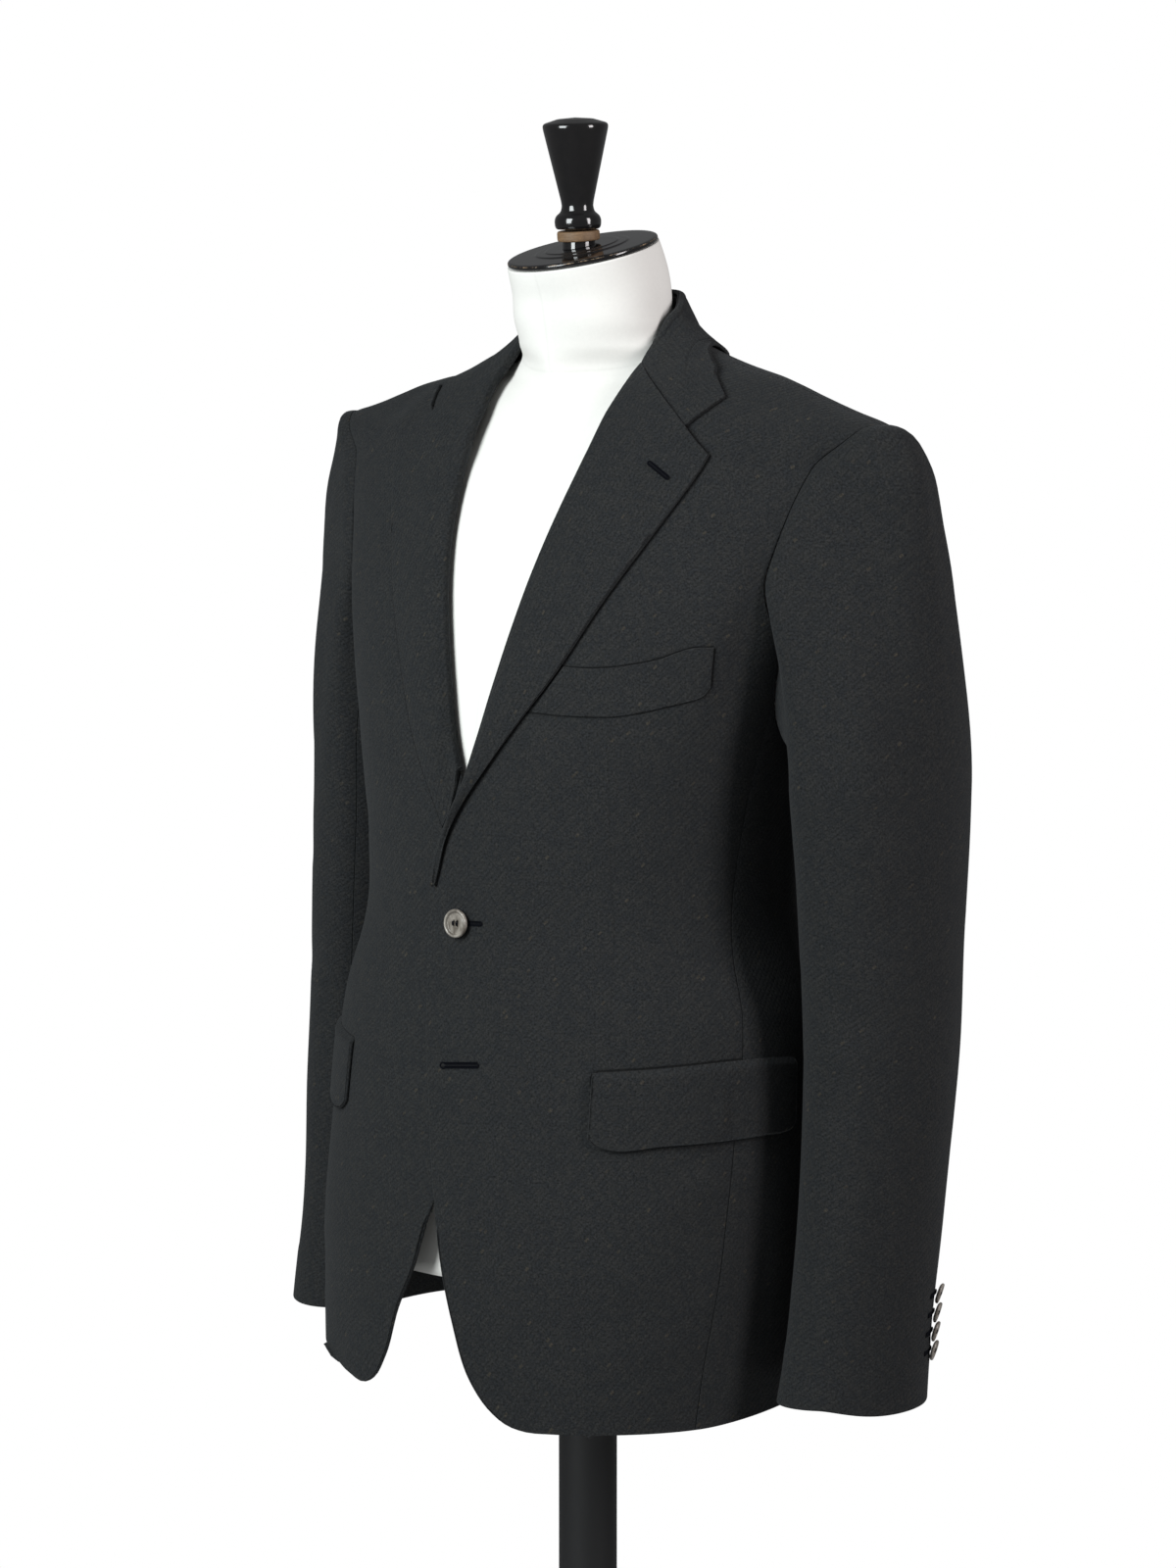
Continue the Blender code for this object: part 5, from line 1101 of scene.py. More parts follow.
def build_stand():
    first = int(round(STAND_FIRST_SHARE * (FALL_ROWS - 1)))
    top = stand_edge(FALL_ROWS)[first:] - np.array([0, 0, 0.0006])
    seam = np.concatenate([front_edge(900, 1)[-45:], neckline(160)[1:]])
    bottom = spread_evenly(on_surface(seam, 0), len(top))
    clear = np.interp(np.linspace(0, 1, len(top)), *STAND_CLEAR)[:, None]
    bottom = bottom + unit(top - bottom) * clear
    half = np.stack([bottom * (1 - t) + top * t for t in np.linspace(0, 1, 12)], axis=1)
    flip = np.array([-1, 1, 1])
    face = np.concatenate([half, (half * flip)[::-1][1:]])
    normal = unit(np.cross(np.gradient(face, axis=1), np.gradient(face, axis=0)))
    outward = np.sign((normal[0, 1] * np.array([1, 0, 0])).sum())
    cloth(
        "collar_stand_cloth",
        face,
        -normal * outward,
        LOOKS["wool"],
        ["collar_stand"],
    )


# ---------------------------------------------------------------- sleeves
SLEEVE_COLUMNS = ("height", "across", "along", "outer", "inner", "half_along", "turned_in")
SLEEVE_ROWS = (
    (1.190, 0.2130, 0.0465, 0.0550, 0.0330, 0.0745, 0.00),
    (1.158, 0.2145, 0.0453, 0.0545, 0.0340, 0.0720, 0.00),
    (1.090, 0.2182, 0.0415, 0.0507, 0.0355, 0.0680, 0.00),
    (1.012, 0.2226, 0.0381, 0.0474, 0.0355, 0.0635, 0.00),
    (0.937, 0.2262, 0.0280, 0.0426, 0.0345, 0.0580, 0.06),
    (0.878, 0.2270, 0.0205, 0.0395, 0.0335, 0.0555, 0.13),
    (0.844, 0.2270, 0.0150, 0.0390, 0.0330, 0.0545, 0.19),
    (0.779, 0.2262, 0.0050, 0.0400, 0.0330, 0.0575, 0.26),
)
SLEEVE = columns_of(SLEEVE_COLUMNS, SLEEVE_ROWS[::-1])
SLEEVE_TOP = SLEEVE_ROWS[0][0]
CUFF = SLEEVE_ROWS[-1][0]
# How the sleeve leaves the armhole, in metres: over the shoulder, at the front, at the back, below.
LEAVE_OVER = np.array([0.120, 0.000, -0.018])
LEAVE_FRONT = np.array([0.000, -0.020, -0.200])
LEAVE_BACK = np.array([0.080, 0.090, -0.200])
LEAVE_BELOW = np.array([0.030, 0.000, -0.040])
ARRIVE = np.array([0.000, 0.000, -1.000])
SLEEVE_STANDOFF = 0.0003  # air between the armhole and the sleeve head
HEAD_TURN = 1.5  # how far the wall's way in, at the armhole, follows the body's rather than the sleeve's
UNDER_FROM = math.radians(130)  # the stretch of the sleeve that meets the side panel
UNDER_TO = math.radians(232)
FRONT_SEAM_AT = math.radians(118)
HIND_SEAM_AT = math.radians(250)
HIND_SEAM_DRIFT = 0.80  # how far the hind seam turns outward on its way to the cuff, radians


def sleeve_turns(rows_armhole, columns_side):
    """Angles round the sleeve, from the shoulder point by the front, one for each armhole point."""
    front = np.linspace(0, UNDER_FROM, rows_armhole + 1)
    under = np.linspace(UNDER_FROM, UNDER_TO, columns_side)
    back = np.linspace(UNDER_TO, FULL_TURN, rows_armhole + 1)
    return np.concatenate([front, under[1:], back[1:-1]])


def armhole_ring(rows_armhole, columns_side):
    """The armhole's points, in the order of the sleeve's angles, and the body's normals there."""
    front, back = front_armhole(rows_armhole + 1), back_armhole(rows_armhole + 1)
    at = np.concatenate([front[::-1], under_armhole(columns_side)[1:], back[1:-1]])
    return body_point(at[:, 0], at[:, 1]), body_normal(at[:, 0], at[:, 1])


def arm_ring(turns, height):
    """A section of the arm: outer side at 0, front at 90 degrees."""
    value = {name: along(SLEEVE, name, height) for name in SLEEVE_COLUMNS[1:]}
    down = (SLEEVE_TOP - height) / (SLEEVE_TOP - CUFF)
    near_seam = np.exp(-(((turns - HIND_SEAM_AT) / 0.9) ** 2))
    turns = turns + HIND_SEAM_DRIFT * smoothstep(down) * near_seam
    across, forth = np.cos(turns), np.sin(turns)
    x = across * np.where(across > 0, value["outer"], value["inner"])
    y = -forth * value["half_along"]
    c, s = math.cos(value["turned_in"]), math.sin(value["turned_in"])
    return np.stack(
        [
            value["across"] + c * x + s * y,
            value["along"] - s * x + c * y,
            np.full_like(turns, height),
        ],
        -1,
    )


def sleeve_grid(rows_armhole, columns_side, cap_rows, arm_rows):
    """The sleeve's outer face: a rounded head from the armhole, and then the arm's sections."""
    turns = sleeve_turns(rows_armhole, columns_side)
    start, normal = armhole_ring(rows_armhole, columns_side)
    start = start + normal * SLEEVE_STANDOFF
    end = arm_ring(turns, SLEEVE_TOP)
    over = ((1 + np.cos(turns)) / 2)[:, None]
    level = np.where(np.sin(turns)[:, None] > 0, LEAVE_FRONT, LEAVE_BACK)
    leave = LEAVE_OVER * over**2 + 2 * level * over * (1 - over) + LEAVE_BELOW * (1 - over) ** 2
    arrive = ARRIVE * (0.05 + 0.20 * over)
    rows = []
    for t in np.linspace(0, 1, cap_rows + 1) ** 1.15:
        rows.append(
            start * (1 + 2 * t) * (1 - t) ** 2
            + leave * t * (1 - t) ** 2
            + end * t**2 * (3 - 2 * t)
            + arrive * t**2 * (t - 1)
        )
    for height in np.linspace(SLEEVE_TOP, CUFF, arm_rows + 1)[1:]:
        rows.append(arm_ring(turns, height))
    return np.array(rows)


def ring_normals(grid):
    """Directions out of a tube whose rows are closed rings."""
    round_it = np.roll(grid, -1, axis=1) - np.roll(grid, 1, axis=1)
    along_it = np.gradient(grid, axis=0)
    normal = np.cross(along_it, round_it)
    normal /= np.linalg.norm(normal, axis=-1, keepdims=True)
    centre = grid.mean(axis=1, keepdims=True)
    out = np.sign(((grid - centre) * normal).sum(-1).mean())
    return normal * out


def sleeve_place(turn, height):
    """A point of the left sleeve's outer face, the way out of it, and the way down it."""
    step = 0.004
    points = [arm_ring(np.array([turn + a]), height + b)[0] for a, b in ((-0.05, 0), (0.05, 0))]
    lower, upper = [arm_ring(np.array([turn]), height + b)[0] for b in (-step, step)]
    down = unit(lower - upper)
    normal = unit(np.cross(points[1] - points[0], down))
    middle = arm_ring(np.array([turn]), height)[0]
    centre = np.array([along(SLEEVE, "across", height), along(SLEEVE, "along", height), height])
    return middle, normal * np.sign(((middle - centre) * normal).sum()), down


RING_ARMHOLE = 50
RING_SIDE = 40
HEAD_ROWS = 30
LENGTH_ROWS = 112
SLEEVE_GRAIN = math.radians(11.5)
HEAD_BLEND = 5  # rows over which the wall turns from the body's way in to the sleeve's
HEAD_ROLL = 0.0016  # the swell that the wadding makes just outside the armhole seam


def sleeve_lift(grid, turns, side):
    rows = LEFT_SLEEVE_FOLDS if side > 0 else RIGHT_SLEEVE_FOLDS
    angle = (turns + math.pi) % FULL_TURN - math.pi
    upper = fold_height(np.broadcast_to(angle, grid.shape[:2]), grid[..., 2], rows, SLEEVE_REACH)
    round_back = fold_height(
        np.broadcast_to(turns % FULL_TURN, grid.shape[:2]), grid[..., 2], rows, SLEEVE_REACH
    )
    lift = np.where(np.abs(upper) > np.abs(round_back), upper, round_back)
    from_head = lengths_from(grid, 0)
    over = ((1 + np.cos(turns)) / 2) ** 2
    roll = HEAD_ROLL * over * np.exp(-(((from_head - 0.012) / 0.008) ** 2))
    to_cuff = from_head[-1:] - from_head
    cuff = 0.00030 * (1 - smoothstep((to_cuff - HEM_TURNED_UP + 0.002) / 0.004))
    return lift * smoothstep(from_head / 0.02) + roll + cuff


def build_sleeves():
    turns = sleeve_turns(RING_ARMHOLE, RING_SIDE)
    form = sleeve_grid(RING_ARMHOLE, RING_SIDE, HEAD_ROWS, LENGTH_ROWS)
    normals = ring_normals(form)
    head = armhole_ring(RING_ARMHOLE, RING_SIDE)[1]
    for row in range(HEAD_BLEND):
        share = 1 - smoothstep(row / HEAD_BLEND)
        normals[row] = unit(normals[row] + HEAD_TURN * share * head)
    front_seam = int(np.argmin(np.abs(turns - FRONT_SEAM_AT)))
    hind_seam = int(np.argmin(np.abs(turns - HIND_SEAM_AT)))
    under = np.arange(front_seam, hind_seam + 1)
    top = np.arange(hind_seam, len(turns) + front_seam + 1) % len(turns)
    for name, side in (("left", 1), ("right", -1)):
        face = form + normals * sleeve_lift(form, turns, side)[..., None]
        inward = -ring_normals(face)
        for row in range(HEAD_BLEND):
            inward[row] = -normals[row]
        for piece, take in (("top_sleeve", top), ("under_sleeve", under)):
            dip = seam_dip(form[:, take], (1, 0, 1, 1))[..., None]
            cloth(
                f"{name}_{piece}_cloth",
                face[:, take] - inward[:, take] * dip,
                inward[:, take],
                LOOKS["wool"],
                [f"{name}_{piece}"],
                side=side,
                form=form[:, take],
                grain=SLEEVE_GRAIN,
                gaps=(0.0, 0.0, SEAM_AIR, SEAM_AIR),
                rounds=(SEAM_ROUND, FREE_ROUND, SEAM_ROUND, SEAM_ROUND),
            )


# ---------------------------------------------------------------- pockets
FLAP_LOOK = 0.0026  # thickness of the visible flap
FLAP_TUCKED = 0.0007  # and of its top, where it goes into the pocket
FLAP_SINK = 0.0045  # height over which its top sinks in
TUCKED_LIFT = 0.0003
FLAP_SWELL = 0.0004
FLAP_TOP_ROUND = 0.0004
WELT_PROUD = 0.0011
WELT_SUNK = 0.0004
WELT_ROUND = 0.0005


def build_pockets():
    flap = columns_of(FLAP_COLUMNS, FLAP_ROWS)
    share = np.linspace(0, 1, 70)
    turns = FLAP_TURNS[0] + (FLAP_TURNS[1] - FLAP_TURNS[0]) * share
    bottom, top = [along(flap, key, share, "share") for key in ("bottom", "top")]
    grid = ruled(places(turns, bottom), places(turns, top), 30)
    below_top = top[None, :] - grid[..., 1]
    sink = smoothstep(1 - below_top / FLAP_SINK)
    for name, side in (("left", 1), ("right", -1)):
        base = front_lift(grid, side) + body_folds(grid, side)
        stands = PATCH_AIR + FLAP_LOOK + FLAP_SWELL * np.sin(math.pi * share)[None, :]
        face, normal = body_face(grid, base + stands * (1 - sink) + TUCKED_LIFT * sink)
        thickness = FLAP_LOOK * (1 - sink) + FLAP_TUCKED * sink
        cloth(
            f"{name}_flap_cloth",
            face,
            -grid_normals(face, normal),
            LOOKS["wool"],
            [f"{name}_flap"],
            side=side,
            form=body_face(grid, base)[0],
            thickness=thickness,
            rounds=(FREE_ROUND, FLAP_TOP_ROUND, FREE_ROUND, FREE_ROUND),
        )
    welt = columns_of(WELT_COLUMNS, WELT_ROWS)
    below = smooth_curve(np.stack([welt["across_bottom"], welt["bottom"]], -1), 60)
    above = smooth_curve(np.stack([welt["across_top"], welt["top"]], -1), 60)
    grid = ruled(as_places(below), as_places(above), 26)
    base = front_lift(grid, 1) + body_folds(grid, 1)
    face, normal = body_face(grid, base + WELT_PROUD)
    cloth(
        "chest_welt_cloth",
        face,
        -grid_normals(face, normal),
        LOOKS["wool"],
        ["chest_welt"],
        thickness=WELT_PROUD + WELT_SUNK,
        rounds=(WELT_ROUND,) * 4,
    )


# ---------------------------------------------------------------- threads
STITCH_STEP = 0.00052
STITCH_RADIUS = 0.00026
STITCH_OVER = 0.0003  # how far the stitches reach past the buttonhole's width
STITCH_WOBBLE = 0.00007
STITCH_ARCH = ((0.0, 0.0001), (0.35, 0.0005), (0.7, 0.00045), (1.0, -0.0001))  # share of the way, height
EDGE_RADIUS = 0.0003  # of the thread along the slit
EDGE_LIFT = 0.00035
END_STEP = 0.42  # radians between the stitches that fan out at each end
END_ARCH = ((0.0002, 0.0001), (0.0009, 0.0005), (0.0016, -0.0001))  # way out, height
SLIT_ARCH = ((-1, 0.0), (0, 0.00015), (1, 0.0))  # side, height
SLIT_DEEP = 0.0004
EYELET_AT = 0.0016  # from the buttonhole's start
EYELET_REACH = 0.0012
EYELET_OPEN = 0.42  # of the buttonhole's width
OPEN_HOLE_LIFT = 0.0006  # how far a slit lies off the cloth, in a buttonhole that is open
USED_HOLE_LIFT = 0.0004  # and in one that is buttoned or sewn
HOLE_WIDTH = 0.0030
LOWER_HOLE_WIDTH = 0.0038
CUFF_HOLE_WIDTH = 0.0024
UPPER_HOLE = ((-0.003, 0.0), (0.0185, 0.0012))  # both ends, across and up from the button
LAPEL_HOLE = ((0.1018, 1.4040), (0.1170, 1.3949))  # across and height of both ends
CUFF_HOLE = (-0.06, 0.26)  # both ends, in radians round the sleeve from the button
CUFF_HOLE_FACES = 0.1  # where the way out of the sleeve is taken, in the same radians


def tube(line, radius, sides=6):
    """A closed thread along a line of points, with rounded ends."""
    line = np.asarray(line, float)
    course = unit(np.gradient(line, axis=0))
    aside = unit(np.cross(course, np.array([0.23, 0.41, 0.88])))
    other = np.cross(course, aside)
    turns = np.linspace(0, FULL_TURN, sides, endpoint=False)[None, :, None]
    ring = np.cos(turns) * aside[:, None] + np.sin(turns) * other[:, None]
    thick = np.full(len(line), radius)
    thick[[0, -1]] *= 0.35
    points = (line[:, None] + ring * thick[:, None, None]).reshape(-1, 3)
    quads = []
    for r in range(len(line) - 1):
        for k in range(sides):
            n = (k + 1) % sides
            quads.append((r * sides + k, r * sides + n, (r + 1) * sides + n, (r + 1) * sides + k))
    for r in (0, len(line) - 1):
        ring_at = [r * sides + k for k in range(sides)]
        step = 1 if r else -1
        for k in range(1, sides - 2, 2):
            quads.append((ring_at[0], *ring_at[k : k + 3])[::step])
    return points, np.array(quads)


def stitched_slit(start, end, normal, width, eyelet=False):
    """The worked edge of a buttonhole: a purl of thread stitches round a slit, and a near-black sheet over
    the slit, painted shade for its opening.
    """
    course = unit(end - start)
    beside = np.cross(normal, course)
    length = float(np.linalg.norm(end - start))

    def point(share, out, lift):
        """A point by its share of the slit's length, its way out to the side and its height."""
        return start + course * length * share + beside * out + normal * lift

    def opened(share, plain):
        """How far the slit is open to each side, which is more at the eyelet."""
        bulge = math.exp(-(((length * share - EYELET_AT) / EYELET_REACH) ** 2)) if eyelet else 0
        return width * (plain + EYELET_OPEN * bulge)

    stitches = []
    count = int(length / STITCH_STEP)
    for way in (-1, 1):
        for k in range(count + 1):
            inner = opened(k / count, 0.20)
            outer = width / 2 + STITCH_OVER + STITCH_WOBBLE * math.sin(2.3 * k + way)
            line = [point(k / count, way * (inner + (outer - inner) * r), h) for r, h in STITCH_ARCH]
            stitches.append(tube(line, STITCH_RADIUS))
        edge = [point(s, way * opened(s, 0.14), EDGE_LIFT) for s in np.linspace(0, 1, 40)]
        stitches.append(tube(edge, EDGE_RADIUS))
    for end_at, way in ((start, -1), (end, 1)):
        for k in range(-3, 4):
            out = course * way * math.cos(k * END_STEP) + beside * math.sin(k * END_STEP)
            stitches.append(tube([end_at + out * r + normal * h for r, h in END_ARCH], STITCH_RADIUS))
    # A near-black sheet along the slit: painted shade where the buttonhole opens.
    rows = [[point(s, way * opened(s, 0.22), h) for way, h in SLIT_ARCH] for s in np.linspace(0, 1, 9)]
    gap = np.array(rows)
    return merged(stitches), plain_wall(gap, np.broadcast_to(-normal, gap.shape), SLIT_DEEP)


def plain_wall(face, inward, thickness):
    rows, columns = face.shape[:2]
    points = np.concatenate([face.reshape(-1, 3), (face + inward * thickness).reshape(-1, 3)])
    behind = rows * columns
    rim = outline_of(rows, columns)
    sides = np.stack([np.roll(rim, -1), rim, rim + behind, np.roll(rim, -1) + behind], -1)
    quads = np.concatenate([quads_of(rows, columns), quads_of(rows, columns)[:, ::-1] + behind, sides])
    return points, quads


def add_buttonhole(name, start, end, normal, width=HOLE_WIDTH, eyelet=False):
    threads, gap = stitched_slit(start, end, normal, width, eyelet)
    own(object_of(f"{name}_stitches", *threads, LOOKS["hole_thread"]), "wool")
    # The slit is a sheet of painted shade.
    own(object_of(f"{name}_slit", *gap, LOOKS["slit"]), "wool")


def on_front(across, height, lift):
    """A point on the left front's visible face and the way out of it."""
    place = as_places([(across, height)])
    base = front_lift(place, 1) + body_folds(place, 1)
    face, normal = body_face(place, base + lift)
    return face[0], normal[0]


def build_buttonholes():
    x0, z0, x1, z1 = BUTTONHOLE_AT
    start, normal = on_front(x0, z0, OPEN_HOLE_LIFT)
    end, _ = on_front(x1, z1, OPEN_HOLE_LIFT)
    add_buttonhole("lower_buttonhole", start, end, normal, LOWER_HOLE_WIDTH, eyelet=True)
    across, height = BUTTON_PLACE
    (start, normal), (end, _) = [on_front(across + x, height + z, USED_HOLE_LIFT) for x, z in UPPER_HOLE]
    add_buttonhole("upper_buttonhole", start, end, normal)
    build_lapel_hole()
    for name, side in (("left", 1), ("right", -1)):
        build_cuff_holes(name, side)


def build_lapel_hole():
    grid = lapel_places("left", LAPEL_ROWS)
    ends = []
    for across, height in LAPEL_HOLE:
        points = body_point(grid[..., 0], grid[..., 1])
        near = np.argmin((points[..., 0] - across) ** 2 + (points[..., 2] - height) ** 2)
        r, c = np.unravel_index(near, points.shape[:2])
        u, v = c / (grid.shape[1] - 1), r / (LAPEL_ROWS - 1)
        belly = LAPEL_BELLY * math.sin(math.pi * u**0.75) * (1 - 0.4 * v)
        place = as_places([(across, height)])
        lift = LAPEL_AIR + LAPEL_CLOTH + belly + front_lift(place, 1) + body_folds(place, 1) * 0.6
        face, normal = body_face(place, lift + OPEN_HOLE_LIFT)
        ends.append((settled(face[0]), normal[0]))
    (start, normal), (end, _) = ends
    add_buttonhole("lapel_buttonhole", start, end, normal)


def build_cuff_holes(name, side):
    stitches, gaps = [], []
    flip = np.array([side, 1, 1])
    for k in range(CUFF_BUTTON_COUNT):
        height = CUFF + CUFF_BUTTON_LOWEST + k * CUFF_BUTTON_SPACING
        normal = sleeve_place(CUFF_BUTTON_TURN + CUFF_HOLE_FACES, height)[1]
        lift = normal * USED_HOLE_LIFT
        start, end = [sleeve_place(CUFF_BUTTON_TURN + a, height)[0] + lift for a in CUFF_HOLE]
        threads, gap = stitched_slit(start, end, normal, CUFF_HOLE_WIDTH)
        stitches.append(threads)
        gaps.append(gap)
    # The slits are sheets of painted shade.
    for what, shapes, look in (("stitches", stitches, "hole_thread"), ("slit_shades", gaps, "slit")):
        points, quads = merged(shapes)
        own(object_of(f"{name}_cuff_{what}", settled(points * flip), quads, LOOKS[look]), "wool")


# ---------------------------------------------------------------- buttons
BUTTON_AIR = 0.0008  # between the button's back and the left front
CUFF_BUTTON_COUNT = 4
CUFF_BUTTON_SPACING = 0.0118
CUFF_BUTTON_TILT = math.radians(14.5)
CUFF_BUTTON_LOWEST = 0.0340  # above the cuff
CUFF_BUTTON_TURN = math.radians(-50)


def ring_quads(rows, segments):
    """The quads between closed rings of points, and each point's number by ring and place."""
    index = np.arange(rows * segments).reshape(rows, segments)
    after = np.roll(index, -1, axis=1)
    return np.stack([index[:-1], after[:-1], after[1:], index[1:]], -1).reshape(-1, 4), index


def lathe(profile, segments, place=(0, 0, 0), axis=(0, 0, 1)):
    """Points and quads of a closed body turned from (radius, height) rows, bottom to top."""
    axis = unit(np.array(axis, float))
    side = unit(np.cross(axis, [0.1, 1, 0] if abs(axis[1]) < 0.9 else [1, 0, 0.1]))
    other = np.cross(axis, side)
    turns = np.linspace(0, FULL_TURN, segments, endpoint=False)
    profile = np.array(profile, float)
    profile[:, 0] = np.maximum(profile[:, 0], 0.00002)
    round_it = np.cos(turns)[:, None] * side + np.sin(turns)[:, None] * other
    grid = np.array(place) + profile[:, :1, None] * round_it + profile[:, 1:, None] * axis
    quads, index = ring_quads(len(profile), segments)
    caps = []
    for ring, step in ((index[0], -1), (index[-1], 1)):
        for k in range(1, segments - 2, 2):
            caps.append([ring[0], ring[k], ring[k + 1], ring[k + 2]][::step])
    return grid.reshape(-1, 3), np.concatenate([quads, caps])


def filleted(profile, size, steps=5):
    """The profile with its corners rounded."""
    profile = np.array(profile, float)
    made = [profile[0]]
    for before, corner, after in zip(profile, profile[1:], profile[2:]):
        into, away = before - corner, after - corner
        near = [min(size, 0.45 * np.linalg.norm(way)) for way in (into, away)]
        first, last = corner + unit(into) * near[0], corner + unit(away) * near[1]
        for t in np.linspace(0, 1, steps):
            made.append(first * (1 - t) ** 2 + corner * 2 * t * (1 - t) + last * t * t)
    made.append(profile[-1])
    return np.array(made)


def finely(profile, step):
    """The profile with more points on its long stretches."""
    made = [profile[:1]]
    for a, b in zip(profile, profile[1:]):
        count = max(1, int(math.ceil(np.linalg.norm(b - a) / step)))
        made.append(a + (b - a) * (np.arange(1, count + 1) / count)[:, None])
    return np.concatenate(made)


def sewn_button(profile, segments, step, place, axis, hole_at, hole_radius):
    """A turned button with four sunk holes, and the ways across it and up it."""
    axis = unit(np.array(axis, float))
    up = unit(np.array([0, 0, 1.0]) - axis * axis[2])
    aside = np.cross(up, axis)
    points, quads = lathe(finely(filleted(profile, 0.0004), step), segments, place, axis)
    from_place = points - np.array(place)
    x, z, high = from_place @ aside, from_place @ up, from_place @ axis
    sunk = np.zeros(len(points))
    for sx in (-1, 1):
        for sz in (-1, 1):
            away = np.hypot(x - sx * hole_at, z - sz * hole_at)
            sunk = np.maximum(sunk, 1 - smoothstep((away / hole_radius - 0.62) / 0.38))
    on_top = high > profile[-1][1] * 0.9
    points = points - axis * (sunk * on_top)[:, None] * 0.0014
    return points, quads, aside, up


def button_threads(place, axis, aside, up, height, hole_at, strands, radius):
    """The sewing thread: strands in bars from the upper holes to the lower ones."""
    threads = []
    for way in (-1, 1):
        for k in range(strands):
            off = (k - (strands - 1) / 2) * radius * 1.5
            line = []
            for s in np.linspace(-1, 1, 9):
                arch = height + 0.0007 * (1 - s * s) ** 0.5 - (0.0012 if abs(s) > 0.99 else 0)
                lean = 0.00025 * s * (1 if k % 2 else -1)
                line.append(place + aside * (way * hole_at + off + lean) + up * s * hole_at + axis * arch)
            threads.append(tube(line, radius))
    return merged(threads)


FACE_PROFILE = (
    (0.0000, -0.0010), (0.0050, -0.0010), (0.0078, -0.0004), (0.0094, 0.0010), (0.0098, 0.0024),
    (0.0095, 0.0035), (0.0088, 0.0040), (0.0079, 0.0037), (0.0074, 0.0026), (0.0070, 0.0022),
    (0.0062, 0.0024), (0.0000, 0.0026),
)
SMALL_FACE_PROFILE = (
    (0.0000, 0.0000), (0.0055, 0.0000), (0.0071, 0.0009), (0.0072, 0.0019), (0.0067, 0.0026),
    (0.0060, 0.0024), (0.0056, 0.0018), (0.0050, 0.0017), (0.0000, 0.0019),
)


SHANK_PROFILE = ((0.0, -0.0034), (0.0011, -0.0034), (0.0009, -0.0020), (0.0011, -0.0006), (0.0, -0.0006))
FACE_HOLE_AT, FACE_HOLE_RADIUS = 0.0016, 0.00085  # the holes' way across and up from the middle
SMALL_HOLE_AT, SMALL_HOLE_RADIUS = 0.0012, 0.0007
FACE_DISH, SMALL_DISH = 0.0027, 0.0020  # height that the sewing threads rise from
FACE_THREAD, SMALL_THREAD = 0.00026, 0.00022  # radius
CUFF_BUTTON_AIR = 0.0006


def build_front_button():
    seat, normal = on_front(*BUTTON_PLACE, BUTTON_AIR + 0.0010)
    points, quads, aside, up = sewn_button(
        FACE_PROFILE, 144, 0.00028, seat, normal, FACE_HOLE_AT, FACE_HOLE_RADIUS
    )
    own(object_of("front_button_face", points, quads, LOOKS["horn"]), "horn", "front_button")
    threads = button_threads(seat, normal, aside, up, FACE_DISH, FACE_HOLE_AT, 4, FACE_THREAD)
    shank = lathe(SHANK_PROFILE, 16, seat, normal)
    own(object_of("front_button_thread", *merged([threads, shank]), LOOKS["hole_thread"]), "horn")


def build_cuff_buttons():
    for name, side in (("left", 1), ("right", -1)):
        threads = []
        flip = np.array([side, 1, 1])
        for k in range(CUFF_BUTTON_COUNT):
            height = CUFF + CUFF_BUTTON_LOWEST + k * CUFF_BUTTON_SPACING
            place, normal, down = sleeve_place(CUFF_BUTTON_TURN, height)
            axis = unit(normal * math.cos(CUFF_BUTTON_TILT) + down * math.sin(CUFF_BUTTON_TILT))
            stands = SMALL_FACE_PROFILE[1][0] * math.sin(CUFF_BUTTON_TILT) + CUFF_BUTTON_AIR
            place = settled((place + normal * stands) * flip)
            points, quads, aside, up = sewn_button(
                SMALL_FACE_PROFILE, 72, 0.00036, place, axis * flip, SMALL_HOLE_AT, SMALL_HOLE_RADIUS
            )
            number = CUFF_BUTTON_COUNT - k
            made = object_of(f"{name}_cuff_button_{number}_face", points, quads, LOOKS["horn"])
            own(made, "horn", f"{name}_cuff_button_{number}")
            sewn = button_threads(place, axis * flip, aside, up, SMALL_DISH, SMALL_HOLE_AT, 3, SMALL_THREAD)
            threads.append(sewn)
        own(object_of(f"{name}_cuff_threads", *merged(threads), LOOKS["hole_thread"]), "horn")


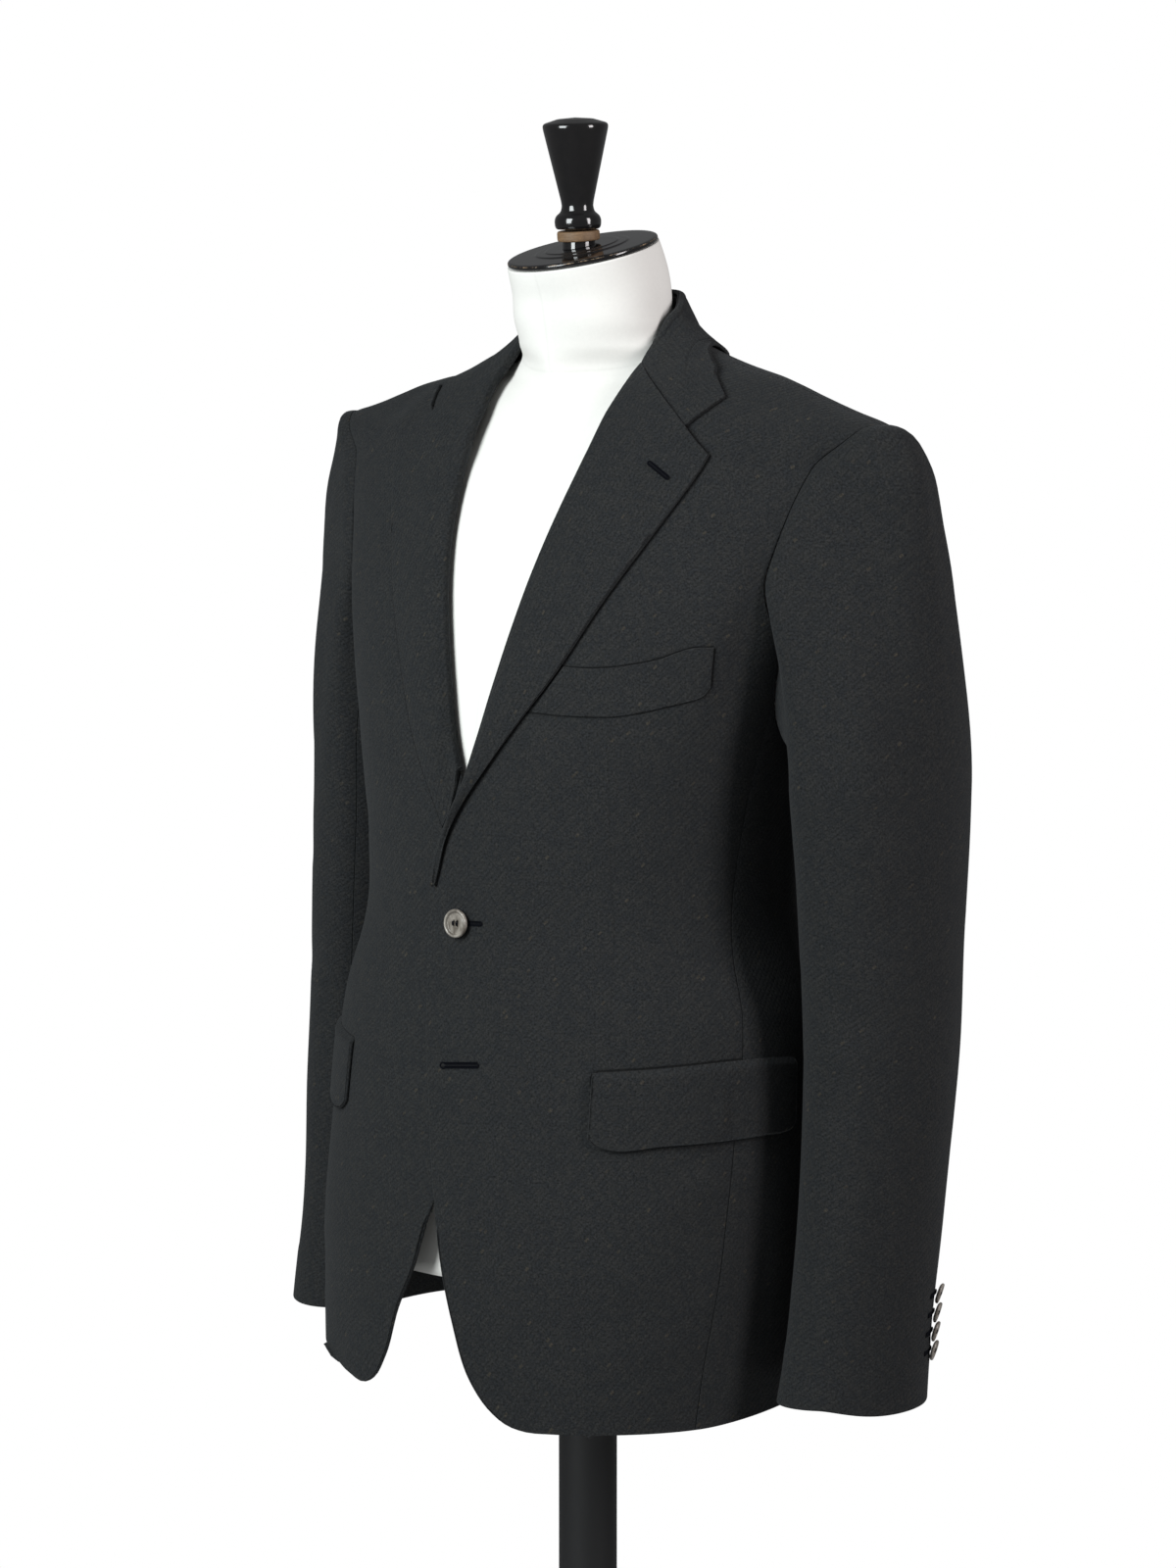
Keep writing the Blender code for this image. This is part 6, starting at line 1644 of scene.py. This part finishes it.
# ---------------------------------------------------------------- dress form and stand
FORM_ROWS = (
    (0.8530, 0.1520, -0.1470, 0.1100, 0.000, 2.30, 2.30),
    (0.9500, 0.1560, -0.1340, 0.1060, 0.002, 2.28, 2.30),
    (1.0300, 0.1500, -0.1250, 0.0930, 0.005, 2.25, 2.25),
    (1.0960, 0.1420, -0.1215, 0.0820, 0.008, 2.25, 2.25),
    (1.1600, 0.1480, -0.1250, 0.0880, 0.010, 2.35, 2.30),
    (1.2050, 0.1570, -0.1220, 0.0980, 0.012, 2.42, 2.35),
    (1.2500, 0.1680, -0.1145, 0.1060, 0.015, 2.45, 2.40),
    (1.3200, 0.1860, -0.0960, 0.1100, 0.018, 2.25, 2.35),
    (1.3650, 0.1940, -0.0800, 0.1040, 0.019, 1.95, 2.25),
    (1.3950, 0.1990, -0.0670, 0.0970, 0.020, 1.70, 2.00),
    (1.4150, 0.1995, -0.0560, 0.0890, 0.020, 1.45, 1.80),
    (1.4270, 0.1960, -0.0510, 0.0850, 0.020, 1.30, 1.65),
    (1.4385, 0.1830, -0.0480, 0.0790, 0.020, 1.14, 1.50),
    (1.4500, 0.1500, -0.0455, 0.0725, 0.020, 1.00, 1.35),
    (1.4580, 0.1100, -0.0440, 0.0680, 0.018, 0.98, 1.30),
    (1.4680, 0.0745, -0.0430, 0.0640, 0.014, 1.15, 1.40),
    (1.4820, 0.0592, -0.0435, 0.0615, 0.010, 1.70, 1.80),
    (1.4980, 0.0562, -0.0465, 0.0590, 0.006, 2.00, 2.00),
    (1.5190, 0.0550, -0.0500, 0.0570, 0.004, 2.00, 2.00),
    (1.5432, 0.0520, -0.0570, 0.0470, -0.005, 2.00, 2.00),
)
FORM_BOTTOM = FORM_ROWS[0][0]
NECK_TOP = FORM_ROWS[-1][0]
NECK_TILT = math.radians(13.2)
FORM_SHOULDER = 1.395
NECK_CENTRE = -0.005
NECK_LEVEL = 1.495  # the highest level section, above which they lean more and more
CAP_PROFILE = (
    (0.0000, 0.0000), (0.0514, 0.0000), (0.0523, 0.0010), (0.0523, 0.0030), (0.0505, 0.0038),
    (0.0328, 0.0041), (0.0322, 0.0049), (0.0258, 0.0050), (0.0252, 0.0057), (0.0000, 0.0057),
)
WASHER_PROFILE = (
    (0.0000, 0.0000), (0.0138, 0.0000), (0.0146, 0.0010), (0.0146, 0.0060), (0.0138, 0.0070),
    (0.0000, 0.0070),
)
KNOB_PROFILE = (
    (0.0000, 0.0000), (0.0146, 0.0000), (0.0158, 0.0022), (0.0160, 0.0062), (0.0150, 0.0090),
    (0.0117, 0.0118), (0.0107, 0.0155), (0.0113, 0.0195), (0.0222, 0.0676), (0.0225, 0.0702),
    (0.0214, 0.0718), (0.0120, 0.0747), (0.0000, 0.0756),
)
BASE_PROFILE = (
    (0.0000, 0.0000), (0.1890, 0.0000), (0.1900, 0.0010), (0.1900, 0.0070), (0.1870, 0.0100),
    (0.0420, 0.0130), (0.0320, 0.0180), (0.0310, 0.0440), (0.0290, 0.0460), (0.0000, 0.0460),
)
POLE_RADIUS = 0.0205
BOSS_HEIGHT = 0.0024  # at its middle, above the cap
TOP_FORWARD = 0.003  # how far the boss, washer and knob stand in front of the cap's centre
KNOB_TILT = 0.042
WASHER_TILT = 0.087  # radians
NECK_ROLL = 0.053  # how much the neck's top rises towards the wearer's left
PIECE_GAP = 0.0003  # between the hard pieces that rest on each other
KNOB_GAP = 0.0009  # more, because the knob leans over its washer
FORM_TURNS = 200
FORM_LEVELS = (70, 110)
NECK_SEAM = (1.4635, 0.020)  # height of the seam round the neck's base, and its rise to the back


def build_form():
    form = columns_of(SECTION_COLUMNS, FORM_ROWS)
    lower = np.linspace(FORM_BOTTOM, FORM_SHOULDER, FORM_LEVELS[0])
    upper = np.linspace(FORM_SHOULDER, NECK_TOP, FORM_LEVELS[1])[1:]
    turns = np.linspace(0, FULL_TURN, FORM_TURNS, endpoint=False)
    grid = section_point(form, turns, np.concatenate([lower, upper])[:, None])
    level = grid[..., 2].copy()
    lean = smoothstep((grid[..., 2] - NECK_LEVEL) / (NECK_TOP - NECK_LEVEL))
    rise = math.tan(NECK_TILT) * (grid[..., 1] - NECK_CENTRE) + NECK_ROLL * grid[..., 0]
    grid[..., 2] += lean * rise
    middle_low, middle_top = grid[0].mean(axis=0), grid[-1].mean(axis=0)
    rings = [grid[0] + (middle_low - grid[0]) * s for s in (0.999, 0.5, 0.012)]
    tops = [grid[-1] + (middle_top - grid[-1]) * s for s in (0.012, 0.5, 0.999)]
    full = np.concatenate([np.array(rings), grid, np.array(tops)])
    levels = np.concatenate([np.tile(level[:1], (3, 1)), level, np.tile(level[-1:], (3, 1))])
    quads, _ = ring_quads(len(full), FORM_TURNS)
    back = (1 - np.cos(turns)) / 2
    ring_at = levels - (NECK_SEAM[0] + NECK_SEAM[1] * back)[None, :]
    seams = {"across": full[..., 0].ravel(), "ring": ring_at.ravel()}
    made = object_of("dress_form", full.reshape(-1, 3), quads, LOOKS["linen"], measures=seams)
    own(made, "linen", "form_body")


def leaning(angle, roll=0.0):
    """An upright axis tipped by the angle, so that what it carries is highest behind."""
    return unit(np.array([-roll, -math.tan(angle), 1.0]))


def turned_piece(node, slot, profile, segments, fillet, place=(0, 0, 0), axis=(0, 0, 1)):
    """The visible shape of a turned piece, which carries how sharply its surface bends."""
    fine = finely(filleted(profile, fillet), 0.002)
    points, quads = lathe(fine, segments, place, axis)
    course = unit(np.gradient(fine, axis=0))
    bend = np.linalg.norm(np.gradient(course, axis=0), axis=1)
    bend = np.convolve(bend, (0.25, 0.5, 0.25), "same")
    measures = {"bend": np.repeat(np.clip(bend * 2.2, 0, 1), segments)}
    own(object_of(f"{node}_turned", points, quads, LOOKS[slot], measures=measures), slot, node)


def build_top():
    """The lacquered cap on the neck, and the washer and knob that sit over the boss in its middle."""
    axis = leaning(NECK_TILT, NECK_ROLL)
    cap_place = np.array([0, NECK_CENTRE, NECK_TOP]) + axis * SEAM_GAP
    turned_piece("neck_cap", "black_lacquer", CAP_PROFILE, 144, 0.0012, cap_place, axis)
    top = cap_place + axis * (CAP_PROFILE[-1][1] + PIECE_GAP)
    tilted = leaning(WASHER_TILT)
    washer = np.array([top[0], top[1] - TOP_FORWARD, top[2] + BOSS_HEIGHT + PIECE_GAP])
    turned_piece("cap_washer", "raw_wood", WASHER_PROFILE, 96, 0.0012, washer, tilted)
    knob = washer + tilted * (WASHER_PROFILE[-1][1] + KNOB_GAP)
    turned_piece("knob", "black_lacquer", KNOB_PROFILE, 112, 0.0014, knob, leaning(KNOB_TILT))


def build_foot():
    """The pole under the form, and the round plate that the whole part stands on."""
    turned_piece("base_plate", "black_steel", BASE_PROFILE, 192, 0.0015)
    foot = BASE_PROFILE[-1][1] + PIECE_GAP
    length = FORM_BOTTOM - PIECE_GAP - foot
    pole = ((0, 0), (POLE_RADIUS, 0), (POLE_RADIUS, length), (0, length))
    turned_piece("pole", "black_steel", pole, 72, 0.0005, (0, 0, foot))


# ---------------------------------------------------------------- materials
class Value:
    """A shader value that takes arithmetic. Each operation adds a math node."""

    def __init__(self, look, socket):
        self.look, self.socket = look, socket

    def __add__(self, other):
        return self.look.math("ADD", self, other)

    def __sub__(self, other):
        return self.look.math("SUBTRACT", self, other)

    def __rsub__(self, other):
        return self.look.math("SUBTRACT", other, self)

    def __mul__(self, other):
        return self.look.math("MULTIPLY", self, other)

    def __truediv__(self, other):
        return self.look.math("DIVIDE", self, other)

    def __pow__(self, other):
        return self.look.math("POWER", self, other)

    __radd__, __rmul__ = __add__, __mul__


class Look:
    """A material's nodes. Each call adds a node, with its inputs given as values or as sockets."""

    def __init__(self, name):
        self.material = bpy.data.materials.new(name)
        self.material.use_nodes = True
        self.tree = self.material.node_tree
        self.tree.nodes.clear()

    def put(self, socket, value):
        value = value.socket if isinstance(value, Value) else value
        if isinstance(value, bpy.types.NodeSocket):
            self.tree.links.new(value, socket)
        else:
            socket.default_value = value

    def node(self, kind, inputs=(), **settings):
        made = self.tree.nodes.new("ShaderNode" + kind)
        for key, value in settings.items():
            setattr(made, key, value)
        for key, value in dict(inputs).items():
            self.put(made.inputs[key], value)
        return made

    def math(self, operation, *values):
        return Value(self, self.node("Math", dict(enumerate(values)), operation=operation).outputs[0])

    def mixed(self, share, first, second):
        """A colour between two, by share."""
        return self.node("Mix", {0: share, 6: first, 7: second}, data_type="RGBA").outputs[2]

    def scaled(self, colour, by):
        """A colour made lighter or darker."""
        return self.node("VectorMath", {0: colour, 3: by}, operation="SCALE").outputs[0]

    def place(self, stretch=(1.0, 1.0, 1.0)):
        """Where a point lies in the object, which sits at the origin."""
        at = self.node("TexCoord").outputs["Object"]
        if stretch == (1.0, 1.0, 1.0):
            return at
        return self.node("Mapping", {"Vector": at, "Scale": stretch}).outputs[0]

    def split(self, vector):
        return [Value(self, socket) for socket in self.node("SeparateXYZ", {0: vector}).outputs]

    def noise(self, vector, scale, detail=2.0, roughness=0.5):
        inputs = {"Vector": vector, "Scale": scale, "Detail": detail, "Roughness": roughness}
        return Value(self, self.node("TexNoise", inputs).outputs[0])

    def chance(self, vector):
        """A random value for each whole-numbered cell."""
        return Value(self, self.node("TexWhiteNoise", {0: vector}, noise_dimensions="2D").outputs[0])

    def measure(self, name):
        return Value(self, self.node("Attribute", attribute_name=name).outputs["Fac"])

    def ramp(self, value, low, high):
        """0 below low, 1 above high and smooth between."""
        inputs = {0: value, 1: low, 2: high, 3: 0.0, 4: 1.0}
        return Value(self, self.node("MapRange", inputs, interpolation_type="SMOOTHSTEP").outputs[0])

    def line(self, measure, half_width):
        """1 on the line where a measure is nought, falling to 0 beside it."""
        away = self.measure(measure) / half_width
        return self.math("POWER", 2.718, away * away * -1.0)

    def done(self, shader_inputs, height, distance):
        bump = self.node("Bump", {"Height": height, "Distance": distance, "Strength": 1.0})
        shader = self.node("BsdfPrincipled", {**shader_inputs, "Normal": bump.outputs[0]})
        self.node("OutputMaterial", {"Surface": shader.outputs[0]})
        return self.material


RIB = 0.00345  # from one twill rib to the next
FLOAT = 0.0030  # length of a float along a rib
WOOL_COOL = (0.0146, 0.0162, 0.0178, 1.0)
WOOL_WARM = (0.0163, 0.0167, 0.0166, 1.0)
WOOL_FLECK = (0.055, 0.045, 0.030, 1.0)


def wool_look(name, marked=False):
    """Dark charcoal-green twill: ribs up to the right, each float its own shade, with flecks."""
    look = Look(name)
    cut = look.node("UVMap", uv_map="cut").outputs[0]
    u, v, _ = look.split(cut)
    across = u - v + (look.noise(cut, 90.0) - 0.5) * 0.0011
    ribs = across / (RIB * math.sqrt(2))
    rib = look.math("FLOOR", ribs)
    crest = look.math("SINE", (ribs - rib) * math.pi)
    run = (u + v) / (FLOAT * math.sqrt(2)) + rib * 0.37
    piece = look.math("FLOOR", run)
    along_float = look.math("SINE", (run - piece) * math.pi)
    cell = look.node("CombineXYZ", {0: rib, 1: piece}).outputs[0]
    shade = look.chance(cell)
    yarn = look.noise(cut, 720.0, 2.0, 0.7)
    fuzz = look.noise(cut, 3200.0, 2.0, 0.7)
    cloudy = look.noise(cut, 26.0, 3.0, 0.6)
    tone = (0.80 + crest**0.8 * 0.24) * (0.88 + shade * 0.24) * (yarn * 3.2 - 0.60)
    tone = tone * (0.50 + fuzz) * (0.90 + cloudy * 0.20)
    elsewhere = look.node("VectorMath", {0: cell, 1: (7.3, 3.1, 0.0)}, operation="ADD").outputs[0]
    tan_here = look.ramp(look.chance(elsewhere), 0.988, 0.994) * look.ramp(crest, 0.55, 0.9)
    hue = look.mixed(tan_here * 0.35, look.mixed(shade, WOOL_COOL, WOOL_WARM), WOOL_FLECK)
    colour = look.scaled(hue, tone)
    height = crest * 0.32 + along_float * 0.18 + yarn * 0.9 + fuzz * 0.35
    # With marked: painted shade, the pocket outlines darkened by 70% for the shade in the grooves where the
    # flap tucks in and the welt meets the front. The dart line is darkened by a tenth, and both lines are
    # sunk in the bump.
    if marked:
        sewn = look.line("dart", 0.0008) * 0.35 + look.line("pocket", 0.0008)
        colour = look.scaled(colour, 1.0 - look.line("pocket", 0.0010) * 0.70)
        colour = look.scaled(colour, 1.0 - look.line("dart", 0.0007) * 0.10)
        height = height - sewn * 1.6
    inputs = {
        "Base Color": colour,
        "Roughness": 0.88,
        "Specular IOR Level": 0.18,
        "Sheen Weight": 0.05,
        "Sheen Roughness": 0.45,
        "Sheen Tint": (0.92, 0.97, 1.0, 1.0),
    }
    return look.done(inputs, height, 0.00042)


def thread_look():
    """Dark navy buttonhole thread."""
    look = Look("buttonhole_thread")
    strand = look.noise(look.place(), 2600.0)
    shade = look.scaled((0.0030, 0.0035, 0.0060), 0.6 + strand * 0.8)
    return look.done({"Base Color": shade, "Roughness": 0.8, "Specular IOR Level": 0.08}, strand, 0.0001)


def slit_shade_look():
    # Painted shade: near-black colours for a buttonhole's opening, where the cloth beneath lies in shade.
    look = Look("buttonhole_slit_painted_shade")
    grain = look.noise(look.place(), 1800.0)
    shade = look.mixed(grain, (0.0015, 0.0017, 0.0020, 1), (0.004, 0.0042, 0.005, 1))
    return look.done({"Base Color": shade, "Roughness": 0.95}, grain, 0.0002)


def horn_look():
    look = Look("button_horn")
    cloud = look.noise(look.place((1.0, 1.0, 0.35)), 190.0, 4.0, 0.6)
    speck = look.noise(look.place(), 900.0, 3.0, 0.7)
    shade = look.mixed(look.ramp(cloud, 0.35, 0.65), (0.105, 0.090, 0.074, 1), (0.300, 0.275, 0.240, 1))
    inputs = {
        "Base Color": look.scaled(shade, 0.82 + speck * 0.36),
        "Roughness": 0.24 + speck * 0.22,
        "Coat Weight": 0.25,
        "Coat Roughness": 0.15,
    }
    return look.done(inputs, look.noise(look.place(), 1500.0, 3.0), 0.00003)


def linen_look():
    """The form's plain-woven cover, with its stitched seams."""
    look = Look("form_cover")
    at = look.place()
    x, y, z = look.split(at)
    pitch = math.tau / 0.0011
    weave = look.math("SINE", z * pitch) * look.math("SINE", (x + y * 0.7) * pitch)
    slub = look.noise(at, 420.0, 3.0, 0.6)
    seam = look.math("MAXIMUM", look.line("across", 0.0009), look.line("ring", 0.0009))
    beside = look.math("MAXIMUM", look.line("across", 0.0060), look.line("ring", 0.0060))
    shade = look.mixed(look.noise(at, 9.0, 3.0), (0.760, 0.750, 0.715, 1), (0.800, 0.790, 0.760, 1))
    shade = look.scaled(look.scaled(shade, 0.965 + slub * 0.07), 1.0 - seam * 0.05)
    height = weave * 0.12 + slub * 0.5 - seam * 0.7 + beside * 0.4
    return look.done({"Base Color": shade, "Roughness": 0.82, "Specular IOR Level": 0.25}, height, 0.00012)


def lacquer_look():
    """Glossy black over wood, rubbed through to the tan wood along its edges."""
    look = Look("worn_black_lacquer")
    at = look.place()
    patchy = look.noise(at, 130.0, 4.0, 0.65)
    fine = look.noise(at, 900.0, 3.0, 0.6)
    worn = look.ramp(look.measure("bend") * (0.25 + patchy * 1.3) + fine * 0.25, 0.62, 0.80)
    wood = look.mixed(fine, (0.20, 0.125, 0.065, 1), (0.38, 0.27, 0.16, 1))
    black = look.mixed(patchy, (0.0035, 0.0035, 0.004, 1), (0.010, 0.009, 0.009, 1))
    inputs = {
        "Base Color": look.mixed(worn, black, wood),
        "Roughness": 0.10 + worn * 0.5 + fine * 0.06,
        "Coat Weight": 0.5,
        "Coat Roughness": 0.06,
    }
    return look.done(inputs, patchy * 0.4 - worn, 0.0002)


def raw_wood_look():
    look = Look("bare_worn_wood")
    grain = look.noise(look.place((1.0, 1.0, 5.0)), 260.0, 4.0, 0.6)
    dirt = look.noise(look.place(), 120.0, 4.0, 0.7)
    shade = look.mixed(grain, (0.055, 0.030, 0.016, 1), (0.270, 0.165, 0.085, 1))
    return look.done({"Base Color": look.scaled(shade, 0.45 + dirt), "Roughness": 0.62}, grain, 0.0002)


def steel_look():
    look = Look("black_powder_coat")
    at = look.place()
    peel = look.noise(at, 700.0, 3.0, 0.6)
    dust = look.noise(at, 14.0, 4.0, 0.6)
    inputs = {
        "Base Color": look.mixed(dust, (0.0065, 0.0065, 0.007, 1), (0.012, 0.012, 0.0125, 1)),
        "Roughness": 0.38 + peel * 0.2,
        "Specular IOR Level": 0.4,
    }
    return look.done(inputs, peel, 0.00006)


def floor_look():
    """Pale, and gone towards the disc's rim, so that no edge shows."""
    look = Look("pale_floor")
    at = look.place()
    x, y, _ = look.split(at)
    away = look.math("SQRT", x**2.0 + y**2.0)
    inputs = {
        "Base Color": look.mixed(look.noise(at, 60.0, 3.0), (0.86, 0.86, 0.855, 1), (0.90, 0.90, 0.895, 1)),
        "Roughness": 0.7,
        "Alpha": 1.0 - look.ramp(away, 0.9, FLOOR_RADIUS - 0.02),
    }
    look.node("OutputMaterial", {"Surface": look.node("BsdfPrincipled", inputs).outputs[0]})
    return look.material


# By the part's material slot, or by a name of their own where only the looks have them.
LOOKS = {
    "wool": wool_look("coat_wool"),
    "hole_thread": thread_look(),
    # Painted shade for the buttonholes' openings.
    "slit": slit_shade_look(),
    "horn": horn_look(),
    "linen": linen_look(),
    "black_lacquer": lacquer_look(),
    "raw_wood": raw_wood_look(),
    "black_steel": steel_look(),
    # The fronts' wool, with painted shade in the pocket grooves.
    "wool_with_painted_groove_shade": wool_look("coat_wool_with_seams_and_painted_groove_shade", marked=True),
}


# ---------------------------------------------------------------- floor, light and camera
FLOOR_RADIUS = 2.0
CAMERA_AT = (2.1627, -2.6235, 1.59)
CAMERA_AZIMUTH = math.radians(39.5)
CAMERA_DOWN = math.atan(607 / 5000)
CAMERA_LENS = 113.33
AROUND = 0.14  # strength of the even light
AIM = 1.1  # height that the softboxes face
FLOOR_DEEP = 0.012


def add_floor():
    disc = ((0.0, -FLOOR_DEEP), (FLOOR_RADIUS, -FLOOR_DEEP), (FLOOR_RADIUS, 0.0), (0.0, 0.0))
    object_of("studio_floor", *lathe(disc, 128), floor_look())


def add_light(name, azimuth, distance, height, size, power, colour):
    """A softbox that faces the coat. Azimuth is measured as the camera's is."""
    lamp = bpy.data.lights.new(name, "AREA")
    lamp.shape = "RECTANGLE"
    lamp.size, lamp.size_y = size
    lamp.energy = power
    lamp.color = colour
    made = bpy.data.objects.new(name, lamp)
    angle = math.radians(azimuth)
    made.location = (distance * math.sin(angle), -distance * math.cos(angle), height)
    down = math.atan2(height - AIM, distance)
    made.rotation_euler = (math.pi / 2 - down, 0, angle)
    bpy.context.scene.collection.objects.link(made)


def add_world():
    """White behind the object, and a dimmer, even light from all round."""
    world = bpy.data.worlds.new("studio")
    world.use_nodes = True
    tree = world.node_tree
    tree.nodes.clear()
    rays = tree.nodes.new("ShaderNodeLightPath")
    mix = tree.nodes.new("ShaderNodeMixShader")
    out = tree.nodes.new("ShaderNodeOutputWorld")
    tree.links.new(rays.outputs["Is Camera Ray"], mix.inputs[0])
    for slot, colour, strength in ((1, (0.97, 0.985, 1.0, 1), AROUND), (2, (1, 1, 1, 1), 1.0)):
        light = tree.nodes.new("ShaderNodeBackground")
        light.inputs[0].default_value = colour
        light.inputs[1].default_value = strength
        tree.links.new(light.outputs[0], mix.inputs[slot])
    tree.links.new(mix.outputs[0], out.inputs[0])
    bpy.context.scene.world = world


def add_camera():
    lens = bpy.data.cameras.new("photo_camera")
    lens.lens = CAMERA_LENS
    lens.sensor_fit = "VERTICAL"
    lens.sensor_height = 36.0
    lens.clip_start, lens.clip_end = 0.05, 50.0
    made = bpy.data.objects.new("photo_camera", lens)
    made.location = CAMERA_AT
    made.rotation_euler = (math.pi / 2 - CAMERA_DOWN, 0, CAMERA_AZIMUTH)
    bpy.context.scene.collection.objects.link(made)
    bpy.context.scene.camera = made
    bpy.context.scene.view_settings.view_transform = "Standard"


def main():
    build_body()
    build_lapels()
    build_collar()
    build_sleeves()
    build_pockets()
    build_front_button()
    build_cuff_buttons()
    build_buttonholes()
    build_form()
    build_top()
    build_foot()
    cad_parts["cap_boss"].material_slots[0].material = LOOKS["black_lacquer"]
    add_floor()
    add_light("left_softbox", -6, 1.75, 1.90, (0.80, 1.4), 45, (0.95, 1.0, 1.01))
    add_light("right_softbox", 96, 1.75, 1.90, (0.45, 1.4), 24, (1.0, 0.96, 0.97))
    add_world()
    add_camera()


main()
